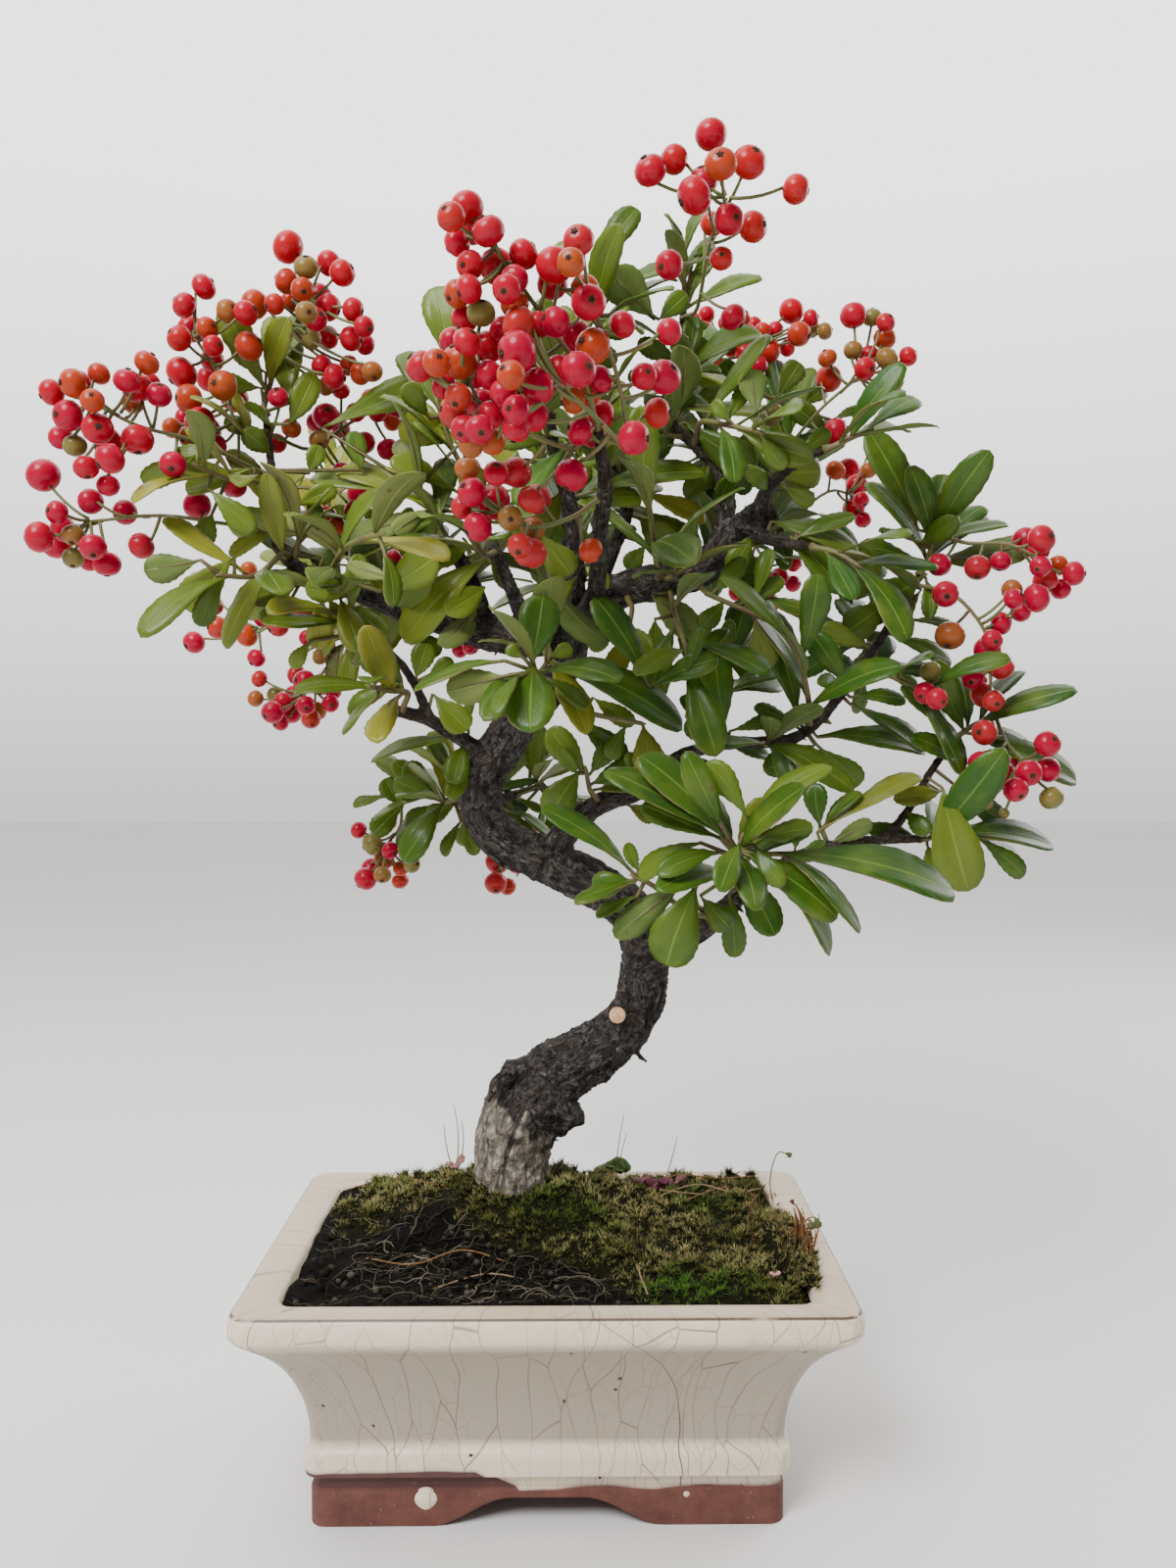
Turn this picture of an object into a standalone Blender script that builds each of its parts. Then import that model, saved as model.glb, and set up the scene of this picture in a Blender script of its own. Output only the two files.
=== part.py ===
"""Pyracantha bonsai: an S-shaped tree with leafy shoots and berry bunches in a glazed rectangular pot.

Blender's unit here is the metre and +Z is up. Every size and route below is in millimetres, with X to the
right, Y to the back and Z up from the surface that the pot's feet stand on, and the pot's centre on the Z
axis. The whole plant is then moved by PLACE, which brings the middle of its box over the origin.
"""

import math
import random

import bmesh
import bpy
from mathutils import Matrix, Vector
from mathutils.bvhtree import BVHTree

MM = 0.001
PLACE = (-6.0, 0.0, 0.0)
SEAT_GAP = 0.3
CLEAR = 0.4
FLAT_ANGLE = math.radians(0.3)
GOLDEN_ANGLE = math.radians(137.5)

# Pot
RIM_HALF = (78.0, 52.5)
MOUTH_HALF = (67.0, 43.5)
FLOOR_HALF = (54.0, 34.0)
FOOT_HALF = (60.0, 40.0)
RIM_TOP = 58.5
FLOOR_TOP = 13.0
FLOOR_UNDER = 7.5
FOOT_WALL = 7.0
ARCH_BOTTOM_HALF = 30.0
ARCH_TOP_HALF = 9.0
ARCH_TOP = 7.2
SIDE_ARCH_HALF = 16.0
ARCH_STEPS = 6
DRAIN_RADIUS = 6.0
DRAIN_X = 28.0
CORNER_STEPS = 2
# Outside of the pot from the foot up: height, half width, half depth, corner radius
POT_PROFILE = (
    (0.0, 60.0, 40.0, 4.0),
    (9.0, 60.0, 40.0, 4.0),
    (9.6, 59.0, 39.0, 3.5),
    (12.4, 59.0, 39.0, 3.5),
    (13.2, 61.2, 41.2, 4.0),
    (18.5, 61.6, 41.6, 4.0),
    (21.5, 60.2, 40.3, 4.0),
    (31.0, 61.4, 41.3, 4.0),
    (40.0, 65.2, 44.2, 4.5),
    (46.0, 70.0, 47.6, 5.0),
    (50.3, 75.8, 51.2, 5.5),
    (52.0, 77.8, 52.4, 5.5),
    (56.5, 78.0, 52.5, 5.5),
    (58.5, 76.4, 51.0, 5.0),
)
# Inside of the pot from the lip down
CAVITY_PROFILE = (
    (58.5, 68.4, 44.9, 6.0),
    (57.2, 67.0, 43.5, 6.0),
    (13.0, 54.0, 34.0, 5.0),
)

# Soil, moss and the drain mesh
MOUND_TOP = 70.0
SOIL_EDGE = 56.0
MOUND_SPREAD = (34.0, 24.0)
MOSS_THICK = 3.0
MOSS_EDGE_THICK = 1.0
GROUND_CELLS = (8, 6)
GROUND_MARGIN = 4.0
MESH_HALF = (38.0, 9.0)
MESH_THICK = 1.0
MESH_HOLE = 2.6

# Tree: X, Y, Z and radius of each named point, root end first
TRUNK_FOOT = (-11.0, 10.0)
TRUNK_FOOT_RADIUS = 10.4
TRUNK_FOOT_BOTTOM = 46.0
TRUNK = [
    (-11, 10, 46, 10.4),
    (-11, 10, 60, 10.4),
    (-11, 10, 75, 10.4),
    (-10, 10, 85, 11.3),
    (-5, 10, 96, 10.2),
    (6, 11, 104, 8.8),
    (18, 12, 111, 7.9),
    (25, 12, 120, 7.1),
    (27, 11, 130, 6.8),
    (27, 10, 140, 6.8),
    (22, 10, 150, 6.5),
    (11, 11, 157, 6.5),
    (-1, 12, 163, 6.5),
    (-12, 12, 168, 6.2),
    (-19, 11, 175, 5.9),
    (-20, 10, 183, 5.9),
    (-18, 10, 191, 6.2),
    (-13, 9, 198, 6.0),
    (-8, 9, 205, 5.3),
    (-1, 9, 211, 4.8),
    (4, 10, 219, 4.4),
    (7, 10, 228, 4.4),
    (7, 10, 235, 4.5),
]
BRANCHES = {
    "left": [
        (6, 10, 228, 4.2), (-6, 9, 227, 5.3), (-18, 8, 229, 5.3), (-26, 8, 231, 4.6), (-37, 6, 233, 3.2),
        (-49, 2, 237, 2.6), (-57, -2, 240, 2.3), (-67, -4, 244, 2.1), (-74, -4, 250, 1.9),
        (-77, -2, 264, 1.6), (-78, 2, 276, 1.3), (-80, 4, 290, 1.1),
    ],
    "right": [
        (7, 10, 233, 4.2), (18, 10, 240, 5.0), (28, 10, 243, 5.0), (39, 9, 245, 4.9), (47, 8, 250, 4.7),
        (53, 7, 257, 4.5), (63, 6, 264, 4.2),
    ],
    "high": [
        (49, 8, 254, 3.0), (50, 9, 265, 2.4), (48, 9, 275, 1.9), (42, 9, 282, 1.7), (36, 10, 287, 1.6),
        (33, 10, 294, 1.5), (36, 10, 307, 1.2), (38, 10, 321, 1.0),
    ],
    "inner": [(7, 9, 234, 3.2), (7, 6, 253, 2.5), (5, 4, 266, 2.2), (1, 3, 279, 1.9), (0, 4, 290, 1.5)],
    "middle": [
        (11, 11, 237, 2.8), (18, 13, 253, 2.1), (22, 13, 265, 1.9), (19, 10, 273, 1.6), (14, 8, 281, 1.3),
    ],
    "crown_left": [(-6, 8, 229, 2.8), (-12, 7, 243, 2.0), (-16, 6, 252, 1.8), (-21, 5, 262, 1.4)],
    "crown_far_left": [(-18, 8, 230, 3.2), (-23, 6, 244, 2.5), (-28, 4, 253, 1.9)],
    "low_right": [
        (-1, 12, 163, 4.6), (4, 10, 171, 3.9), (10, 9, 177, 3.3), (17, 8, 181, 3.0), (26, 6, 184, 2.7),
        (36, 4, 193, 2.1), (50, 2, 197, 1.9), (67, 0, 198, 1.7), (76, 2, 204, 1.6), (83, 4, 212, 1.5),
        (90, 6, 221, 1.4), (97, 8, 231, 1.3), (106, 8, 246, 1.0),
    ],
    "bottom_right": [
        (27, 10, 134, 4.2), (34, 0, 139, 3.4), (43, -12, 148, 3.0), (53, -18, 158, 2.5), (65, -20, 166, 2.1),
        (78, -18, 170, 1.7), (92, -14, 171, 1.4), (102, -10, 171, 1.2),
    ],
    "bottom_side": [(90, -15, 171, 1.3), (97, -11, 178, 1.2), (105, -6, 189, 1.1), (113, -3, 198, 1.0)],
    "low_left": [(-17, 10, 193, 3.0), (-25, 6, 198, 2.2), (-35, 2, 204, 1.9), (-47, 0, 207, 1.6)],
    "low_left_side": [(-34, 2, 204, 1.6), (-38, 0, 214, 1.3), (-44, -2, 222, 1.1), (-52, -2, 228, 0.9)],
    "low_left_back": [(-19, 10, 184, 3.0), (-20, 24, 185, 1.9), (-27, 40, 181, 1.6), (-35, 58, 178, 1.2)],
    "trunk_back": [(-18, 11, 177, 2.6), (-15, 24, 180, 1.6), (-10, 40, 182, 1.3), (-3, 56, 184, 1.0)],
    "back_left": [
        (-20, 8, 230, 3.6), (-28, 22, 237, 3.0), (-38, 36, 245, 2.4), (-52, 52, 251, 1.9), (-70, 66, 252, 1.4),
    ],
    "back_right": [
        (34, 10, 244, 4.0), (42, 22, 249, 3.2), (52, 35, 258, 2.6), (65, 50, 269, 2.0), (74, 64, 279, 1.5),
    ],
    "front": [
        (7, 9, 231, 3.6), (12, -6, 236, 2.8), (13, -20, 242, 2.5), (13, -36, 249, 2.2), (14, -52, 258, 1.8),
        (12, -66, 267, 1.4),
    ],
    "back": [(7, 11, 232, 3.6), (5, 26, 240, 3.0), (4, 40, 254, 2.4), (8, 54, 276, 1.9), (18, 68, 299, 1.5)],
    "upper_right": [
        (58, 6, 260, 2.8), (60, -2, 267, 2.0), (63, -9, 270, 1.6), (68, -14, 273, 1.3), (74, -17, 275, 1.1),
    ],
    "side_right": [(55, 6, 258, 2.8), (61, -1, 254, 2.0), (66, -5, 252, 1.5), (72, -10, 250, 1.1)],
    "cut_stub": [(21, 12, 117, 3.4), (19, 2, 120, 2.6)],
    "knob": [(-3, 9, 101, 5.0), (-7, 4, 109, 4.2), (-8, 1, 110, 2.4)],
    "spur": [(22, 11, 109, 1.6), (29, 10, 104, 0.9)],
}
THICK_BRANCHES = ("left", "right")
TRUNK_SIDES = 10
THICK_SIDES = 8
BRANCH_SIDES = 6
STEM_SIDES = 4

# Leafy shoots: the branch or shoot it grows on, its route, the number of leaves and their length
SHOOTS = {
    "shoot_left_tip": ("left", [(-79, 5, 297), (-76, 4, 306)], 5, 25),
    "shoot_left_out": ("left", [(-80, -9, 268), (-85, -16, 267), (-90, -26, 268)], 5, 25),
    "shoot_left_low": ("left", [(-72, -11, 248), (-77, -19, 241), (-84, -26, 240)], 5, 28),
    "shoot_left_front": ("left", [(-58, -11, 245), (-51, -26, 248), (-40, -42, 248)], 5, 29),
    "shoot_left_back": ("back_left", [(-73, 70, 260), (-78, 77, 276), (-74, 83, 292)], 5, 27),
    "shoot_left_back_low": ("back_left", [(-60, 63, 243), (-67, 68, 234), (-73, 70, 228)], 5, 26),
    "shoot_low_left": ("low_left", [(-39, -6, 211), (-43, -14, 211), (-47, -20, 212)], 5, 24),
    "shoot_low_left_side": ("low_left_side", [(-56, -3, 232), (-60, -6, 233)], 4, 24),
    "shoot_low_back": ("low_left_back", [(-41, 63, 180), (-50, 68, 180)], 5, 22),
    "shoot_trunk_front": ("left", [(0, -4, 221), (-2, -20, 216), (-3, -32, 215)], 6, 29),
    "shoot_crown_left": ("crown_left", [(-18, -3, 249), (-21, -12, 252), (-22, -18, 254)], 5, 29),
    "shoot_crown_far_left": ("crown_far_left", [(-32, 2, 260), (-37, 0, 268)], 4, 27),
    "shoot_crown_up": ("crown_left", [(-23, 4, 271), (-28, 0, 281), (-31, -2, 291)], 5, 27),
    "shoot_inner_top": ("inner", [(3, 6, 300), (11, 3, 314), (19, -1, 324)], 5, 27),
    "shoot_middle_top": ("middle", [(14, 5, 289), (18, -3, 296)], 5, 25),
    "shoot_high_top": ("high", [(38, 9, 331), (38, 7, 337)], 4, 19),
    "shoot_high_mid": ("high", [(42, -2, 286), (48, -10, 283), (56, -18, 279)], 5, 27),
    "shoot_high_back": ("high", [(38, 20, 300), (42, 30, 306), (46, 38, 310)], 4, 25),
    "shoot_upper_right": ("upper_right", [(79, -19, 277), (84, -20, 279)], 5, 27),
    "shoot_back_top": ("back", [(2, 60, 276), (-3, 70, 284), (-5, 78, 293)], 5, 27),
    "shoot_back_right": ("back_right", [(77, 70, 288), (79, 75, 302)], 6, 27),
    "shoot_back_right_low": ("back_right", [(62, 47, 258), (67, 54, 249)], 4, 26),
    "shoot_side_right": ("side_right", [(77, -14, 248), (82, -18, 244)], 5, 27),
    "shoot_right_front": ("right", [(29, -10, 246), (27, -26, 251), (25, -40, 258)], 5, 30),
    "shoot_right_low": ("right", [(35, 2, 233), (37, -8, 224), (37, -14, 217)], 5, 28),
    "shoot_branch_up": ("low_right", [(47, 14, 206), (52, 30, 214), (56, 42, 222)], 5, 27),
    "shoot_branch_mid": ("low_right", [(71, -8, 208), (68, -14, 217), (64, -18, 224)], 5, 30),
    "shoot_branch_far": ("low_right", [(89, 16, 226), (89, 24, 234), (90, 30, 242)], 5, 25),
    "shoot_branch_tip": ("low_right", [(108, 7, 251), (109, 4, 257)], 6, 27),
    "shoot_branch_side": ("low_right", [(94, -3, 216), (99, -9, 213), (104, -14, 211)], 4, 26),
    "shoot_side_tip": ("bottom_side", [(118, -2, 202), (122, -3, 204)], 5, 28),
    "shoot_bottom_tip": ("bottom_right", [(106, -9, 172), (110, -9, 173)], 4, 30),
    "shoot_bottom_front": ("bottom_right", [(47, -30, 163), (46, -40, 169), (46, -50, 171)], 6, 28),
}

# Berry bunches: the branch or shoot it hangs on, its stalk, the number of berries and their stalks' length
BUNCHES = {
    "bunch_far_left": ("left", [(-92, -18, 276), (-106, -23, 279), (-118, -25, 285)], 6, 12),
    "bunch_left_low": ("left", [(-86, -10, 256), (-104, -12, 258), (-122, -14, 256)], 4, 10),
    "bunch_left_up": ("left", [(-86, -2, 284), (-91, -1, 298), (-97, -4, 308)], 4, 11),
    "bunch_left_top": ("shoot_left_tip", [(-72, 3, 313), (-67, 0, 320)], 5, 12),
    "bunch_left_near": ("left", [(-70, 18, 283), (-62, 24, 291), (-54, 26, 296)], 4, 9),
    "bunch_hang_left": ("back_left", [(-66, 60, 243), (-84, 70, 240), (-100, 74, 236)], 4, 9),
    "bunch_hang_low": ("shoot_left_back_low", [(-78, 73, 222), (-85, 74, 214)], 5, 10),
    "bunch_low_left": ("shoot_low_back", [(-52, 71, 170), (-57, 72, 163)], 5, 9),
    "bunch_behind_trunk": ("trunk_back", [(-12, 58, 174), (-15, 61, 164), (-18, 62, 157)], 3, 8),
    "bunch_centre_top": ("front", [(8, -76, 277), (-2, -81, 290), (-11, -83, 302)], 5, 10),
    "bunch_centre_right": ("front", [(19, -60, 268), (15, -76, 280), (9, -84, 292)], 4, 10),
    "bunch_centre_mid": ("front", [(17, -66, 264), (12, -78, 266), (4, -86, 271)], 5, 11),
    "bunch_centre_left": ("front", [(5, -66, 263), (-7, -74, 266), (-17, -78, 272)], 6, 11),
    "bunch_centre_low": ("front", [(6, -52, 250), (-3, -56, 247), (-10, -59, 250)], 5, 8),
    "bunch_top": ("high", [(41, 0, 318), (42, -20, 326), (44, -40, 330)], 8, 15),
    "bunch_back_top": ("back", [(32, 72, 310), (46, 75, 324), (60, 76, 332)], 5, 11),
    "bunch_right_top": ("back_right", [(70, 40, 284), (80, 30, 297), (92, 26, 307)], 5, 12),
    "bunch_right_hang": ("back_right", [(77, 57, 271), (92, 70, 282), (101, 78, 283)], 4, 9),
    "bunch_right_back": ("back_right", [(66, 58, 262), (72, 70, 257), (73, 76, 251)], 3, 8),
    "bunch_far_right": ("shoot_branch_tip", [(117, 0, 253), (126, -5, 252), (133, -8, 248)], 5, 10),
    "bunch_far_right_low": ("low_right", [(112, -4, 238), (119, -8, 228), (121, -8, 217)], 4, 9),
    "bunch_right_low": ("shoot_side_tip", [(125, -8, 198), (129, -10, 192)], 4, 9),
}

# Stems: root and tip radius, and the length of the straight stretch off the branch
STALK_RADII = (0.9, 0.6)
STEM_RADII = (1.0, 0.65)
LEAD = 1.6
LEVEL_LEAST = 0.2

# Leaf blades
BLADE_THICK = 0.65
BLADE_WIDTH_SHARE = 0.38
# Along the blade: share of its length, share of its half width
BLADE_STATIONS = ((0.0, 0.0), (0.42, 0.66), (0.78, 1.0), (1.0, 0.0))
BLADE_FOLD = 0.18
BLADE_ARCH = 0.05
BLADE_FREE_FROM = 0.16

# Leaves along their stem: first place, lean off the stem and what the tip takes from it, in degrees
LEAF_TRIES = 16
LEAF_FIRST = 0.35
LEAF_LAST = 0.98
LEAF_TURN = 0.3
LEAF_LEAN = 68.0
LEAF_LEAN_DROP = 38.0
LEAF_LEAN_RANGE = 12.0
LEAF_LIFT = 0.12
LEAF_SIZES = (0.78, 1.12)
LEAF_WIDTHS = (0.88, 1.15)
LEAF_SHRINK = 0.02
UP_SIDE = 0.4
UP_FRONT = (-1.2, -0.2)
UP_ALONG = 0.93

# Berries: the facets stand out a little, so that the faceted berry has the round one's volume
BERRY_TRIES = 16
BERRY_RADIUS = 3.9
BERRY_FLAT = 0.92
BERRY_FACET = 1.08
BERRY_SEGMENTS = 6
BERRY_RINGS = 3
BERRY_STALK_RADIUS = 0.45
BERRY_FIRST = 0.5
BERRY_CROWD = 0.7
BERRY_TURN = 0.6
BERRY_LEAN = 85.0
BERRY_LEAN_RANGE = (-8.0, 14.0)
BERRY_SIZES = (0.86, 1.1)
BERRY_REACHES = (0.8, 1.15)
BERRY_STRETCH = 0.35

FINISHES = {
    "glaze": ((0.62, 0.56, 0.45), 0.25, 0.0),
    "soil": ((0.03, 0.02, 0.014), 0.95, 0.0),
    "moss": ((0.09, 0.11, 0.02), 0.95, 0.0),
    "bark": ((0.05, 0.037, 0.028), 0.85, 0.0),
    "leaf": ((0.08, 0.17, 0.035), 0.4, 0.0),
    "berry": ((0.62, 0.03, 0.02), 0.2, 0.0),
    "mesh": ((0.02, 0.02, 0.02), 0.6, 0.0),
}


def clear_scene():
    for item in list(bpy.data.objects):
        bpy.data.objects.remove(item, do_unlink=True)


def make_collection(name):
    collection = bpy.data.collections.new(name)
    bpy.context.scene.collection.children.link(collection)
    return collection


def finish(name):
    """The Principled material of one finish, made once."""
    material = bpy.data.materials.get(name)
    if material is None:
        colour, roughness, metallic = FINISHES[name]
        material = bpy.data.materials.new(name)
        material.use_nodes = True
        shader = material.node_tree.nodes["Principled BSDF"]
        shader.inputs["Base Color"].default_value = (*colour, 1.0)
        shader.inputs["Roughness"].default_value = roughness
        shader.inputs["Metallic"].default_value = metallic
    return material


def add_object(name, shape, collection):
    """An object of a bmesh in millimetres, whose mesh is scaled to metres. The bmesh is freed."""
    mesh = bpy.data.meshes.new(name)
    bmesh.ops.scale(shape, vec=(MM, MM, MM), verts=shape.verts)
    shape.to_mesh(mesh)
    shape.free()
    item = bpy.data.objects.new(name, mesh)
    collection.objects.link(item)
    return item


def add_cutter(name, shape, collection):
    item = add_object(name, shape, collection)
    item.hide_render = True
    item.display_type = "WIRE"
    return item


def evaluated_mesh(item):
    bpy.context.view_layer.update()
    graph = bpy.context.evaluated_depsgraph_get()
    return bpy.data.meshes.new_from_object(item.evaluated_get(graph))


def apply_boolean(item, operation, operand, solver):
    """One Boolean with an object or a collection, applied to the object's mesh."""
    cut = item.modifiers.new("cut", "BOOLEAN")
    cut.operation = operation
    cut.solver = solver
    if isinstance(operand, bpy.types.Collection):
        cut.operand_type = "COLLECTION"
        cut.collection = operand
    else:
        cut.object = operand
    mesh = evaluated_mesh(item)
    item.modifiers.remove(cut)
    return mesh


def shells(shape):
    """The connected sets of faces of a bmesh, the largest first."""
    left = set(shape.faces)
    found = []
    while left:
        stack = [left.pop()]
        group = []
        while stack:
            face = stack.pop()
            group.append(face)
            for edge in face.edges:
                for other in edge.link_faces:
                    if other in left:
                        left.remove(other)
                        stack.append(other)
        found.append(group)
    return sorted(found, key=len, reverse=True)


def tidy_union(mesh, weld=1e-7):
    """Welds a union, drops loose scraps and sealed hollows, and says whether it is closed."""
    shape = bmesh.new()
    shape.from_mesh(mesh)
    bmesh.ops.remove_doubles(shape, verts=shape.verts, dist=weld)
    for scrap in shells(shape)[1:]:
        bmesh.ops.delete(shape, geom=scrap, context="FACES")
    bmesh.ops.dissolve_limit(shape, angle_limit=FLAT_ANGLE, verts=shape.verts, edges=shape.edges)
    bmesh.ops.triangulate(shape, faces=shape.faces)
    closed = len(shape.faces) > 0 and all(len(edge.link_faces) == 2 for edge in shape.edges)
    shape.to_mesh(mesh)
    shape.free()
    return closed


def fuse(name, shapes, finish_name, collection):
    """One node from overlapping closed shapes, by one Boolean union on a collection of them."""
    body = add_object(name, shapes[0], collection)
    repeats = make_collection(name + "_repeats")
    for number, shape in enumerate(shapes[1:]):
        add_object(f"{name}_repeat_{number}", shape, repeats)
    mesh = None
    for solver, weld in (("EXACT", 1e-7), ("EXACT", 1e-9), ("MANIFOLD", 1e-7), ("MANIFOLD", 1e-9)):
        mesh = apply_boolean(body, "UNION", repeats, solver)
        if tidy_union(mesh, weld):
            break
    body.data = mesh
    for item in list(repeats.objects):
        bpy.data.objects.remove(item, do_unlink=True)
    bpy.data.collections.remove(repeats)
    body.data.materials.clear()
    body.data.materials.append(finish(finish_name))
    return body


# Routes and tubes


def tube(rows, sides, grow=0.0):
    """A closed round tube along rows of X, Y, Z and radius, as a bmesh."""
    curve = bpy.data.curves.new("route", "CURVE")
    curve.dimensions = "3D"
    curve.bevel_depth = 1.0
    curve.bevel_resolution = sides // 2 - 2
    curve.use_fill_caps = True
    spline = curve.splines.new("POLY")
    spline.points.add(len(rows) - 1)
    for point, row in zip(spline.points, rows):
        point.co = (row.x, row.y, row.z, 1.0)
        point.radius = row.w + grow
    holder = bpy.data.objects.new("route", curve)
    bpy.context.scene.collection.objects.link(holder)
    mesh = evaluated_mesh(holder)
    bpy.data.objects.remove(holder, do_unlink=True)
    bpy.data.curves.remove(curve)
    shape = bmesh.new()
    shape.from_mesh(mesh)
    bpy.data.meshes.remove(mesh)
    bmesh.ops.remove_doubles(shape, verts=shape.verts, dist=0.001)
    bmesh.ops.recalc_face_normals(shape, faces=shape.faces)
    return shape


def place_on(rows, share):
    """The point and the direction at a share of a route's length."""
    position = share * (len(rows) - 1)
    index = min(int(position), len(rows) - 2)
    start = rows[index].xyz
    end = rows[index + 1].xyz
    return start.lerp(end, position - index), (end - start).normalized()


def nearest_on(rows, target):
    """The nearest point of a route to a target, with its direction, its radius and whether it is the tip."""
    best = None
    for index in range(len(rows) - 1):
        start = rows[index]
        end = rows[index + 1]
        span = end.xyz - start.xyz
        share = max(0.0, min(1.0, (target - start.xyz).dot(span) / span.length_squared))
        row = start.lerp(end, share)
        distance = (row.xyz - target).length
        if best is None or distance < best[0] - 1e-6:
            at_tip = index == len(rows) - 2 and share > 0.999
            best = (distance, row.xyz, span.normalized(), row.w, at_tip)
    return best[1:]


def seated_route(parent_rows, points, radii):
    """A stem's rows, which start just clear of the surface of the branch that carries it."""
    target = Vector(points[0])
    foot, direction, radius, at_tip = nearest_on(parent_rows, target)
    if at_tip:
        outward = direction
        start = foot + direction * SEAT_GAP
        lead = foot + direction * (SEAT_GAP + LEAD)
    else:
        outward = target - foot
        outward -= direction * outward.dot(direction)
        outward.normalize()
        start = foot + outward * (radius + SEAT_GAP)
        lead = foot + outward * (radius + SEAT_GAP + LEAD)
    route = [start, lead] + [Vector(point) for point in points]
    count = len(route)
    rows = []
    for number, point in enumerate(route):
        radius = radii[0] + (radii[1] - radii[0]) * number / (count - 1)
        rows.append(Vector((*point, radius)))
    return rows


# Clearance


class Space:
    """What is placed so far, so that a new piece can be tested against it."""

    def __init__(self):
        self.items = []

    def add(self, shape, owner, kind):
        low, high = limits(shape)
        self.items.append((low, high, BVHTree.FromBMesh(shape), owner, kind))

    def is_clear(self, shape, owner, own_kinds=()):
        """Whether a shape crosses nothing of another owner, nor the named kinds of its own."""
        low, high = limits(shape)
        tree = None
        for other_low, other_high, other_tree, other_owner, kind in self.items:
            if other_owner == owner and kind not in own_kinds:
                continue
            if any(low[k] > other_high[k] or high[k] < other_low[k] for k in range(3)):
                continue
            if tree is None:
                tree = BVHTree.FromBMesh(shape)
            if tree.overlap(other_tree):
                return False
        return True


def limits(shape):
    low = [min(vert.co[k] for vert in shape.verts) for k in range(3)]
    high = [max(vert.co[k] for vert in shape.verts) for k in range(3)]
    return low, high


# Leaves


def blade(root, tip, up, width, grow=0.0):
    """A leaf blade: a folded, arched sheet, narrow at its root and broad past its middle."""
    span = tip - root
    length = span.length
    along = span / length
    side = along.cross(up).normalized()
    normal = side.cross(along)
    shape = bmesh.new()
    bmesh.ops.create_grid(shape, x_segments=2, y_segments=len(BLADE_STATIONS) - 1, size=1.0)
    steps = len(BLADE_STATIONS) - 1
    for vert in shape.verts:
        share, spread = BLADE_STATIONS[round((vert.co.y + 1) / 2 * steps)]
        half = spread * (width / 2 + grow) * vert.co.x
        lift = BLADE_ARCH * length * 4 * share * (1 - share) + BLADE_FOLD * abs(half)
        reach = share * (length + grow)
        vert.co = root + along * reach + side * half + normal * (lift + BLADE_THICK / 2 + grow)
    bmesh.ops.remove_doubles(shape, verts=shape.verts, dist=0.001)
    bmesh.ops.triangulate(shape, faces=shape.faces)
    result = bmesh.ops.extrude_face_region(shape, geom=shape.faces[:])
    moved = [item for item in result["geom"] if isinstance(item, bmesh.types.BMVert)]
    bmesh.ops.translate(shape, verts=moved, vec=-normal * (BLADE_THICK + 2 * grow))
    bmesh.ops.recalc_face_normals(shape, faces=shape.faces)
    return shape


def outward_from(stem, turn):
    """The direction square to a stem at an angle round it."""
    level = stem.cross(Vector((0, 0, 1)))
    if level.length < LEVEL_LEAST:
        level = stem.cross(Vector((1, 0, 0)))
    level.normalize()
    return level * math.cos(turn) + stem.cross(level) * math.sin(turn)


def leaf_choice(name, number, attempt, rows, count, length):
    """The root, tip, upper side and width of one leaf; later attempts turn it round its stem."""
    draw = random.Random(f"{name} leaf {number} try {attempt}")
    share = LEAF_FIRST + (1 - LEAF_FIRST) * (number + 0.5) / count
    root, stem = place_on(rows, min(share, LEAF_LAST))
    base = random.Random(name).uniform(0, math.tau)
    turn = base + GOLDEN_ANGLE * number + draw.uniform(-LEAF_TURN, LEAF_TURN) * (1 + attempt / 3)
    lean = LEAF_LEAN - LEAF_LEAN_DROP * share + draw.uniform(-LEAF_LEAN_RANGE, LEAF_LEAN_RANGE)
    lean = math.radians(lean)
    direction = stem * math.cos(lean) + outward_from(stem, turn) * math.sin(lean)
    direction.z += LEAF_LIFT
    direction.normalize()
    size = length * draw.uniform(*LEAF_SIZES) * (1 - LEAF_SHRINK * attempt)
    up = Vector((draw.uniform(-UP_SIDE, UP_SIDE), draw.uniform(*UP_FRONT), 1.0))
    if abs(direction.dot(up.normalized())) > UP_ALONG:
        up = Vector((0, -1, 0.3))
    width = size * BLADE_WIDTH_SHARE * draw.uniform(*LEAF_WIDTHS)
    return root, root + direction * size, up, width


def grow_leaves(name, rows, count, length, space):
    """The blades of a shoot that are clear of everything placed so far."""
    blades = []
    for number in range(count):
        for attempt in range(LEAF_TRIES):
            root, tip, up, width = leaf_choice(name, number, attempt, rows, count, length)
            whole = blade(root, tip, up, width, CLEAR)
            free = root.lerp(tip, BLADE_FREE_FROM)
            outer = blade(free, tip, up, width)
            clear = space.is_clear(whole, name) and space.is_clear(outer, name, ("own blade",))
            if clear:
                space.add(blade(root, tip, up, width), name, "blade")
                space.add(outer, name, "own blade")
                blades.append(blade(root, tip, up, width))
            whole.free()
            outer.free()
            if clear:
                break
    return blades


# Berries


def berry(centre, axis, radius, grow=0.0):
    """A berry, slightly flattened along its stalk."""
    shape = bmesh.new()
    size = (radius + grow) * BERRY_FACET
    bmesh.ops.create_uvsphere(shape, u_segments=BERRY_SEGMENTS, v_segments=BERRY_RINGS, radius=size)
    bmesh.ops.scale(shape, vec=(1, 1, BERRY_FLAT), verts=shape.verts)
    turn = axis.to_track_quat("Z", "Y").to_matrix().to_4x4()
    bmesh.ops.transform(shape, matrix=Matrix.Translation(centre) @ turn, verts=shape.verts)
    return shape


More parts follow.
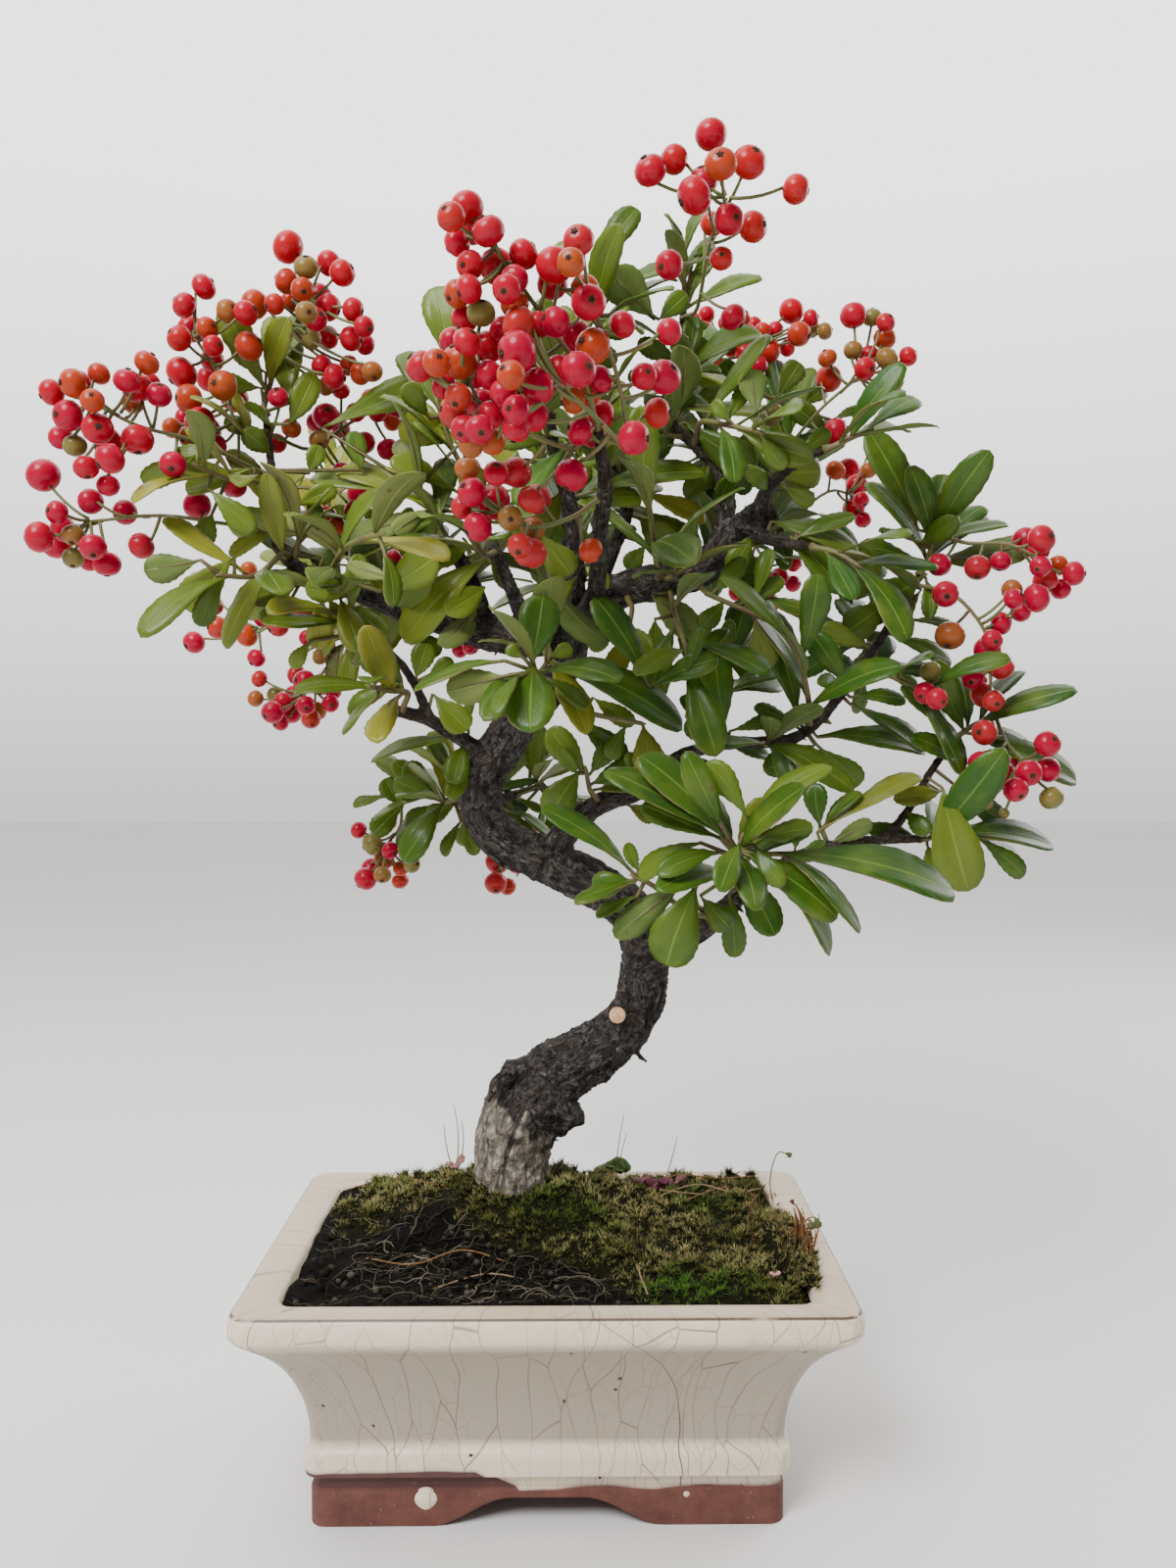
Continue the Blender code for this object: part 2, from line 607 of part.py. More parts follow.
def berry_stalk(start, end, grow=0.0):
    """A three-sided stalk from the bunch's stem into the berry."""
    span = end - start
    shape = bmesh.new()
    bmesh.ops.create_cone(
        shape,
        cap_ends=True,
        segments=3,
        radius1=BERRY_STALK_RADIUS + grow,
        radius2=BERRY_STALK_RADIUS + grow,
        depth=span.length,
    )
    turn = span.to_track_quat("Z", "Y").to_matrix().to_4x4()
    bmesh.ops.transform(shape, matrix=Matrix.Translation((start + end) / 2) @ turn, verts=shape.verts)
    return shape


def berry_choice(name, number, attempt, rows, count, reach):
    """The root, centre and radius of one berry; later attempts turn it round and lengthen its stalk."""
    draw = random.Random(f"{name} berry {number} try {attempt}")
    share = (number + 0.5) / count
    root, stem = place_on(rows, BERRY_FIRST + (1 - BERRY_FIRST) * share**BERRY_CROWD)
    turn = random.Random(name).uniform(0, math.tau) + GOLDEN_ANGLE * number + BERRY_TURN * attempt
    lean = math.radians(BERRY_LEAN * (1 - share) + draw.uniform(*BERRY_LEAN_RANGE))
    direction = (stem * math.cos(lean) + outward_from(stem, turn) * math.sin(lean)).normalized()
    radius = BERRY_RADIUS * draw.uniform(*BERRY_SIZES)
    size = reach * draw.uniform(*BERRY_REACHES) + BERRY_STRETCH * attempt
    return root, root + direction * size, radius


def grow_berries(name, rows, count, reach, space):
    """The berries of a bunch and their stalks, clear of everything placed so far."""
    shapes = []
    centres = []
    for number in range(count):
        for attempt in range(BERRY_TRIES):
            root, centre, radius = berry_choice(name, number, attempt, rows, count, reach)
            if any((centre - other).length < radius + size + CLEAR for other, size in centres):
                continue
            axis = (centre - root).normalized()
            ball = berry(centre, axis, radius, CLEAR)
            stalk = berry_stalk(root, centre, CLEAR)
            clear = space.is_clear(ball, name, ("stem",)) and space.is_clear(stalk, name)
            ball.free()
            stalk.free()
            if clear:
                centres.append((centre, radius))
                space.add(berry(centre, axis, radius), name, "berry")
                space.add(berry_stalk(root, centre), name, "stalk")
                shapes.append(berry_stalk(root, centre))
                shapes.append(berry(centre, axis, radius))
                break
    return shapes


# Pot


def rounded_outline(half_x, half_y, corner):
    """Points anticlockwise round a rectangle with round corners."""
    points = []
    for quarter in range(4):
        sign_x = (1, -1, -1, 1)[quarter]
        sign_y = (1, 1, -1, -1)[quarter]
        for step in range(CORNER_STEPS + 1):
            angle = math.radians(90 * (quarter + step / CORNER_STEPS))
            x = sign_x * (half_x - corner) + corner * math.cos(angle)
            y = sign_y * (half_y - corner) + corner * math.sin(angle)
            points.append((x, y))
    return points


def loft(sections):
    """A closed solid through rounded rectangles, each as height, half width, half depth and corner."""
    shape = bmesh.new()
    rings = []
    for height, half_x, half_y, corner in sections:
        ring = [shape.verts.new((x, y, height)) for x, y in rounded_outline(half_x, half_y, corner)]
        rings.append(ring)
    count = len(rings[0])
    for low, high in zip(rings, rings[1:]):
        for index in range(count):
            after = (index + 1) % count
            shape.faces.new((low[index], low[after], high[after], high[index]))
    shape.faces.new(rings[0][::-1])
    shape.faces.new(rings[-1])
    bmesh.ops.recalc_face_normals(shape, faces=shape.faces)
    return shape


def prism(outline, low, high, matrix=None):
    """A flat outline raised from one height to another."""
    shape = bmesh.new()
    face = shape.faces.new([shape.verts.new((x, y, low)) for x, y in outline])
    result = bmesh.ops.extrude_face_region(shape, geom=[face])
    moved = [item for item in result["geom"] if isinstance(item, bmesh.types.BMVert)]
    bmesh.ops.translate(shape, verts=moved, vec=(0, 0, high - low))
    bmesh.ops.recalc_face_normals(shape, faces=shape.faces)
    if matrix is not None:
        bmesh.ops.transform(shape, matrix=matrix, verts=shape.verts)
    return shape


def arch_outline(bottom_half, top_half, top):
    """The ogee gap between two bracket feet, from the ground up."""
    edge = []
    for step in range(ARCH_STEPS + 1):
        share = step / ARCH_STEPS
        x = bottom_half + (top_half - bottom_half) * share
        z = top * (0.5 - 0.5 * math.cos(math.pi * share))
        edge.append((x, z))
    right = [(bottom_half, -1.0)] + edge
    left = [(-x, z) for x, z in reversed(right)]
    return right + left


def build_pot(collection, cutters):
    pot = add_object("pot", loft(POT_PROFILE + CAVITY_PROFILE), collection)
    stand_up = Matrix.Rotation(math.radians(90), 4, "X")
    stand_up_side = Matrix.Rotation(math.radians(90), 4, "Z") @ stand_up
    far = RIM_HALF[0] + 10
    under = prism(
        rounded_outline(FOOT_HALF[0] - FOOT_WALL, FOOT_HALF[1] - FOOT_WALL, 4.0), -1.0, FLOOR_UNDER
    )
    tools = [under]
    tools.append(prism(arch_outline(ARCH_BOTTOM_HALF, ARCH_TOP_HALF, ARCH_TOP), -far, far, stand_up))
    side = arch_outline(SIDE_ARCH_HALF, SIDE_ARCH_HALF / 3, ARCH_TOP)
    tools.append(prism(side, -far, far, stand_up_side))
    for sign in (-1, 1):
        drain = bmesh.new()
        bmesh.ops.create_cone(
            drain, cap_ends=True, segments=16, radius1=DRAIN_RADIUS, radius2=DRAIN_RADIUS, depth=20
        )
        bmesh.ops.translate(drain, verts=drain.verts, vec=(sign * DRAIN_X, 0, FLOOR_UNDER + 2))
        tools.append(drain)
    for number, shape in enumerate(tools):
        cutter = add_cutter(f"pot_cutter_{number}", shape, cutters)
        pot.data = apply_boolean(pot, "DIFFERENCE", cutter, "EXACT")
        bpy.data.objects.remove(cutter, do_unlink=True)
    tidy_union(pot.data)
    pot.data.materials.clear()
    pot.data.materials.append(finish("glaze"))
    return pot


def build_drain_mesh(collection, cutters):
    low = FLOOR_TOP + SEAT_GAP
    shape = prism(rounded_outline(*MESH_HALF, 2.0), low, low + MESH_THICK)
    mesh = add_object("drain_mesh", shape, collection)
    hole_pitch = MESH_HOLE * 1.7
    for side in (-1, 1):
        for row in (-0.5, 0.5):
            hole = bmesh.new()
            bmesh.ops.create_cube(hole, size=MESH_HOLE)
            spot = (side * DRAIN_X, row * hole_pitch, low + MESH_THICK / 2)
            bmesh.ops.translate(hole, verts=hole.verts, vec=spot)
            cutter = add_cutter("mesh_cutter", hole, cutters)
            mesh.data = apply_boolean(mesh, "DIFFERENCE", cutter, "EXACT")
            bpy.data.objects.remove(cutter, do_unlink=True)
    tidy_union(mesh.data)
    mesh.data.materials.clear()
    mesh.data.materials.append(finish("mesh"))
    return mesh


# Soil and moss


def mound(x, y):
    """The height of the soil, which rises from the rim to the trunk."""
    away = ((x - TRUNK_FOOT[0]) / MOUND_SPREAD[0]) ** 2 + ((y - TRUNK_FOOT[1]) / MOUND_SPREAD[1]) ** 2
    ripple = 0.8 * math.sin(0.16 * x + 1.0) * math.cos(0.19 * y)
    return SOIL_EDGE + (MOUND_TOP - SOIL_EDGE) * math.exp(-away) + ripple


def ground_sheet(lift):
    """A triangulated sheet over the pot's mouth, at the soil's height plus a lift."""
    shape = bmesh.new()
    bmesh.ops.create_grid(shape, x_segments=GROUND_CELLS[0], y_segments=GROUND_CELLS[1], size=1.0)
    for vert in shape.verts:
        x = vert.co.x * (MOUTH_HALF[0] + GROUND_MARGIN)
        y = vert.co.y * (MOUTH_HALF[1] + GROUND_MARGIN)
        vert.co = (x, y, mound(x, y) + lift)
    bmesh.ops.triangulate(shape, faces=shape.faces)
    return shape


def thicken(shape, rise):
    """Closes a sheet into a solid whose new side lies higher by rise(x, y)."""
    result = bmesh.ops.extrude_face_region(shape, geom=shape.faces[:])
    for item in result["geom"]:
        if isinstance(item, bmesh.types.BMVert):
            item.co.z += rise(item.co.x, item.co.y)
    bmesh.ops.recalc_face_normals(shape, faces=shape.faces)
    return shape


def trunk_hole():
    """The plain round hole in soil and moss that the trunk's foot stands in."""
    shape = bmesh.new()
    radius = TRUNK_FOOT_RADIUS + 2 * SEAT_GAP
    low = TRUNK_FOOT_BOTTOM - SEAT_GAP
    bmesh.ops.create_cone(shape, cap_ends=True, segments=20, radius1=radius, radius2=radius, depth=60)
    bmesh.ops.translate(shape, verts=shape.verts, vec=(*TRUNK_FOOT, low + 30))
    return shape


def inner_section(height, inset):
    """The section of the pot's cavity at a height, drawn in by an inset."""
    top = CAVITY_PROFILE[1]
    bottom = CAVITY_PROFILE[2]
    share = (height - bottom[0]) / (top[0] - bottom[0])
    share = min(share, 1.0)
    half_x = bottom[1] + (top[1] - bottom[1]) * share - inset
    half_y = bottom[2] + (top[2] - bottom[2]) * share - inset
    return (height, half_x, half_y, 6.0)


def build_soil(collection, cutters):
    sheet = ground_sheet(0.0)
    soil = add_object("soil", thicken(sheet, lambda x, y: -mound(x, y)), collection)
    low = FLOOR_TOP + SEAT_GAP
    fill = loft([inner_section(low, SEAT_GAP), inner_section(57.2, SEAT_GAP), inner_section(90.0, SEAT_GAP)])
    wall = add_cutter("soil_fill", fill, cutters)
    soil.data = apply_boolean(soil, "INTERSECT", wall, "EXACT")
    bpy.data.objects.remove(wall, do_unlink=True)
    recess = prism(
        rounded_outline(MESH_HALF[0] + SEAT_GAP, MESH_HALF[1] + SEAT_GAP, 2.0),
        low - 2.0,
        low + MESH_THICK + SEAT_GAP,
    )
    for name, shape in (("soil_recess", recess), ("soil_hole", trunk_hole())):
        cutter = add_cutter(name, shape, cutters)
        soil.data = apply_boolean(soil, "DIFFERENCE", cutter, "EXACT")
        bpy.data.objects.remove(cutter, do_unlink=True)
    tidy_union(soil.data)
    soil.data.materials.clear()
    soil.data.materials.append(finish("soil"))
    return soil


# The moss lies over the back, the middle and the right; the front left is bare soil
MOSS_OUTLINE = [
    (65.5, -38.0), (65.5, 38.0), (61.0, 42.0), (-58.0, 42.0), (-64.0, 34.0), (-56.0, 20.0), (-36.0, 14.0),
    (-28.0, -4.0), (-14.0, -14.0), (6.0, -20.0), (18.0, -30.0), (26.0, -42.0), (61.0, -42.0),
]


def moss_rise(x, y):
    wave = 0.5 + 0.5 * math.sin(0.23 * x) * math.sin(0.31 * y + 0.7)
    return MOSS_EDGE_THICK + (MOSS_THICK - MOSS_EDGE_THICK) * wave


def build_moss(collection, cutters):
    sheet = ground_sheet(SEAT_GAP)
    moss = add_object("moss", thicken(sheet, moss_rise), collection)
    wall = add_cutter("moss_edge", prism(MOSS_OUTLINE, 30.0, 100.0), cutters)
    moss.data = apply_boolean(moss, "INTERSECT", wall, "EXACT")
    bpy.data.objects.remove(wall, do_unlink=True)
    hole = add_cutter("moss_hole", trunk_hole(), cutters)
    moss.data = apply_boolean(moss, "DIFFERENCE", hole, "EXACT")
    bpy.data.objects.remove(hole, do_unlink=True)
    tidy_union(moss.data)
    moss.data.materials.clear()
    moss.data.materials.append(finish("moss"))
    return moss


# Plant


def build_tree(collection, space, stems):
    trunk_rows = [Vector(point) for point in TRUNK]
    shapes = [tube(trunk_rows, TRUNK_SIDES)]
    space.add(shapes[0], "tree", "stem")
    stems["trunk"] = trunk_rows
    for name, route in BRANCHES.items():
        rows = [Vector(point) for point in route]
        shape = tube(rows, THICK_SIDES if name in THICK_BRANCHES else BRANCH_SIDES)
        space.add(shape, "tree", "stem")
        stems[name] = rows
        shapes.append(shape)
    return fuse("tree", shapes, "bark", collection)


def grow_stem(name, parent, points, radii, space, stems):
    rows = seated_route(stems[parent], points, radii)
    stems[name] = rows
    shape = tube(rows, STEM_SIDES)
    space.add(shape, name, "stem")
    return shape


def build_plant(collection):
    space = Space()
    stems = {}
    build_tree(collection, space, stems)
    started = {}
    for name, (parent, points, _, _) in SHOOTS.items():
        started[name] = grow_stem(name, parent, points, STEM_RADII, space, stems)
    for name, (parent, points, _, _) in BUNCHES.items():
        started[name] = grow_stem(name, parent, points, STALK_RADII, space, stems)
    for name, (_, _, count, reach) in BUNCHES.items():
        shapes = grow_berries(name, stems[name], count, reach, space)
        fuse(name, [started[name]] + shapes, "berry", collection)
    for name, (_, _, count, length) in SHOOTS.items():
        shapes = grow_leaves(name, stems[name], count, length, space)
        fuse(name, [started[name]] + shapes, "leaf", collection)


def place_all(collection):
    """Hangs every solid on one empty, which brings the middle of the box over the origin."""
    holder = bpy.data.objects.new("bonsai_place", None)
    collection.objects.link(holder)
    for item in list(collection.objects):
        if item is not holder:
            item.parent = holder
    holder.location = [value * MM for value in PLACE]


def main():
    clear_scene()
    collection = make_collection("pyracantha_bonsai")
    cutters = make_collection("cutters")
    build_pot(collection, cutters)
    build_drain_mesh(collection, cutters)
    build_soil(collection, cutters)
    build_moss(collection, cutters)
    build_plant(collection)
    place_all(collection)
    bpy.context.view_layer.update()


main()
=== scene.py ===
"""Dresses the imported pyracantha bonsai: pot, soil, moss, bark, leaves, berries, weeds and the stage.

Routes and sizes are in millimetres in the pot's own frame, as in the part's source: X to the right, Y to
the back, Z up from the surface that the feet stand on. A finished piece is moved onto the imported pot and
scaled to metres.
"""

import math
import random

import bmesh
import bpy
from mathutils import Euler, Matrix, Vector, noise
from mathutils.bvhtree import BVHTree
from mathutils.kdtree import KDTree


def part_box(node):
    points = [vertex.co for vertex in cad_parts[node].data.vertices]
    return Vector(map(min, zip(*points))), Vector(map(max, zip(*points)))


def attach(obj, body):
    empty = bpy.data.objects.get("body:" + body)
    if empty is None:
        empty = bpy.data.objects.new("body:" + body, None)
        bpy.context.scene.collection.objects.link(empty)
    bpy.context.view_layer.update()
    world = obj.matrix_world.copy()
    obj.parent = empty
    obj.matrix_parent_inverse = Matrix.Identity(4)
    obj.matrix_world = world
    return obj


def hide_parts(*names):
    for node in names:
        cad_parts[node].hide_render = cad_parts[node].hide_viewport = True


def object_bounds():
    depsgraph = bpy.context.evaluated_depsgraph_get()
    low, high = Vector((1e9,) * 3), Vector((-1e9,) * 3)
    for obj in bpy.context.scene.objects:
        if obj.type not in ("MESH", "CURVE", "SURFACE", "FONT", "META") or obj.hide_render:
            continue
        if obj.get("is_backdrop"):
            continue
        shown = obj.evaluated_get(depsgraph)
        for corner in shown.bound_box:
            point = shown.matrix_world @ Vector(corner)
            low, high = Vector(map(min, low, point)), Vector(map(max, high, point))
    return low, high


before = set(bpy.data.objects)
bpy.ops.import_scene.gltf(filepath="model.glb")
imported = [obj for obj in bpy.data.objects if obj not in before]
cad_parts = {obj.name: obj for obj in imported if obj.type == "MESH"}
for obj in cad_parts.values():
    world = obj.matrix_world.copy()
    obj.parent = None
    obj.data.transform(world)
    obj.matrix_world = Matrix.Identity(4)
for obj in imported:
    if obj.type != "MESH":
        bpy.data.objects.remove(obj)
CAD_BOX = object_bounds()
noise.seed_set(7)

bl_info = {
    "name": "Pyracantha bonsai",
    "version": (1, 0, 0),
    "blender": (4, 5, 0),
    "location": "3D View > Sidebar > Bonsai",
    "description": "Dresses a packed pyracantha bonsai in its glazed pot",
    "category": "Object",
}

MM = 0.001
POT_LOW, POT_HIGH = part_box("pot")
SHIFT = Vector((POT_LOW.x + POT_HIGH.x, POT_LOW.y + POT_HIGH.y, 0.0)) / 2 / MM
UP = Vector((0.0, 0.0, 1.0))
# A leaf or a berry is in the CAD when a vertex lies this near to its mark
MATCH = 0.08

# Sizes and routes as the part's source has them. Among the branches, the knob and the spur have other rows
# here, and the flap and the fold at the trunk are only here.
SEAT_GAP = 0.3
GOLDEN_ANGLE = math.radians(137.5)
POT_PROFILE = (
    (0.0, 60.0, 40.0, 4.0), (9.0, 60.0, 40.0, 4.0), (9.6, 59.0, 39.0, 3.5), (12.4, 59.0, 39.0, 3.5),
    (13.2, 61.2, 41.2, 4.0), (18.5, 61.6, 41.6, 4.0), (21.5, 60.2, 40.3, 4.0), (31.0, 61.4, 41.3, 4.0),
    (40.0, 65.2, 44.2, 4.5), (46.0, 70.0, 47.6, 5.0), (50.3, 75.8, 51.2, 5.5), (52.0, 77.8, 52.4, 5.5),
    (56.5, 78.0, 52.5, 5.5), (58.5, 76.4, 51.0, 5.0),
)
FOOT_HALF = (60.0, 40.0)
FLOOR_UNDER = 7.5
FOOT_WALL = 7.0
ARCH_BOTTOM_HALF = 30.0
ARCH_TOP_HALF = 9.0
ARCH_TOP = 7.2
SIDE_ARCH_HALF = 16.0
DRAIN_RADIUS = 6.0
DRAIN_X = 28.0
MOUTH_HALF = (67.0, 43.5)
MOUND_TOP = 70.0
SOIL_EDGE = 56.0
MOUND_SPREAD = (34.0, 24.0)
TRUNK_FOOT = (-11.0, 10.0)
RIM_TOP = 58.5
MOSS_OUTLINE = (
    (65.5, -38.0), (65.5, 38.0), (61.0, 42.0), (-58.0, 42.0), (-64.0, 34.0), (-56.0, 20.0), (-36.0, 14.0),
    (-28.0, -4.0), (-14.0, -14.0), (6.0, -20.0), (18.0, -30.0), (26.0, -42.0), (61.0, -42.0),
)
TRUNK = [
    (-11, 10, 46, 10.4), (-11, 10, 60, 10.4), (-11, 10, 75, 10.4), (-10, 10, 85, 11.3), (-5, 10, 96, 10.2),
    (6, 11, 104, 8.8), (18, 12, 111, 7.9), (25, 12, 120, 7.1), (27, 11, 130, 6.8), (27, 10, 140, 6.8),
    (22, 10, 150, 6.5), (11, 11, 157, 6.5), (-1, 12, 163, 6.5), (-12, 12, 168, 6.2), (-19, 11, 175, 5.9),
    (-20, 10, 183, 5.9), (-18, 10, 191, 6.2), (-13, 9, 198, 6.0), (-8, 9, 205, 5.3), (-1, 9, 211, 4.8),
    (4, 10, 219, 4.4), (7, 10, 228, 4.4), (7, 10, 235, 4.5),
]
BRANCHES = {
    "left": [
        (6, 10, 228, 4.2), (-6, 9, 227, 5.3), (-18, 8, 229, 5.3), (-26, 8, 231, 4.6), (-37, 6, 233, 3.2),
        (-49, 2, 237, 2.6), (-57, -2, 240, 2.3), (-67, -4, 244, 2.1), (-74, -4, 250, 1.9),
        (-77, -2, 264, 1.6), (-78, 2, 276, 1.3), (-80, 4, 290, 1.1),
    ],
    "right": [
        (7, 10, 233, 4.2), (18, 10, 240, 5.0), (28, 10, 243, 5.0), (39, 9, 245, 4.9), (47, 8, 250, 4.7),
        (53, 7, 257, 4.5), (63, 6, 264, 4.2),
    ],
    "high": [
        (49, 8, 254, 3.0), (50, 9, 265, 2.4), (48, 9, 275, 1.9), (42, 9, 282, 1.7), (36, 10, 287, 1.6),
        (33, 10, 294, 1.5), (36, 10, 307, 1.2), (38, 10, 321, 1.0),
    ],
    "inner": [(7, 9, 234, 3.2), (7, 6, 253, 2.5), (5, 4, 266, 2.2), (1, 3, 279, 1.9), (0, 4, 290, 1.5)],
    "middle": [
        (11, 11, 237, 2.8), (18, 13, 253, 2.1), (22, 13, 265, 1.9), (19, 10, 273, 1.6), (14, 8, 281, 1.3),
    ],
    "crown_left": [(-6, 8, 229, 2.8), (-12, 7, 243, 2.0), (-16, 6, 252, 1.8), (-21, 5, 262, 1.4)],
    "crown_far_left": [(-18, 8, 230, 3.2), (-23, 6, 244, 2.5), (-28, 4, 253, 1.9)],
    "low_right": [
        (-1, 12, 163, 4.6), (4, 10, 171, 3.9), (10, 9, 177, 3.3), (17, 8, 181, 3.0), (26, 6, 184, 2.7),
        (36, 4, 193, 2.1), (50, 2, 197, 1.9), (67, 0, 198, 1.7), (76, 2, 204, 1.6), (83, 4, 212, 1.5),
        (90, 6, 221, 1.4), (97, 8, 231, 1.3), (106, 8, 246, 1.0),
    ],
    "bottom_right": [
        (27, 10, 134, 4.2), (34, 0, 139, 3.4), (43, -12, 148, 3.0), (53, -18, 158, 2.5),
        (65, -20, 166, 2.1), (78, -18, 170, 1.7), (92, -14, 171, 1.4), (102, -10, 171, 1.2),
    ],
    "bottom_side": [(90, -15, 171, 1.3), (97, -11, 178, 1.2), (105, -6, 189, 1.1), (113, -3, 198, 1.0)],
    "low_left": [(-17, 10, 193, 3.0), (-25, 6, 198, 2.2), (-35, 2, 204, 1.9), (-47, 0, 207, 1.6)],
    "low_left_side": [(-34, 2, 204, 1.6), (-38, 0, 214, 1.3), (-44, -2, 222, 1.1), (-52, -2, 228, 0.9)],
    "low_left_back": [(-19, 10, 184, 3.0), (-20, 24, 185, 1.9), (-27, 40, 181, 1.6), (-35, 58, 178, 1.2)],
    "trunk_back": [(-18, 11, 177, 2.6), (-15, 24, 180, 1.6), (-10, 40, 182, 1.3), (-3, 56, 184, 1.0)],
    "back_left": [
        (-20, 8, 230, 3.6), (-28, 22, 237, 3.0), (-38, 36, 245, 2.4), (-52, 52, 251, 1.9),
        (-70, 66, 252, 1.4),
    ],
    "back_right": [
        (34, 10, 244, 4.0), (42, 22, 249, 3.2), (52, 35, 258, 2.6), (65, 50, 269, 2.0), (74, 64, 279, 1.5),
    ],
    "front": [
        (7, 9, 231, 3.6), (12, -6, 236, 2.8), (13, -20, 242, 2.5), (13, -36, 249, 2.2),
        (14, -52, 258, 1.8), (12, -66, 267, 1.4),
    ],
    "back": [
        (7, 11, 232, 3.6), (5, 26, 240, 3.0), (4, 40, 254, 2.4), (8, 54, 276, 1.9), (18, 68, 299, 1.5),
    ],
    "upper_right": [
        (58, 6, 260, 2.8), (60, -2, 267, 2.0), (63, -9, 270, 1.6), (68, -14, 273, 1.3),
        (74, -17, 275, 1.1),
    ],
    "side_right": [(55, 6, 258, 2.8), (61, -1, 254, 2.0), (66, -5, 252, 1.5), (72, -10, 250, 1.1)],
    "cut_stub": [(21, 12, 117, 3.4), (19, 2, 120, 2.6)],
    "knob": [(-5, 9, 98, 6.5), (-9, 7, 102, 4.8), (-13, 5, 105, 2.4)],
    "flap": [(-11, 4, 104, 2.6), (-15, 1, 101, 1.9), (-18, 0, 96, 1.0)],
    "fold": [(-3, 9, 97, 8.0), (3, 8, 91, 5.8), (6, 7, 86, 3.8)],
    "spur": [(22, 11, 109, 1.4), (28, 10, 104.6, 0.5)],
}
# Leafy shoots: what carries it, its route, the number of leaves in the part and their length
SHOOTS = {
    "shoot_left_tip": ("left", [(-79, 5, 297), (-76, 4, 306)], 5, 25),
    "shoot_left_out": ("left", [(-80, -9, 268), (-85, -16, 267), (-90, -26, 268)], 5, 25),
    "shoot_left_low": ("left", [(-72, -11, 248), (-77, -19, 241), (-84, -26, 240)], 5, 28),
    "shoot_left_front": ("left", [(-58, -11, 245), (-51, -26, 248), (-40, -42, 248)], 5, 29),
    "shoot_left_back": ("back_left", [(-73, 70, 260), (-78, 77, 276), (-74, 83, 292)], 5, 27),
    "shoot_left_back_low": ("back_left", [(-60, 63, 243), (-67, 68, 234), (-73, 70, 228)], 5, 26),
    "shoot_low_left": ("low_left", [(-39, -6, 211), (-43, -14, 211), (-47, -20, 212)], 5, 24),
    "shoot_low_left_side": ("low_left_side", [(-56, -3, 232), (-60, -6, 233)], 4, 24),
    "shoot_low_back": ("low_left_back", [(-41, 63, 180), (-50, 68, 180)], 5, 22),
    "shoot_trunk_front": ("left", [(0, -4, 221), (-2, -20, 216), (-3, -32, 215)], 6, 29),
    "shoot_crown_left": ("crown_left", [(-18, -3, 249), (-21, -12, 252), (-22, -18, 254)], 5, 29),
    "shoot_crown_far_left": ("crown_far_left", [(-32, 2, 260), (-37, 0, 268)], 4, 27),
    "shoot_crown_up": ("crown_left", [(-23, 4, 271), (-28, 0, 281), (-31, -2, 291)], 5, 27),
    "shoot_inner_top": ("inner", [(3, 6, 300), (11, 3, 314), (19, -1, 324)], 5, 27),
    "shoot_middle_top": ("middle", [(14, 5, 289), (18, -3, 296)], 5, 25),
    "shoot_high_top": ("high", [(38, 9, 331), (38, 7, 337)], 4, 19),
    "shoot_high_mid": ("high", [(42, -2, 286), (48, -10, 283), (56, -18, 279)], 5, 27),
    "shoot_high_back": ("high", [(38, 20, 300), (42, 30, 306), (46, 38, 310)], 4, 25),
    "shoot_upper_right": ("upper_right", [(79, -19, 277), (84, -20, 279)], 5, 27),
    "shoot_back_top": ("back", [(2, 60, 276), (-3, 70, 284), (-5, 78, 293)], 5, 27),
    "shoot_back_right": ("back_right", [(77, 70, 288), (79, 75, 302)], 6, 27),
    "shoot_back_right_low": ("back_right", [(62, 47, 258), (67, 54, 249)], 4, 26),
    "shoot_side_right": ("side_right", [(77, -14, 248), (82, -18, 244)], 5, 27),
    "shoot_right_front": ("right", [(29, -10, 246), (27, -26, 251), (25, -40, 258)], 5, 30),
    "shoot_right_low": ("right", [(35, 2, 233), (37, -8, 224), (37, -14, 217)], 5, 28),
    "shoot_branch_up": ("low_right", [(47, 14, 206), (52, 30, 214), (56, 42, 222)], 5, 27),
    "shoot_branch_mid": ("low_right", [(71, -8, 208), (68, -14, 217), (64, -18, 224)], 5, 30),
    "shoot_branch_far": ("low_right", [(89, 16, 226), (89, 24, 234), (90, 30, 242)], 5, 25),
    "shoot_branch_tip": ("low_right", [(108, 7, 251), (109, 4, 257)], 6, 27),
    "shoot_branch_side": ("low_right", [(94, -3, 216), (99, -9, 213), (104, -14, 211)], 4, 26),
    "shoot_side_tip": ("bottom_side", [(118, -2, 202), (122, -3, 204)], 5, 28),
    "shoot_bottom_tip": ("bottom_right", [(106, -9, 172), (110, -9, 173)], 4, 30),
    "shoot_bottom_front": ("bottom_right", [(47, -30, 163), (46, -40, 169), (46, -50, 171)], 6, 28),
}
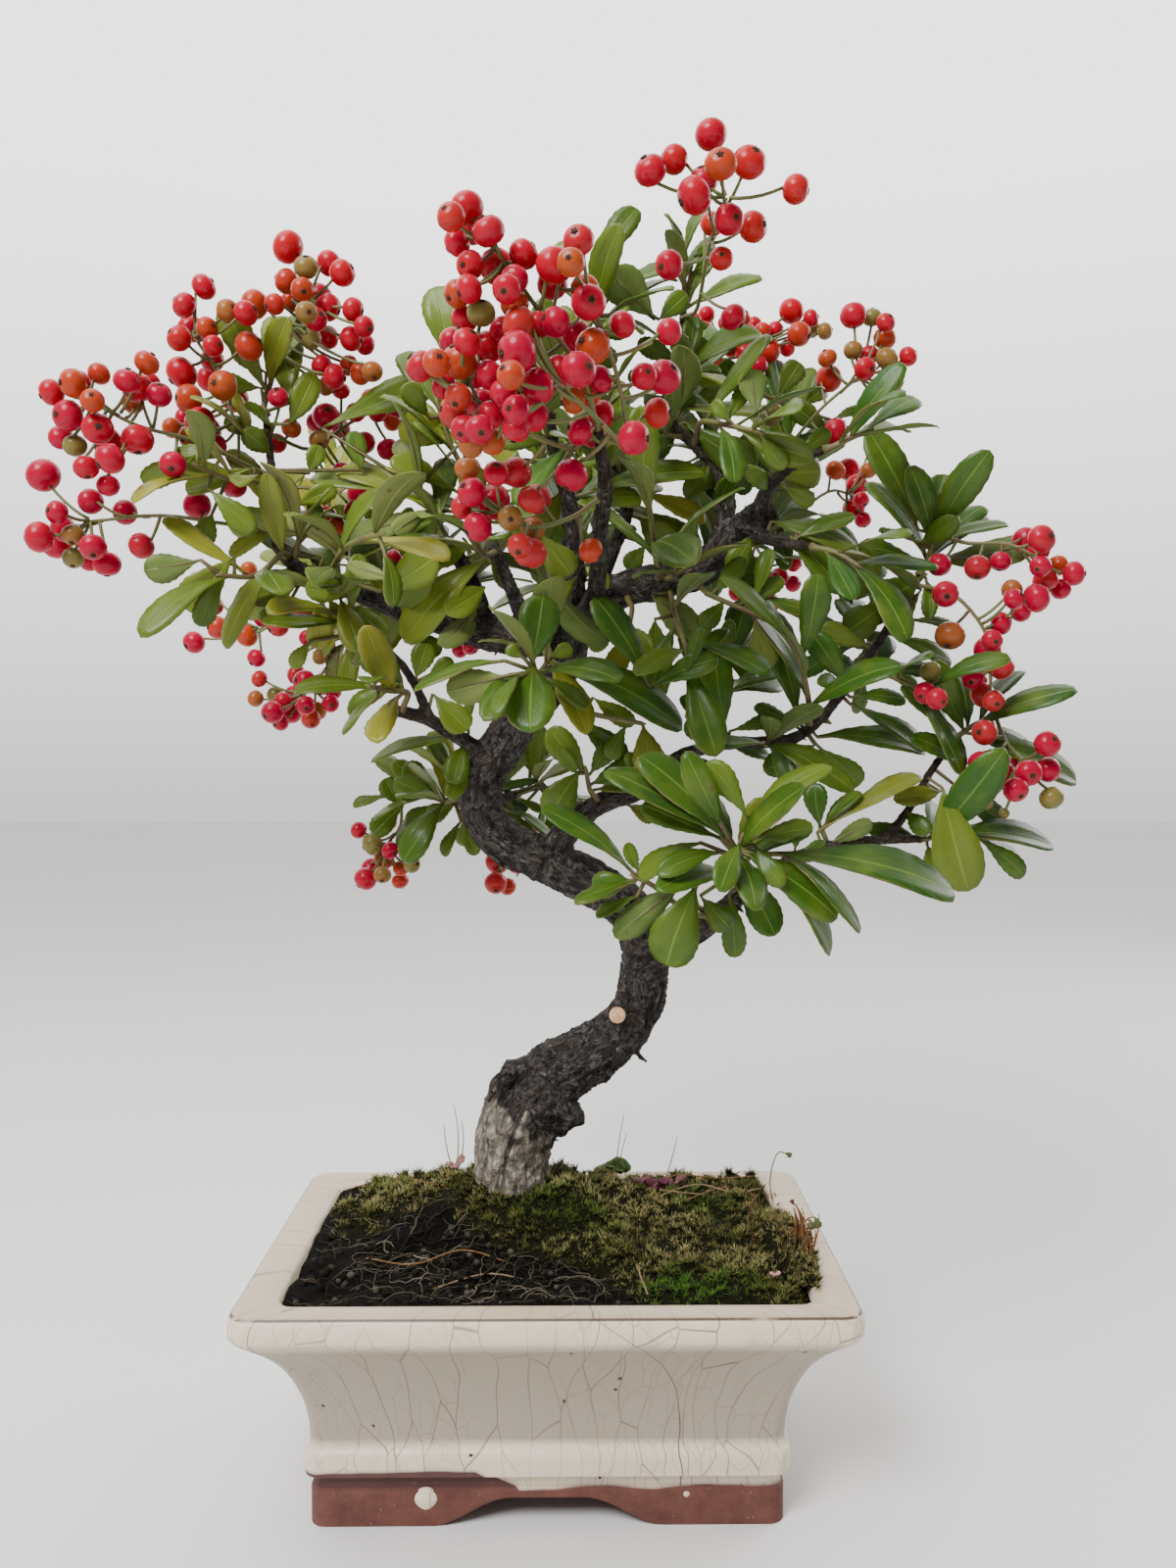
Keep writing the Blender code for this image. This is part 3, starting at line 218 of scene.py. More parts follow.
# Berry bunches: what carries it, its stalk, the number of berries in the part and their own stalks' length
BUNCHES = {
    "bunch_far_left": ("left", [(-92, -18, 276), (-106, -23, 279), (-118, -25, 285)], 6, 12),
    "bunch_left_low": ("left", [(-86, -10, 256), (-104, -12, 258), (-122, -14, 256)], 4, 10),
    "bunch_left_up": ("left", [(-86, -2, 284), (-91, -1, 298), (-97, -4, 308)], 4, 11),
    "bunch_left_top": ("shoot_left_tip", [(-72, 3, 313), (-67, 0, 320)], 5, 12),
    "bunch_left_near": ("left", [(-70, 18, 283), (-62, 24, 291), (-54, 26, 296)], 4, 9),
    "bunch_hang_left": ("back_left", [(-66, 60, 243), (-84, 70, 240), (-100, 74, 236)], 4, 9),
    "bunch_hang_low": ("shoot_left_back_low", [(-78, 73, 222), (-85, 74, 214)], 5, 10),
    "bunch_low_left": ("shoot_low_back", [(-52, 71, 170), (-57, 72, 163)], 5, 9),
    "bunch_behind_trunk": ("trunk_back", [(-12, 58, 174), (-15, 61, 164), (-18, 62, 157)], 3, 8),
    "bunch_centre_top": ("front", [(8, -76, 277), (-2, -81, 290), (-11, -83, 302)], 5, 10),
    "bunch_centre_right": ("front", [(19, -60, 268), (15, -76, 280), (9, -84, 292)], 4, 10),
    "bunch_centre_mid": ("front", [(17, -66, 264), (12, -78, 266), (4, -86, 271)], 5, 11),
    "bunch_centre_left": ("front", [(5, -66, 263), (-7, -74, 266), (-17, -78, 272)], 6, 11),
    "bunch_centre_low": ("front", [(6, -52, 250), (-3, -56, 247), (-10, -59, 250)], 5, 8),
    "bunch_top": ("high", [(41, 0, 318), (42, -20, 326), (44, -40, 330)], 8, 15),
    "bunch_back_top": ("back", [(32, 72, 310), (46, 75, 324), (60, 76, 332)], 5, 11),
    "bunch_right_top": ("back_right", [(70, 40, 284), (80, 30, 297), (92, 26, 307)], 5, 12),
    "bunch_right_hang": ("back_right", [(77, 57, 271), (92, 70, 282), (101, 78, 283)], 4, 9),
    "bunch_right_back": ("back_right", [(66, 58, 262), (72, 70, 257), (73, 76, 251)], 3, 8),
    "bunch_far_right": ("shoot_branch_tip", [(117, 0, 253), (126, -5, 252), (133, -8, 248)], 5, 10),
    "bunch_far_right_low": ("low_right", [(112, -4, 238), (119, -8, 228), (121, -8, 217)], 4, 9),
    "bunch_right_low": ("shoot_side_tip", [(125, -8, 198), (129, -10, 192)], 4, 9),
}
STALK_RADII = (0.9, 0.6)
STEM_RADII = (1.0, 0.65)
LEAD = 1.6
LEVEL_LEAST = 0.2
BLADE_THICK = 0.65
BLADE_WIDTH_SHARE = 0.38
BLADE_FOLD = 0.18
BLADE_ARCH = 0.05
TRIES = 16
LEAF_FIRST = 0.35
LEAF_LAST = 0.98
LEAF_TURN = 0.3
LEAF_LEAN = 68.0
LEAF_LEAN_DROP = 38.0
LEAF_LEAN_RANGE = 12.0
LEAF_LIFT = 0.12
LEAF_SIZES = (0.78, 1.12)
LEAF_WIDTHS = (0.88, 1.15)
LEAF_SHRINK = 0.02
UP_SIDE = 0.4
UP_FRONT = (-1.2, -0.2)
UP_ALONG = 0.93
BERRY_RADIUS = 3.9
BERRY_FLAT = 0.92
BERRY_FACET = 1.08
BERRY_FIRST = 0.5
BERRY_CROWD = 0.7
BERRY_TURN = 0.6
BERRY_LEAN = 85.0
BERRY_LEAN_RANGE = (-8.0, 14.0)
BERRY_SIZES = (0.86, 1.1)
BERRY_REACHES = (0.8, 1.15)
BERRY_STRETCH = 0.35

# From here on the sizes are this script's own. Heights of the glaze's wavy hem in metres, at the left and
# from the middle to the right
HEM_HIGH = 0.0145
HEM_LOW = 0.0094
# The lip's outer edge, where the glaze is worn brown: beyond this X or Y, between these heights
LIP_OUTSIDE = (76.0, 50.6)
WORN_LOW = 56.7
WORN_HIGH = 58.35
# The round corners of the pot's mouth, and how much of its width a block in it has at the bottom
MOUTH_CORNER = 5.0
BLOCK_TAPER = 0.94
# A line of sight is followed to the ground in steps from this Y
MOUTH_FRONT = -42.5
SIGHT_STEP = 0.5
SIGHT_STEPS = 180
# The X of the rim's inner edge and of the middle of the moss that lies over the rim at the right, and how
# far that moss reaches at its foot
RIM_TOP_AT = 68.4
SPILL_MIDDLE = 65.5
SPILL_FOOT = 2.6
# How far the moss keeps from the trunk's middle, and numbers of tufts and stalks
TRUNK_CLEAR = 9.8
TUFT_KINDS = 12
CORNER_TUFTS = 90
RIM_TUFTS = 380
RIM_LUMPS = 13
RUSTY_STALKS = 18
HAIRS = 34

# The camera of the photograph: its place, its pixels per unit of tangent and its middle
CAMERA = Vector((7.0, -343.0, 195.0))
SIGHT = 1250.0
EYE = (587.0, 766.0)
LOOK_DOWN = 1.56
LOOK_RIGHT = 0.6
SENSOR = 36.0
# Round lights: place in metres, the height each looks at, size and share of the key light's power
LIGHTS = (
    ("window", (-0.4, -0.62, 0.85), 0.2, 0.5, 1.0), ("overhead", (-0.3, -0.1, 1.0), 0.2, 0.7, 0.3),
    ("right_back", (0.8, 0.5, 0.6), 0.22, 0.5, 0.25),
)

# Twigs that only this script adds: what carries each, and its points as X and Y in the picture and depth
# in mm
TWIGS = {
    "twig_centre": ("inner", [(565, 575, -10), (545, 562, -22)]),
    "twig_trunk_right": ("trunk", [(600, 727, 2), (626, 733, -2), (654, 738, -6)]),
    "twig_low": ("low_right", [(602, 806, 2), (598, 786, -2)]),
    "twig_fork": ("right", [(645, 622, 2), (641, 646, -4)]),
    "twig_mid": ("right", [(722, 606, -4), (756, 621, -8), (784, 634, -12)]),
    "twig_bend": ("bottom_right", [(700, 930, -22), (668, 905, -28), (648, 895, -31)]),
    "twig_trunk_low": ("bottom_right", [(712, 925, -18), (708, 905, -30)]),
    "twig_left_low": ("low_left", [(425, 760, -6), (445, 745, -10)]),
    "twig_top_back": ("high", [(730, 395, 24), (775, 405, 30), (815, 420, 34)]),
    "twig_left_back": ("back_left", [(420, 560, 40), (405, 520, 34), (390, 480, 30)]),
}
# Leaves as the photograph shows them: what carries them, then for each the X and Y in the picture of its
# root and tip, its width there (below zero where its underside shows) and how yellow it is
LEAVES_SEEN = {
    "shoot_left_low": [
        (208, 573, 151, 584, -30, 0.2), (242, 569, 190, 622, 38, 0.6), (228, 585, 205, 640, 24, 0.4),
    ],
    "shoot_left_out": [
        (220, 525, 205, 560, 36, 0.5), (285, 520, 235, 540, 34, 0.5), (262, 480, 193, 503, 22, 0.55),
        (205, 466, 150, 495, 25, 0.45), (228, 470, 180, 464, 14, 0.45), (215, 500, 262, 545, 26, 0.5),
    ],
    "left": [
        (323, 577, 245, 627, 38, 0.55), (300, 610, 268, 636, 18, 0.45), (280, 544, 236, 568, 14, 0.65),
        (315, 548, 250, 526, -16, 0.4), (332, 570, 265, 534, -18, 0.45), (282, 440, 254, 414, 9, 0.35),
        (270, 446, 232, 432, 18, 0.55), (280, 467, 252, 442, 24, 0.5), (318, 500, 329, 543, 16, 0.15),
        (298, 415, 285, 328, 40, 0.5), (298, 436, 323, 384, 26, 0.5), (318, 485, 328, 457, 20, 0.35),
        (370, 482, 362, 442, 20, 0.15), (275, 385, 240, 360, -14, 0.4), (270, 400, 228, 392, 20, 0.45),
        (300, 520, 345, 500, 20, 0.5), (350, 600, 318, 560, 22, 0.45), (405, 625, 440, 590, 24, 0.5),
        (420, 645, 450, 668, 20, 0.5), (360, 618, 398, 650, 22, 0.5),
    ],
    "shoot_left_front": [
        (366, 600, 313, 602, 26, 0.5), (330, 610, 325, 663, 27, 0.95), (335, 610, 358, 640, 27, 0.9),
        (404, 592, 357, 577, -16, 0.45), (388, 604, 446, 568, 40, 0.5), (392, 560, 402, 620, 18, 0.45),
    ],
    "crown_left": [
        (466, 520, 318, 490, 24, 0.35), (469, 528, 356, 567, 25, 0.15), (440, 522, 353, 551, -22, 0.4),
        (500, 568, 413, 656, 36, 0.6), (470, 505, 400, 470, 22, 0.5),
    ],
    "shoot_crown_far_left": [
        (470, 455, 410, 430, 46, 0.65), (426, 490, 410, 450, 26, 0.55), (332, 440, 440, 398, 32, 0.4),
        (440, 520, 402, 545, -20, 0.4),
    ],
    "crown_far_left": [
        (495, 600, 455, 626, 30, 0.5), (492, 612, 450, 661, -24, 0.45), (480, 560, 445, 575, 20, 0.45),
        (496, 560, 520, 600, 18, 0.45),
    ],
    "low_left_side": [
        (360, 678, 388, 661, 13, 0.45), (410, 680, 381, 691, 7, 0.4), (318, 655, 299, 682, 16, 0.5),
        (425, 692, 437, 655, 28, 0.4), (437, 690, 463, 674, 16, 0.45), (352, 640, 330, 628, 16, 0.4),
    ],
    "shoot_low_left": [
        (410, 697, 355, 728, 16, 0.3), (385, 712, 349, 749, 9, 0.6), (400, 690, 370, 676, 14, 0.35),
    ],
    "low_left": [
        (478, 750, 482, 683, 12, 0.25), (442, 708, 478, 745, 30, 0.5), (468, 752, 378, 776, 15, 0.3),
        (474, 760, 462, 800, 26, 0.45), (482, 770, 458, 815, 20, 0.45),
    ],
    "shoot_trunk_front": [
        (542, 680, 554, 607, 41, 0.05), (545, 678, 541, 746, 52, 0.15), (560, 676, 697, 744, 36, 0.05),
        (515, 674, 422, 704, 15, 0.25), (516, 690, 456, 706, -36, 0.45), (535, 672, 517, 660, 18, 0.4),
        (560, 672, 584, 661, 20, 0.5), (556, 690, 600, 722, 16, 0.3), (530, 690, 505, 730, 14, 0.3),
    ],
    "shoot_right_low": [
        (662, 700, 606, 610, 29, 0.05), (662, 702, 732, 672, 25, 0.1), (665, 606, 712, 648, -32, 0.5),
        (668, 632, 673, 680, 22, 0.3), (700, 690, 716, 640, 16, 0.2), (712, 672, 742, 642, 14, 0.25),
    ],
    "twig_centre": [
        (543, 564, 620, 656, -22, 0.2), (552, 545, 583, 588, 36, 0.65), (548, 560, 500, 520, 16, 0.45),
    ],
    "inner": [
        (590, 516, 655, 510, 18, 0.5), (604, 503, 720, 484, 22, 0.45), (583, 455, 527, 516, 25, 0.1),
        (570, 450, 500, 446, 26, 0.5), (575, 500, 545, 560, 24, 0.6), (592, 560, 618, 604, 18, 0.5),
        (580, 470, 600, 430, 18, 0.35), (588, 590, 560, 622, 20, 0.5),
    ],
    "middle": [
        (655, 505, 720, 532, 20, 0.9), (652, 530, 690, 562, 30, 0.65), (660, 556, 640, 582, 28, 0.3),
        (650, 522, 716, 560, 18, 0.55), (622, 470, 658, 432, 22, 0.3), (615, 460, 590, 418, 20, 0.4),
        (640, 500, 672, 470, 22, 0.35),
    ],
    "twig_fork": [
        (640, 650, 624, 690, 24, 0.9), (625, 640, 603, 664, 20, 0.5), (645, 640, 664, 670, 18, 0.45),
    ],
    "twig_trunk_right": [
        (605, 712, 648, 739, 20, 0.55), (656, 740, 669, 799, 33, 0.85), (590, 733, 640, 772, 24, 0.2),
        (640, 738, 622, 775, 20, 0.3),
    ],
    "twig_low": [
        (598, 788, 560, 743, 30, 0.45), (592, 786, 560, 836, 36, 0.5), (590, 790, 570, 762, 14, 0.3),
        (604, 800, 650, 775, 22, 0.35), (606, 806, 655, 800, 14, 0.3), (602, 790, 625, 760, 20, 0.2),
    ],
    "shoot_crown_up": [
        (460, 378, 447, 297, 37, 0.5), (440, 430, 415, 395, 22, 0.45), (452, 440, 500, 420, 20, 0.5),
    ],
    "shoot_inner_top": [
        (600, 286, 650, 218, 26, 0.35), (560, 288, 578, 250, 10, 0.3), (668, 330, 621, 282, -46, 0.1),
        (672, 330, 700, 304, 22, 0.15), (600, 330, 640, 345, 20, 0.3), (588, 360, 630, 372, 22, 0.3),
        (596, 352, 570, 318, 18, 0.35), (580, 385, 545, 365, 20, 0.4),
    ],
    "high": [
        (700, 318, 776, 285, 17, 0.3), (702, 312, 732, 257, 15, 0.3), (706, 268, 723, 256, 8, 0.1),
        (707, 282, 723, 270, 8, 0.1), (696, 345, 722, 334, 9, 0.3), (690, 385, 722, 351, 25, 0.4),
        (690, 388, 742, 392, 17, 0.4), (655, 404, 682, 440, 22, 0.1), (694, 428, 706, 402, 15, 0.15),
        (698, 433, 770, 478, 35, 0.3), (694, 436, 728, 472, 18, 0.2), (690, 442, 640, 482, 28, 0.2),
        (735, 515, 745, 487, 18, 0.2), (690, 370, 650, 352, 20, 0.3), (684, 400, 640, 385, 20, 0.3),
        (730, 480, 768, 500, 22, 0.4), (725, 475, 700, 510, 22, 0.45),
    ],
    "shoot_high_mid": [
        (752, 440, 829, 470, 31, 0.5), (748, 436, 727, 411, 15, 0.3), (772, 426, 765, 380, -34, 0.15),
        (742, 432, 760, 398, 16, 0.35), (776, 446, 800, 480, 20, 0.5),
    ],
    "upper_right": [
        (788, 482, 838, 482, 33, 0.65), (795, 495, 775, 450, 20, 0.4), (815, 470, 845, 440, 18, 0.35),
        (785, 500, 760, 480, 18, 0.25), (800, 498, 830, 515, 18, 0.5),
    ],
    "twig_top_back": [
        (845, 442, 804, 412, 24, 0.4), (815, 418, 842, 398, 18, 0.35), (790, 410, 815, 372, 24, 0.45),
        (760, 402, 735, 372, 22, 0.35), (848, 430, 880, 416, 9, 0.3), (740, 398, 712, 412, 20, 0.4),
    ],
    "side_right": [
        (812, 544, 896, 600, 54, 0.55), (806, 548, 862, 606, 26, 0.4), (813, 549, 872, 527, 17, 0.3),
        (786, 533, 876, 562, 22, 0.5), (770, 545, 745, 585, 24, 0.35),
    ],
    "twig_mid": [
        (770, 632, 787, 681, 25, 0.65), (768, 617, 786, 560, 17, 0.25), (765, 612, 830, 626, 13, 0.2),
        (740, 612, 716, 640, 20, 0.3), (752, 618, 800, 590, 18, 0.3), (728, 604, 760, 570, 20, 0.3),
    ],
    "low_right": [
        (908, 614, 863, 646, 37, 0.45), (946, 586, 890, 616, 35, 0.2), (890, 662, 834, 640, 22, 0.55),
        (815, 736, 780, 621, 37, 0.1), (868, 700, 828, 645, 29, 0.05), (740, 741, 728, 658, 33, 0.05),
        (722, 657, 718, 624, 15, 0.25), (745, 752, 698, 739, 25, 0.15), (745, 746, 793, 735, 15, 0.1),
        (848, 738, 800, 728, 15, 0.25), (820, 746, 770, 720, 15, 0.2), (835, 752, 946, 768, 24, 0.15),
        (742, 760, 786, 771, 15, 0.1), (832, 760, 780, 787, 28, 0.4), (834, 760, 879, 801, 30, 0.3),
        (940, 602, 912, 637, -22, 0.15), (930, 632, 973, 636, 9, 0.2), (905, 646, 973, 677, 18, 0.35),
        (888, 680, 938, 698, 15, 0.35), (868, 711, 926, 714, 15, 0.1), (868, 718, 946, 766, 19, 0.05),
        (865, 705, 836, 696, 12, 0.1), (640, 821, 669, 837, 17, 0.75), (700, 768, 735, 800, 22, 0.2),
        (665, 800, 640, 770, 18, 0.3),
    ],
    "shoot_branch_up": [(740, 668, 794, 701, 25, 0.25), (738, 672, 745, 632, 16, 0.3)],
    "shoot_bottom_front": [
        (742, 858, 652, 771, 33, 0.1), (735, 850, 617, 786, 31, 0.05), (736, 856, 655, 821, 25, 0.15),
        (765, 836, 722, 777, 28, 0.3), (758, 852, 849, 782, 22, 0.45), (770, 855, 831, 844, 23, 0.2),
        (762, 872, 856, 939, 35, 0.1), (790, 872, 979, 913, 37, 0.05), (762, 898, 792, 956, 35, 0.05),
        (745, 912, 751, 979, 25, 0.2), (715, 915, 746, 949, 27, 0.05), (755, 862, 735, 909, 27, 0.1),
        (735, 870, 671, 893, 23, 0.2), (715, 860, 651, 896, 21, 0.4), (780, 880, 850, 974, 24, 0.05),
        (798, 872, 879, 954, 19, 0.1), (735, 840, 700, 768, 30, 0.1), (770, 862, 800, 905, 22, 0.2),
    ],
    "twig_trunk_low": [(697, 902, 627, 957, -31, 0.1), (712, 903, 680, 987, 51, 0.25)],
    "twig_bend": [
        (648, 898, 604, 905, 34, 0.1), (648, 900, 586, 921, 14, 0.15), (650, 915, 608, 936, 13, 0.15),
        (646, 890, 552, 825, 22, 0.05), (652, 890, 640, 860, 14, 0.2),
    ],
    "bottom_right": [
        (835, 850, 941, 792, 15, 0.75), (808, 880, 842, 862, 18, 0.1), (846, 862, 891, 838, -17, 0.1),
        (838, 845, 832, 799, 24, 0.1), (840, 845, 880, 808, 14, 0.25), (812, 870, 815, 835, 18, 0.2),
    ],
    "bottom_side": [
        (962, 808, 913, 816, 19, 0.8), (963, 804, 991, 911, 50, 0.6), (975, 800, 1027, 841, 23, 0.1),
        (984, 780, 931, 752, 17, 0.15), (985, 780, 1029, 771, 15, 0.1), (926, 828, 950, 850, 20, 0.25),
    ],
    "shoot_bottom_tip": [
        (1000, 855, 1049, 896, 21, 0.1), (1000, 853, 1045, 878, 9, 0.15), (948, 862, 956, 892, 22, 0.35),
        (940, 856, 885, 845, 16, 0.2),
    ],
    "shoot_side_tip": [
        (1002, 755, 1101, 798, 27, 0.15), (986, 748, 952, 674, 31, 0.2), (975, 758, 921, 699, 15, 0.05),
        (1004, 734, 1014, 748, 15, 0.3),
    ],
    "shoot_branch_tip": [
        (937, 541, 885, 442, 31, 0.35), (942, 532, 962, 506, -30, 0.1), (938, 556, 976, 529, 23, 0.25),
        (950, 559, 1029, 536, 13, 0.25), (953, 571, 1061, 550, -27, 0.25), (940, 576, 874, 559, 17, 0.2),
        (925, 549, 896, 541, 6, 0.2), (945, 590, 948, 632, 16, 0.2),
    ],
    "shoot_low_back": [
        (410, 825, 393, 794, 23, 0.35), (398, 812, 360, 822, 9, 0.3), (412, 820, 380, 851, 23, 0.3),
        (436, 812, 409, 815, 11, 0.3),
    ],
    "low_left_back": [
        (444, 800, 412, 783, 25, 0.3), (466, 820, 436, 833, 23, 0.5), (470, 838, 452, 874, 11, 0.35),
        (474, 842, 486, 873, 15, 0.45),
    ],
    "trunk_back": [(518, 826, 564, 856, 9, 0.25), (528, 815, 553, 828, 9, 0.3)],
}
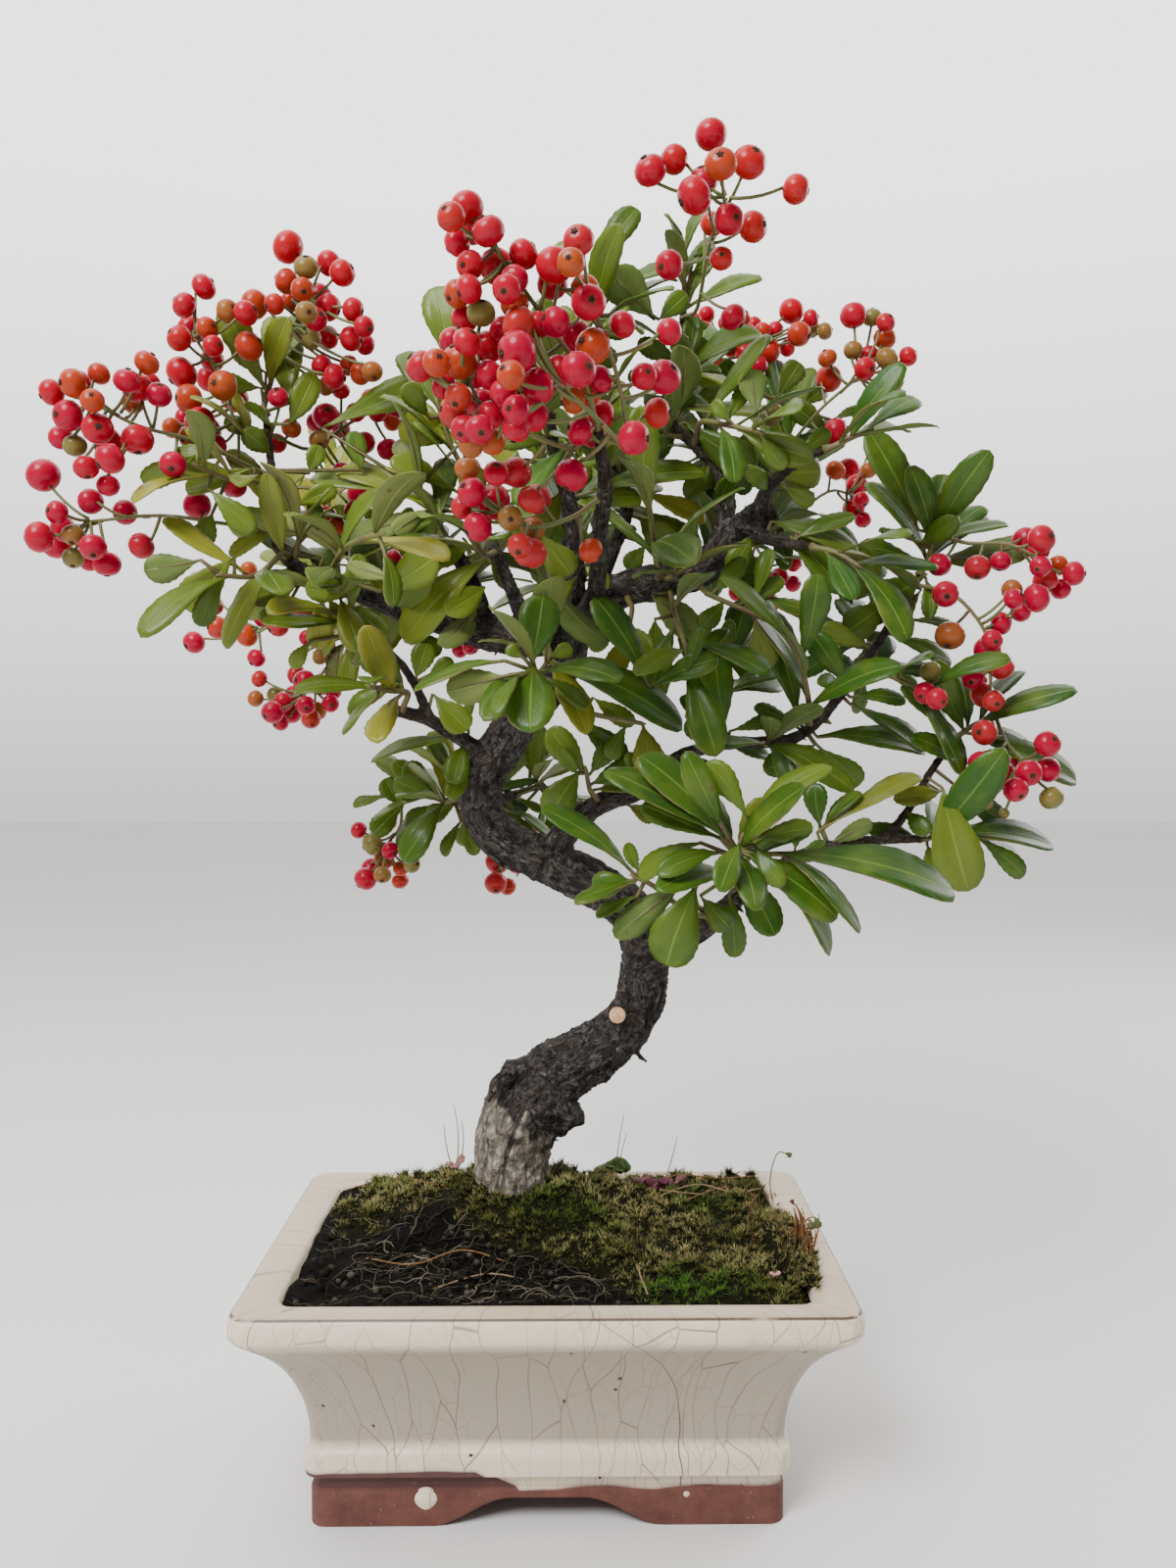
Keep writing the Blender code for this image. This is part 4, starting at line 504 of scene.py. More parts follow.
# Berries as the photograph shows them: what carries them, then the X and Y in the picture of each, its
# radius there and how ripe it is (below zero for a small green one)
BERRIES_SEEN = {
    "bunch_far_left": [
        (65, 398, 14, 1.0), (75, 397, 11, 0.1), (88, 394, 11, 0.6), (107, 386, 11, 0.6),
        (100, 413, 12, 0.5), (75, 428, 16, 1.0), (105, 441, 16, 1.0), (68, 450, 13, 1.0),
        (82, 458, 12, 0.1), (79, 466, 12, 1.0), (93, 480, 13, 1.0), (117, 471, 16, 1.0),
        (115, 498, 12, 0.9), (145, 452, 17, 1.0), (135, 393, 14, 1.0), (141, 415, 11, 0.4),
        (155, 375, 13, 0.5), (157, 395, 10, 0.9), (167, 407, 13, 1.0),
    ],
    "bunch_left_low": [
        (50, 488, 17, 1.0), (63, 525, 12, 0.9), (45, 550, 16, 1.0), (62, 556, 16, 1.0), (79, 548, 8, 0.2),
        (79, 571, 10, 0.1), (99, 560, 14, 1.0), (95, 574, 11, 1.0), (113, 577, 14, 1.0),
    ],
    "bunch_left_up": [
        (190, 385, 17, 1.0), (197, 411, 15, 0.5), (218, 391, 13, 0.9), (243, 410, 15, 1.0),
        (215, 443, 15, 0.8), (180, 440, 10, 0.4), (193, 430, 10, 0.9), (197, 450, 9, 0.4),
        (225, 457, 11, 1.0), (213, 299, 13, 1.0), (182, 314, 15, 1.0), (194, 311, 11, 0.9),
        (200, 341, 14, 1.0), (216, 340, 11, 0.5), (222, 358, 11, 0.9), (237, 323, 12, 0.3),
        (255, 325, 13, 1.0), (258, 358, 15, 0.6),
    ],
    "bunch_left_top": [
        (298, 259, 17, 1.0), (320, 279, 12, 0.6), (296, 293, 13, 0.6), (312, 301, 12, 0.5),
        (284, 316, 10, 0.7), (301, 313, 10, 0.6), (316, 324, 11, 0.2), (338, 319, 14, 1.0),
        (363, 321, 12, 1.0), (321, 351, 10, 0.1), (338, 349, 12, 0.9), (361, 350, 13, 0.9),
        (374, 338, 9, 0.9), (375, 356, 9, 1.0), (331, 377, 11, 1.0), (344, 388, 13, 1.0),
        (336, 397, 11, 0.3), (358, 377, 9, 0.6), (370, 385, 12, 0.5), (382, 383, 8, 0.3),
    ],
    "bunch_left_near": [
        (414, 396, 10, 0.6), (408, 415, 14, 0.9), (287, 409, 10, 0.9), (300, 440, 9, 0.4),
        (325, 434, 9, 0.9), (350, 440, 10, 0.9), (365, 424, 9, 1.0), (387, 424, 9, 0.9),
        (402, 433, 9, 0.5), (328, 452, 9, 0.2), (398, 461, 12, 0.9), (285, 455, 8, 0.9),
        (350, 484, 10, 1.0), (370, 505, 15, 0.9), (395, 512, 11, 0.9), (363, 522, 10, 0.9),
        (335, 527, 9, 0.9), (345, 539, 8, 0.5), (372, 482, 11, 1.0),
    ],
    "shoot_left_back": [
        (388, 572, 10, 0.9), (411, 561, 8, 0.8), (419, 575, 9, 0.9), (404, 571, 9, 0.8),
        (365, 596, 8, 0.9), (385, 598, 8, 0.5), (400, 600, 7, 0.6), (374, 573, 7, 0.9),
        (470, 663, 8, 0.9), (481, 660, 6, 0.9),
    ],
    "bunch_hang_left": [
        (200, 656, 12, 1.0), (221, 619, 10, 1.0), (224, 641, 12, 0.6), (248, 647, 11, 1.0),
        (245, 632, 9, 1.0), (265, 646, 15, 1.0), (288, 632, 9, 0.9), (302, 620, 9, 0.9),
        (263, 672, 10, 1.0), (256, 582, 8, 0.4),
    ],
    "bunch_hang_low": [
        (266, 693, 8, 0.7), (262, 713, 9, 0.3), (282, 709, 8, 0.1), (279, 727, 12, 1.0),
        (301, 709, 10, 1.0), (307, 692, 10, 1.0), (299, 736, 11, 0.6), (318, 734, 10, 0.6),
        (315, 651, 9, 0.9), (328, 670, 9, 0.2), (328, 702, 8, 0.9), (341, 706, 8, 0.9),
        (338, 718, 8, 0.9), (352, 695, 8, 0.8), (287, 737, 9, 0.9), (313, 720, 10, 0.9),
    ],
    "bunch_low_left": [
        (366, 847, 9, 0.8), (372, 866, 12, 1.0), (388, 864, 11, 0.9), (379, 886, 11, 1.0),
        (395, 881, 9, 0.4), (398, 868, 8, 0.9), (390, 893, 8, 0.2), (412, 866, 10, 0.9),
        (409, 886, 8, 0.5), (408, 899, 8, 0.6), (420, 882, 7, 0.1),
    ],
    "bunch_behind_trunk": [
        (505, 894, 10, 0.9), (518, 905, 8, 0.6), (539, 844, 8, 0.9), (541, 853, 8, 0.9),
        (523, 840, 6, 0.9),
    ],
    "bunch_centre_top": [
        (462, 228, 14, 0.7), (486, 212, 15, 1.0), (468, 254, 8, 1.0), (491, 253, 19, 0.9),
        (484, 240, 16, 0.9), (481, 276, 15, 1.0), (468, 305, 14, 0.5), (480, 300, 9, 1.0),
        (535, 265, 16, 1.0), (526, 290, 13, 1.0), (518, 300, 9, 1.0),
    ],
    "bunch_centre_right": [
        (583, 273, 13, 0.4), (597, 300, 15, 0.5), (564, 295, 16, 1.0), (567, 333, 16, 0.9),
        (588, 355, 19, 0.9), (605, 357, 19, 0.5), (572, 383, 18, 0.9), (612, 390, 14, 0.9),
        (600, 403, 15, 0.5), (585, 411, 11, 0.4), (613, 427, 16, 1.0), (592, 442, 15, 1.0),
        (605, 446, 13, 1.0), (657, 387, 14, 0.9), (635, 335, 7, 0.9), (682, 342, 8, 0.9),
    ],
    "bunch_centre_mid": [
        (526, 315, 15, 0.5), (530, 336, 19, 0.7), (514, 341, 13, 0.9), (549, 336, 12, 0.9),
        (536, 368, 16, 0.9), (522, 386, 12, 0.5), (546, 381, 14, 0.9), (549, 406, 13, 0.8),
        (500, 386, 15, 1.0), (514, 405, 14, 1.0), (527, 421, 13, 0.9), (527, 441, 12, 0.9),
        (502, 426, 12, 1.0),
    ],
    "bunch_centre_left": [
        (475, 330, 12, 0.9), (492, 324, 10, 0.1), (463, 352, 9, 1.0), (478, 353, 10, 1.0),
        (447, 374, 10, 0.5), (467, 374, 13, 1.0), (499, 358, 17, 1.0), (485, 386, 14, 1.0),
        (455, 397, 11, 1.0), (469, 408, 11, 0.6), (457, 421, 9, 0.1), (475, 440, 11, 1.0),
        (481, 456, 12, 0.3), (503, 453, 11, 0.4), (490, 441, 9, 1.0),
    ],
    "bunch_centre_low": [
        (478, 480, 11, 0.3), (507, 485, 12, 0.9), (473, 519, 13, 0.8), (504, 511, 15, 0.9),
        (543, 517, 16, 1.0), (521, 530, 11, 0.2), (544, 541, 10, 0.3), (531, 558, 11, 0.7),
    ],
    "bunch_top": [
        (724, 145, 17, 0.9), (687, 170, 15, 0.8), (663, 181, 17, 1.0), (766, 170, 18, 0.9),
        (707, 206, 20, 0.9), (810, 199, 15, 0.8), (726, 235, 18, 0.9), (760, 226, 16, 0.7),
    ],
    "bunch_back_top": [
        (740, 333, 8, 0.7), (756, 328, 9, 0.6), (738, 348, 8, 0.8), (745, 359, 7, 0.6),
        (768, 335, 8, 1.0), (777, 341, 8, 0.6), (755, 346, 6, 0.2), (768, 355, 12, 1.0),
        (784, 361, 12, 0.7), (790, 340, 9, 1.0), (806, 321, 17, 1.0), (826, 328, 9, 0.9),
        (827, 339, 8, 0.1), (814, 344, 13, 0.6), (840, 341, 9, 0.2), (802, 358, 8, 1.0),
        (773, 376, 10, 1.0), (728, 372, 8, 1.0), (738, 379, 7, 1.0), (720, 325, 9, 1.0),
        (706, 331, 7, 1.0),
    ],
    "bunch_right_top": [
        (869, 325, 14, 0.9), (888, 327, 9, 0.1), (902, 332, 10, 0.8), (901, 348, 12, 0.5),
        (885, 365, 9, 0.9), (869, 360, 8, 0.2), (843, 368, 10, 0.4), (901, 376, 14, 1.0),
        (878, 388, 14, 0.9), (912, 391, 7, 0.2), (893, 407, 9, 0.9), (913, 410, 11, 0.9),
        (925, 366, 9, 0.9),
    ],
    "bunch_right_hang": [
        (890, 459, 8, 0.9), (865, 480, 12, 0.9), (847, 486, 9, 1.0), (885, 481, 7, 0.3),
        (875, 499, 9, 0.9), (878, 511, 9, 0.9), (880, 531, 9, 0.9), (860, 548, 8, 0.9),
    ],
    "bunch_right_back": [
        (810, 575, 8, 1.0), (809, 596, 9, 0.9), (751, 605, 6, 0.9), (765, 612, 6, 0.4),
        (762, 631, 8, 0.8), (782, 542, 9, 1.0),
    ],
    "bunch_far_right": [
        (1072, 541, 17, 1.0), (1058, 550, 10, 0.1), (1060, 562, 11, 0.9), (1080, 577, 11, 0.5),
        (1062, 578, 11, 1.0), (1074, 592, 12, 0.5), (1083, 601, 11, 1.0), (1021, 573, 11, 1.0),
    ],
    "bunch_far_right_low": [
        (1058, 610, 15, 1.0), (1042, 624, 11, 1.0), (1033, 602, 8, 0.3), (1035, 611, 9, 1.0),
        (1022, 636, 12, 0.9), (1013, 653, 11, 0.8), (1001, 665, 12, 0.6), (1005, 677, 10, 0.6),
        (994, 693, 11, 0.9), (1020, 691, 14, 1.0), (1015, 715, 10, 0.7),
    ],
    "shoot_branch_side": [(945, 707, 12, 0.9), (957, 713, 9, 0.8), (950, 685, 9, 0.1)],
    "bunch_right_low": [
        (1071, 759, 14, 1.0), (1003, 780, 14, 0.9), (1052, 789, 14, 1.0), (1039, 806, 13, 0.9),
        (1043, 776, 9, 0.9), (1009, 821, 6, -1.0), (1027, 830, 6, -1.0),
    ],
}
# Small leafy spurs that fill the crown: what carries them, from and to which share of it, and how many
SPURS = {
    "left": (0.35, 1.0, 5), "right": (0.3, 1.0, 2), "high": (0.2, 0.9, 4), "inner": (0.4, 1.0, 2),
    "middle": (0.4, 1.0, 2), "low_right": (0.45, 1.0, 2), "low_left_back": (0.4, 1.0, 4),
    "trunk_back": (0.5, 1.0, 4), "back_left": (0.3, 1.0, 9), "back_right": (0.3, 1.0, 8),
    "back": (0.25, 1.0, 9), "shoot_inner_top": (0.2, 1.0, 2), "shoot_back_top": (0.2, 1.0, 3),
}

# Form of the fine leaf: shares of its length and of its half width
LEAF_OUTLINE = (
    (0.0, 0.07), (0.08, 0.12), (0.18, 0.3), (0.3, 0.54), (0.45, 0.82), (0.58, 0.97), (0.66, 1.0),
    (0.76, 0.97), (0.85, 0.86), (0.92, 0.67), (0.965, 0.46), (0.99, 0.24), (1.0, 0.0),
)
LEAF_CELLS = (4, 16)
LEAF_SHEET = 0.4
TOOTH = 0.22
# The least and the most width of a leaf in view, as shares of its length
LEAF_NARROW = 0.33
LEAF_BROAD = 0.62
# How a leaf in view is moved along the line of sight until it has room: whole, then its tip
LEAF_MOVES = (0, -5, 5, -10, 10)
TIP_MOVES = (0, -6, 6, -12, 12)
BERRY_MOVES = (0, -4, 4, -8, 8, -12, 12, -16, 16)
BERRY_RADII_SEEN = (3.0, 4.5)
# Form of the fine berry, in shares of its radius: the dips at its ends and the sepals
DIP_ANGLE = 0.5
SEPAL_DIP = 0.12
STALK_DIP = 0.08
SEPAL_RADII = {"radius1": 0.13, "radius2": 0.02}
# How many berries are orange, and how many are orange or green, as shares
ORANGE_SHARE = 0.14
UNRIPE_SHARE = 0.2
# A shoot gets further leaves behind this Y, and a branch is thick wood above this radius
BACK_FROM = 12.0
THICK_FROM = 2.7
# Heights on the trunk: where its pale foot and its gnarls end and where young wood may start
PALE_TOP = 97
GNARL_TOP = 122
YOUNG_FROM = 125
YOUNG_RADIUS = 2.3
# Spurs with leaves, how often a leaf or a berry looks for room, and dead stubs
ROSETTE_LEAVES = (4, 6)
ROSETTE_LENGTHS = (13, 27)
ROSETTE_TRIES = 6
EXTRA_LEAF_TRIES = 10
EXTRA_BERRY_TRIES = 14
STUBS_ON_THICK = 40
STUBS_ON_THIN = 50
STUB_LEAST_RADIUS = 1.4
STUB_LEAST_HEIGHT = 80
# Tones of whole shapes, which their finishes read, and colours from a finish's first to its third
MAT_TONE = (0.3, 0.2, 0.0, 1.0)
BARE_TONE = (0.0, 0.0, 0.0, 1.0)
STEM_TONE = (0.2, 0.0, 0.0, 1.0)
HAIR_TONE = (1.0, 0.1, 0.0, 1.0)
RUST_TONE = (1.0, 0.05, 0.0, 1.0)
# Near black: painted shade in the bark's fissures and in the gaps between its flakes
PAINTED_FISSURE_SHADE = (0.006, 0.0045, 0.004)
CRUMB_COLOURS = ((0.003, 0.002, 0.0015), (0.011, 0.008, 0.006), (0.09, 0.075, 0.06))
ROOT_COLOURS = ((0.018, 0.013, 0.009), (0.3, 0.25, 0.185), (0.012, 0.008, 0.006))
# The moss mat's near-black colours stand for painted shade deep in the moss, under and between the tufts
MAT_PAINTED_SHADE_COLOURS = ((0.003, 0.003, 0.0015), (0.006, 0.008, 0.002), (0.01, 0.008, 0.004))
UNDERSIDE_COLOURS = ((0.1, 0.17, 0.035), (0.19, 0.23, 0.06), (0.38, 0.33, 0.08))


# Routes, the part's rules for leaves and berries, and the photograph's view


def smooth_route(rows, per_span):
    """Rows of X, Y, Z and radius along a smooth curve through the route's own rows."""
    rows = [Vector(row) for row in rows]
    rows = [2 * rows[0] - rows[1]] + rows + [2 * rows[-1] - rows[-2]]
    result = []
    for index in range(1, len(rows) - 2):
        before, start, end, after = rows[index - 1 : index + 3]
        for step in range(per_span):
            t = step / per_span
            curve = 2 * start + (end - before) * t
            curve += (2 * before - 5 * start + 4 * end - after) * t**2
            curve += (3 * start - before - 3 * end + after) * t**3
            result.append(curve / 2)
    result.append(rows[-2])
    return result


def place_on(rows, share):
    """The point and the direction at a share of a route's length."""
    position = share * (len(rows) - 1)
    index = min(int(position), len(rows) - 2)
    start = rows[index].xyz
    end = rows[index + 1].xyz
    return start.lerp(end, position - index), (end - start).normalized()


def nearest_on(rows, target):
    """The nearest point of a route, with its direction, its radius and whether it is the tip."""
    best = None
    for index in range(len(rows) - 1):
        start = rows[index]
        end = rows[index + 1]
        span = end.xyz - start.xyz
        share = clamp((target - start.xyz).dot(span) / span.length_squared)
        row = start.lerp(end, share)
        distance = (row.xyz - target).length
        if best is None or distance < best[0] - 1e-6:
            at_tip = index == len(rows) - 2 and share > 0.999
            best = (distance, row.xyz, span.normalized(), row.w, at_tip)
    return best[1:]


def seated_route(parent_rows, points, radii):
    """A stem's rows, which start just clear of the surface of the branch that carries it."""
    target = Vector(points[0])
    foot, direction, radius, at_tip = nearest_on(parent_rows, target)
    if at_tip:
        outward = direction
        radius = 0.0
    else:
        outward = target - foot
        outward -= direction * outward.dot(direction)
        outward.normalize()
    start = foot + outward * (radius + SEAT_GAP)
    lead = foot + outward * (radius + SEAT_GAP + LEAD)
    route = [start, lead] + [Vector(point) for point in points]
    last = len(route) - 1
    taper = radii[1] - radii[0]
    return [row_at(point, radii[0] + taper * number / last) for number, point in enumerate(route)]


def outward_from(stem, turn):
    """The direction square to a stem at an angle round it."""
    level = stem.cross(UP)
    if level.length < LEVEL_LEAST:
        level = stem.cross(Vector((1, 0, 0)))
    level.normalize()
    return level * math.cos(turn) + stem.cross(level) * math.sin(turn)


def leaned(stem, turn, lean, lift=0.0):
    """The direction of what leans away from its stem, at an angle round it, and lifts a little."""
    direction = stem * math.cos(lean) + outward_from(stem, turn) * math.sin(lean)
    direction.z += lift
    return direction.normalized()


def upper_side(direction, x, y):
    """Where a leaf's upper side looks, unless that would run along the leaf."""
    up = Vector((x, y, 1.0))
    return Vector((0, -1, 0.3)) if abs(direction.dot(up.normalized())) > UP_ALONG else up


def leaf_choice(name, number, attempt, rows, count, length):
    """The root, tip, upper side and width of one leaf, as the part's source draws them."""
    draw = random.Random(f"{name} leaf {number} try {attempt}")
    share = LEAF_FIRST + (1 - LEAF_FIRST) * (number + 0.5) / count
    root, stem = place_on(rows, min(share, LEAF_LAST))
    base = random.Random(name).uniform(0, math.tau)
    turn = base + GOLDEN_ANGLE * number + draw.uniform(-LEAF_TURN, LEAF_TURN) * (1 + attempt / 3)
    lean = LEAF_LEAN - LEAF_LEAN_DROP * share + draw.uniform(-LEAF_LEAN_RANGE, LEAF_LEAN_RANGE)
    direction = leaned(stem, turn, math.radians(lean), LEAF_LIFT)
    size = length * draw.uniform(*LEAF_SIZES) * (1 - LEAF_SHRINK * attempt)
    up = upper_side(direction, draw.uniform(-UP_SIDE, UP_SIDE), draw.uniform(*UP_FRONT))
    width = size * BLADE_WIDTH_SHARE * draw.uniform(*LEAF_WIDTHS)
    return root, root + direction * size, up, width


def berry_choice(name, number, attempt, rows, count, reach):
    """The root, centre and radius of one berry, as the part's source draws them."""
    draw = random.Random(f"{name} berry {number} try {attempt}")
    share = (number + 0.5) / count
    root, stem = place_on(rows, BERRY_FIRST + (1 - BERRY_FIRST) * share**BERRY_CROWD)
    turn = random.Random(name).uniform(0, math.tau) + GOLDEN_ANGLE * number + BERRY_TURN * attempt
    lean = math.radians(BERRY_LEAN * (1 - share) + draw.uniform(*BERRY_LEAN_RANGE))
    radius = BERRY_RADIUS * draw.uniform(*BERRY_SIZES)
    size = reach * draw.uniform(*BERRY_REACHES) + BERRY_STRETCH * attempt
    return root, root + leaned(stem, turn, lean) * size, radius


def own_points(mesh):
    """A mesh's vertices in millimetres in the pot's own frame."""
    return [vertex.co / MM - SHIFT for vertex in mesh.vertices]


def tree_of(points):
    """A tree that finds the nearest of some points."""
    tree = KDTree(len(points))
    for index, point in enumerate(points):
        tree.insert(point, index)
    tree.balance()
    return tree


def seen(x, y, depth):
    """The point at a place in the picture and at a depth."""
    scale = (depth - CAMERA.y) / SIGHT
    return Vector((CAMERA.x + (x - EYE[0]) * scale, depth, CAMERA.z + (EYE[1] - y) * scale))


def picture_place(point):
    """Where the picture shows a point."""
    scale = (point.y - CAMERA.y) / SIGHT
    return Vector((EYE[0] + (point.x - CAMERA.x) / scale, EYE[1] - (point.z - CAMERA.z) / scale))


def nearest_seen(rows, x, y):
    """The row of a route that the picture shows nearest to a place."""
    target = Vector((x, y))
    best = None
    for start, end in zip(rows, rows[1:]):
        for step in range(9):
            row = start.lerp(end, step / 8)
            away = (picture_place(row.xyz) - target).length
            if best is None or away < best[0]:
                best = (away, row)
    return best[1]


def first_kept(name, count, choice, mark):
    """What the CAD node really has: for each number the first choice whose mark is one of its vertices."""
    points = tree_of(own_points(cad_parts[name].data))
    found = []
    for number in range(count):
        for attempt in range(TRIES):
            chosen = choice(number, attempt)
            if points.find(mark(*chosen))[2] < MATCH:
                found.append(chosen)
                break
    return found


def kept_leaves(name, rows, count, length):
    """The leaves that the CAD node of a shoot really has."""

    def choice(number, attempt):
        return leaf_choice(name, number, attempt, rows, count, length)

    def mark(root, tip, up, _):
        along = (tip - root).normalized()
        return tip + along.cross(up).normalized().cross(along) * BLADE_THICK / 2

    return first_kept(name, count, choice, mark)


def kept_berries(name, rows, count, reach):
    """The berries that the CAD node of a bunch really has."""

    def choice(number, attempt):
        return berry_choice(name, number, attempt, rows, count, reach)

    def mark(root, centre, radius):
        return centre + (centre - root).normalized() * radius * BERRY_FACET * BERRY_FLAT

    return first_kept(name, count, choice, mark)


def mound(x, y):
    """The height of the soil, which rises from the rim to the trunk."""
    away = ((x - TRUNK_FOOT[0]) / MOUND_SPREAD[0]) ** 2 + ((y - TRUNK_FOOT[1]) / MOUND_SPREAD[1]) ** 2
    ripple = 0.8 * math.sin(0.16 * x + 1.0) * math.cos(0.19 * y)
    return SOIL_EDGE + (MOUND_TOP - SOIL_EDGE) * math.exp(-away) + ripple


# Building blocks


def clamp(value, low=0.0, high=1.0):
    return max(low, min(high, value))


def solid(create, **settings):
    """A new shape from one of the mesh operators that create a form."""
    shape = bmesh.new()
    create(shape, **settings)
    return shape


def moved(shape, matrix):
    bmesh.ops.transform(shape, matrix=matrix, verts=shape.verts)
    return shape


def fresh_verts(result):
    """The vertices that an operator has made."""
    return [item for item in result["geom"] if isinstance(item, bmesh.types.BMVert)]


def pulled_ring(shape, edges):
    """Pulls a ring of edges out of a shape. Returns the new ring's vertices and edges."""
    result = bmesh.ops.extrude_edge_only(shape, edges=edges)
    verts = fresh_verts(result)
    known = set(verts)
    lines = [item for item in result["geom"] if isinstance(item, bmesh.types.BMEdge)]
    return verts, [edge for edge in lines if known.issuperset(edge.verts)]


def closed(shape, edges=()):
    """Fills the last ring, if there is one, and turns the faces outwards."""
    if edges:
        bmesh.ops.contextual_create(shape, geom=edges)
    bmesh.ops.recalc_face_normals(shape, faces=shape.faces)
    return shape


def mesh_of(name, shape):
    """A shape as a mesh, after which the shape is freed."""
    mesh = bpy.data.meshes.new(name)
    shape.to_mesh(mesh)
    shape.free()
    return mesh


def join(whole, shape):
    """Moves a shape into another."""
    copy = mesh_of("part_of_piece", shape)
    whole.from_mesh(copy)
    bpy.data.meshes.remove(copy)


def object_of(name, data):
    item = bpy.data.objects.new(name, data)
    bpy.context.scene.collection.objects.link(item)
    return item


def row_at(point, radius):
    """One row of a route: a point and its radius."""
    return Vector((*point, radius))


def direction_at(rows, index):
    """The direction of a route at one of its rows."""
    return rows[min(index + 1, len(rows) - 1)].xyz - rows[max(index - 1, 0)].xyz


class Piece:
    """Gathers closed shapes in millimetres into one mesh, with a tone for each of their vertices."""

    def __init__(self, name, materials, slot, replaced=()):
        self.name = name
        self.materials = materials
        self.slot = slot
        self.replaced = replaced
        self.whole = bmesh.new()
        self.whole.verts.layers.float_color.new("tone")
        self.whole.loops.layers.uv.new("UVMap")

    def add(self, shape, tone=None, material=None):
        """Adds a shape and frees it. A tone is one colour, or None where the shape has its own."""
        layer = shape.verts.layers.float_color.get("tone") or shape.verts.layers.float_color.new("tone")
        if tone is not None:
            for vert in shape.verts:
                vert[layer] = tone
        if not shape.loops.layers.uv:
            shape.loops.layers.uv.new("UVMap")
        if material is not None:
            for face in shape.faces:
                face.material_index = material
        join(self.whole, shape)

    def add_tube(self, rows, sides, tone, material):
        self.add(tube(rows, sides), tone, material)

    def done(self, smooth_angle=None):
        """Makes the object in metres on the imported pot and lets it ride."""
        for face in self.whole.faces:
            face.smooth = True
        moved(self.whole, Matrix.Scale(MM, 4) @ Matrix.Translation(SHIFT))
        mesh = mesh_of(self.name, self.whole)
        if smooth_angle is not None:
            mesh.set_sharp_from_angle(angle=smooth_angle)
        for material in self.materials:
            mesh.materials.append(material)
        item = object_of(self.name, mesh)
        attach(item, "root")
        if self.replaced:
            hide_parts(*self.replaced)


def tube(rows, sides):
    """A closed round tube along rows of X, Y, Z and radius, pulled out of a circle."""
    shape = solid(bmesh.ops.create_circle, cap_ends=True, segments=sides, radius=1.0)
    edges = shape.edges[:]
    verts = shape.verts[:]
    old = Matrix.Identity(4)
    turn = None
    for index, row in enumerate(rows):
        ahead = direction_at(rows, index)
        if turn is None:
            turn = ahead.to_track_quat("Z", "Y")
        else:
            turn = (turn @ UP).rotation_difference(ahead) @ turn
            verts, edges = pulled_ring(shape, edges)
        new = Matrix.Translation(row.xyz) @ turn.to_matrix().to_4x4() @ Matrix.Scale(row.w, 4)
        bmesh.ops.transform(shape, matrix=new @ old.inverted(), verts=verts)
        old = new
    return closed(shape, edges)


def bent(start, end, sag, radii, steps):
    """Rows of a thin stalk from one point to another, bowed by a vector at its middle."""
    rows = []
    for step in range(steps + 1):
        share = step / steps
        point = start.lerp(end, share) + sag * 4 * share * (1 - share)
        rows.append(row_at(point, radii[0] + (radii[1] - radii[0]) * share))
    return rows


def spread_at(share):
    """The share of the leaf's half width at a share of its length."""
    for (low, low_width), (high, high_width) in zip(LEAF_OUTLINE, LEAF_OUTLINE[1:]):
        if share <= high:
            return low_width + (high_width - low_width) * (share - low) / (high - low)
    return 0.0


def leaf_blade(root, tip, up, width, draw, cells=LEAF_CELLS):
    """A fine leaf: an obovate, toothed sheet, folded at the midrib and arched, round the CAD blade."""
    span = tip - root
    length = span.length
    along = span / length
    side = along.cross(up).normalized()
    normal = side.cross(along)
    fold = BLADE_FOLD * draw.uniform(0.7, 1.7)
    arch = BLADE_ARCH * draw.uniform(0.5, 1.8)
    roll = draw.uniform(0.0, 0.9)
    twist = draw.uniform(-0.35, 0.35)
    phase = draw.uniform(0, math.tau)
    bow = draw.uniform(-0.03, 0.03) * length
    swell = draw.uniform(0.8, 1.25)
    shape = solid(bmesh.ops.create_grid, x_segments=cells[0], y_segments=cells[1], size=1.0)
    layer = shape.loops.layers.uv.new("UVMap")
    for face in shape.faces:
        for loop in face.loops:
            loop[layer].uv = ((loop.vert.co.x + 1) / 2, (loop.vert.co.y + 1) / 2)
    ends = {0: [], cells[1]: []}
    for vert in shape.verts:
        across = vert.co.x
        station = round((vert.co.y + 1) / 2 * cells[1])
        if station in ends:
            ends[station].append(vert)
        share = 1 - (1 - station / cells[1]) ** 1.3
        half = spread_at(share**swell) * width / 2
        if abs(across) > 0.99 and station % 2 and 0.2 < share < 0.99:
            half += TOOTH
        off = across * half
        lift = arch * length * 4 * share * (1 - share) + fold * abs(off) - roll * across * across * share
        lift += 0.25 * math.sin(phase + 9 * share) * abs(across)
        lift += twist * off * (share - 0.3)
        place = root + along * share * length + side * (off + bow * 4 * share * (1 - share))
        vert.co = place + normal * (lift + LEAF_SHEET / 2)
    for end in ends.values():
        bmesh.ops.pointmerge(shape, verts=end, merge_co=end[0].co)
    result = bmesh.ops.extrude_face_region(shape, geom=shape.faces[:])
    bmesh.ops.translate(shape, verts=fresh_verts(result), vec=-normal * LEAF_SHEET)
    for item in result["geom"]:
        if isinstance(item, bmesh.types.BMFace):
            item.material_index = 1
    return closed(shape), normal, arch


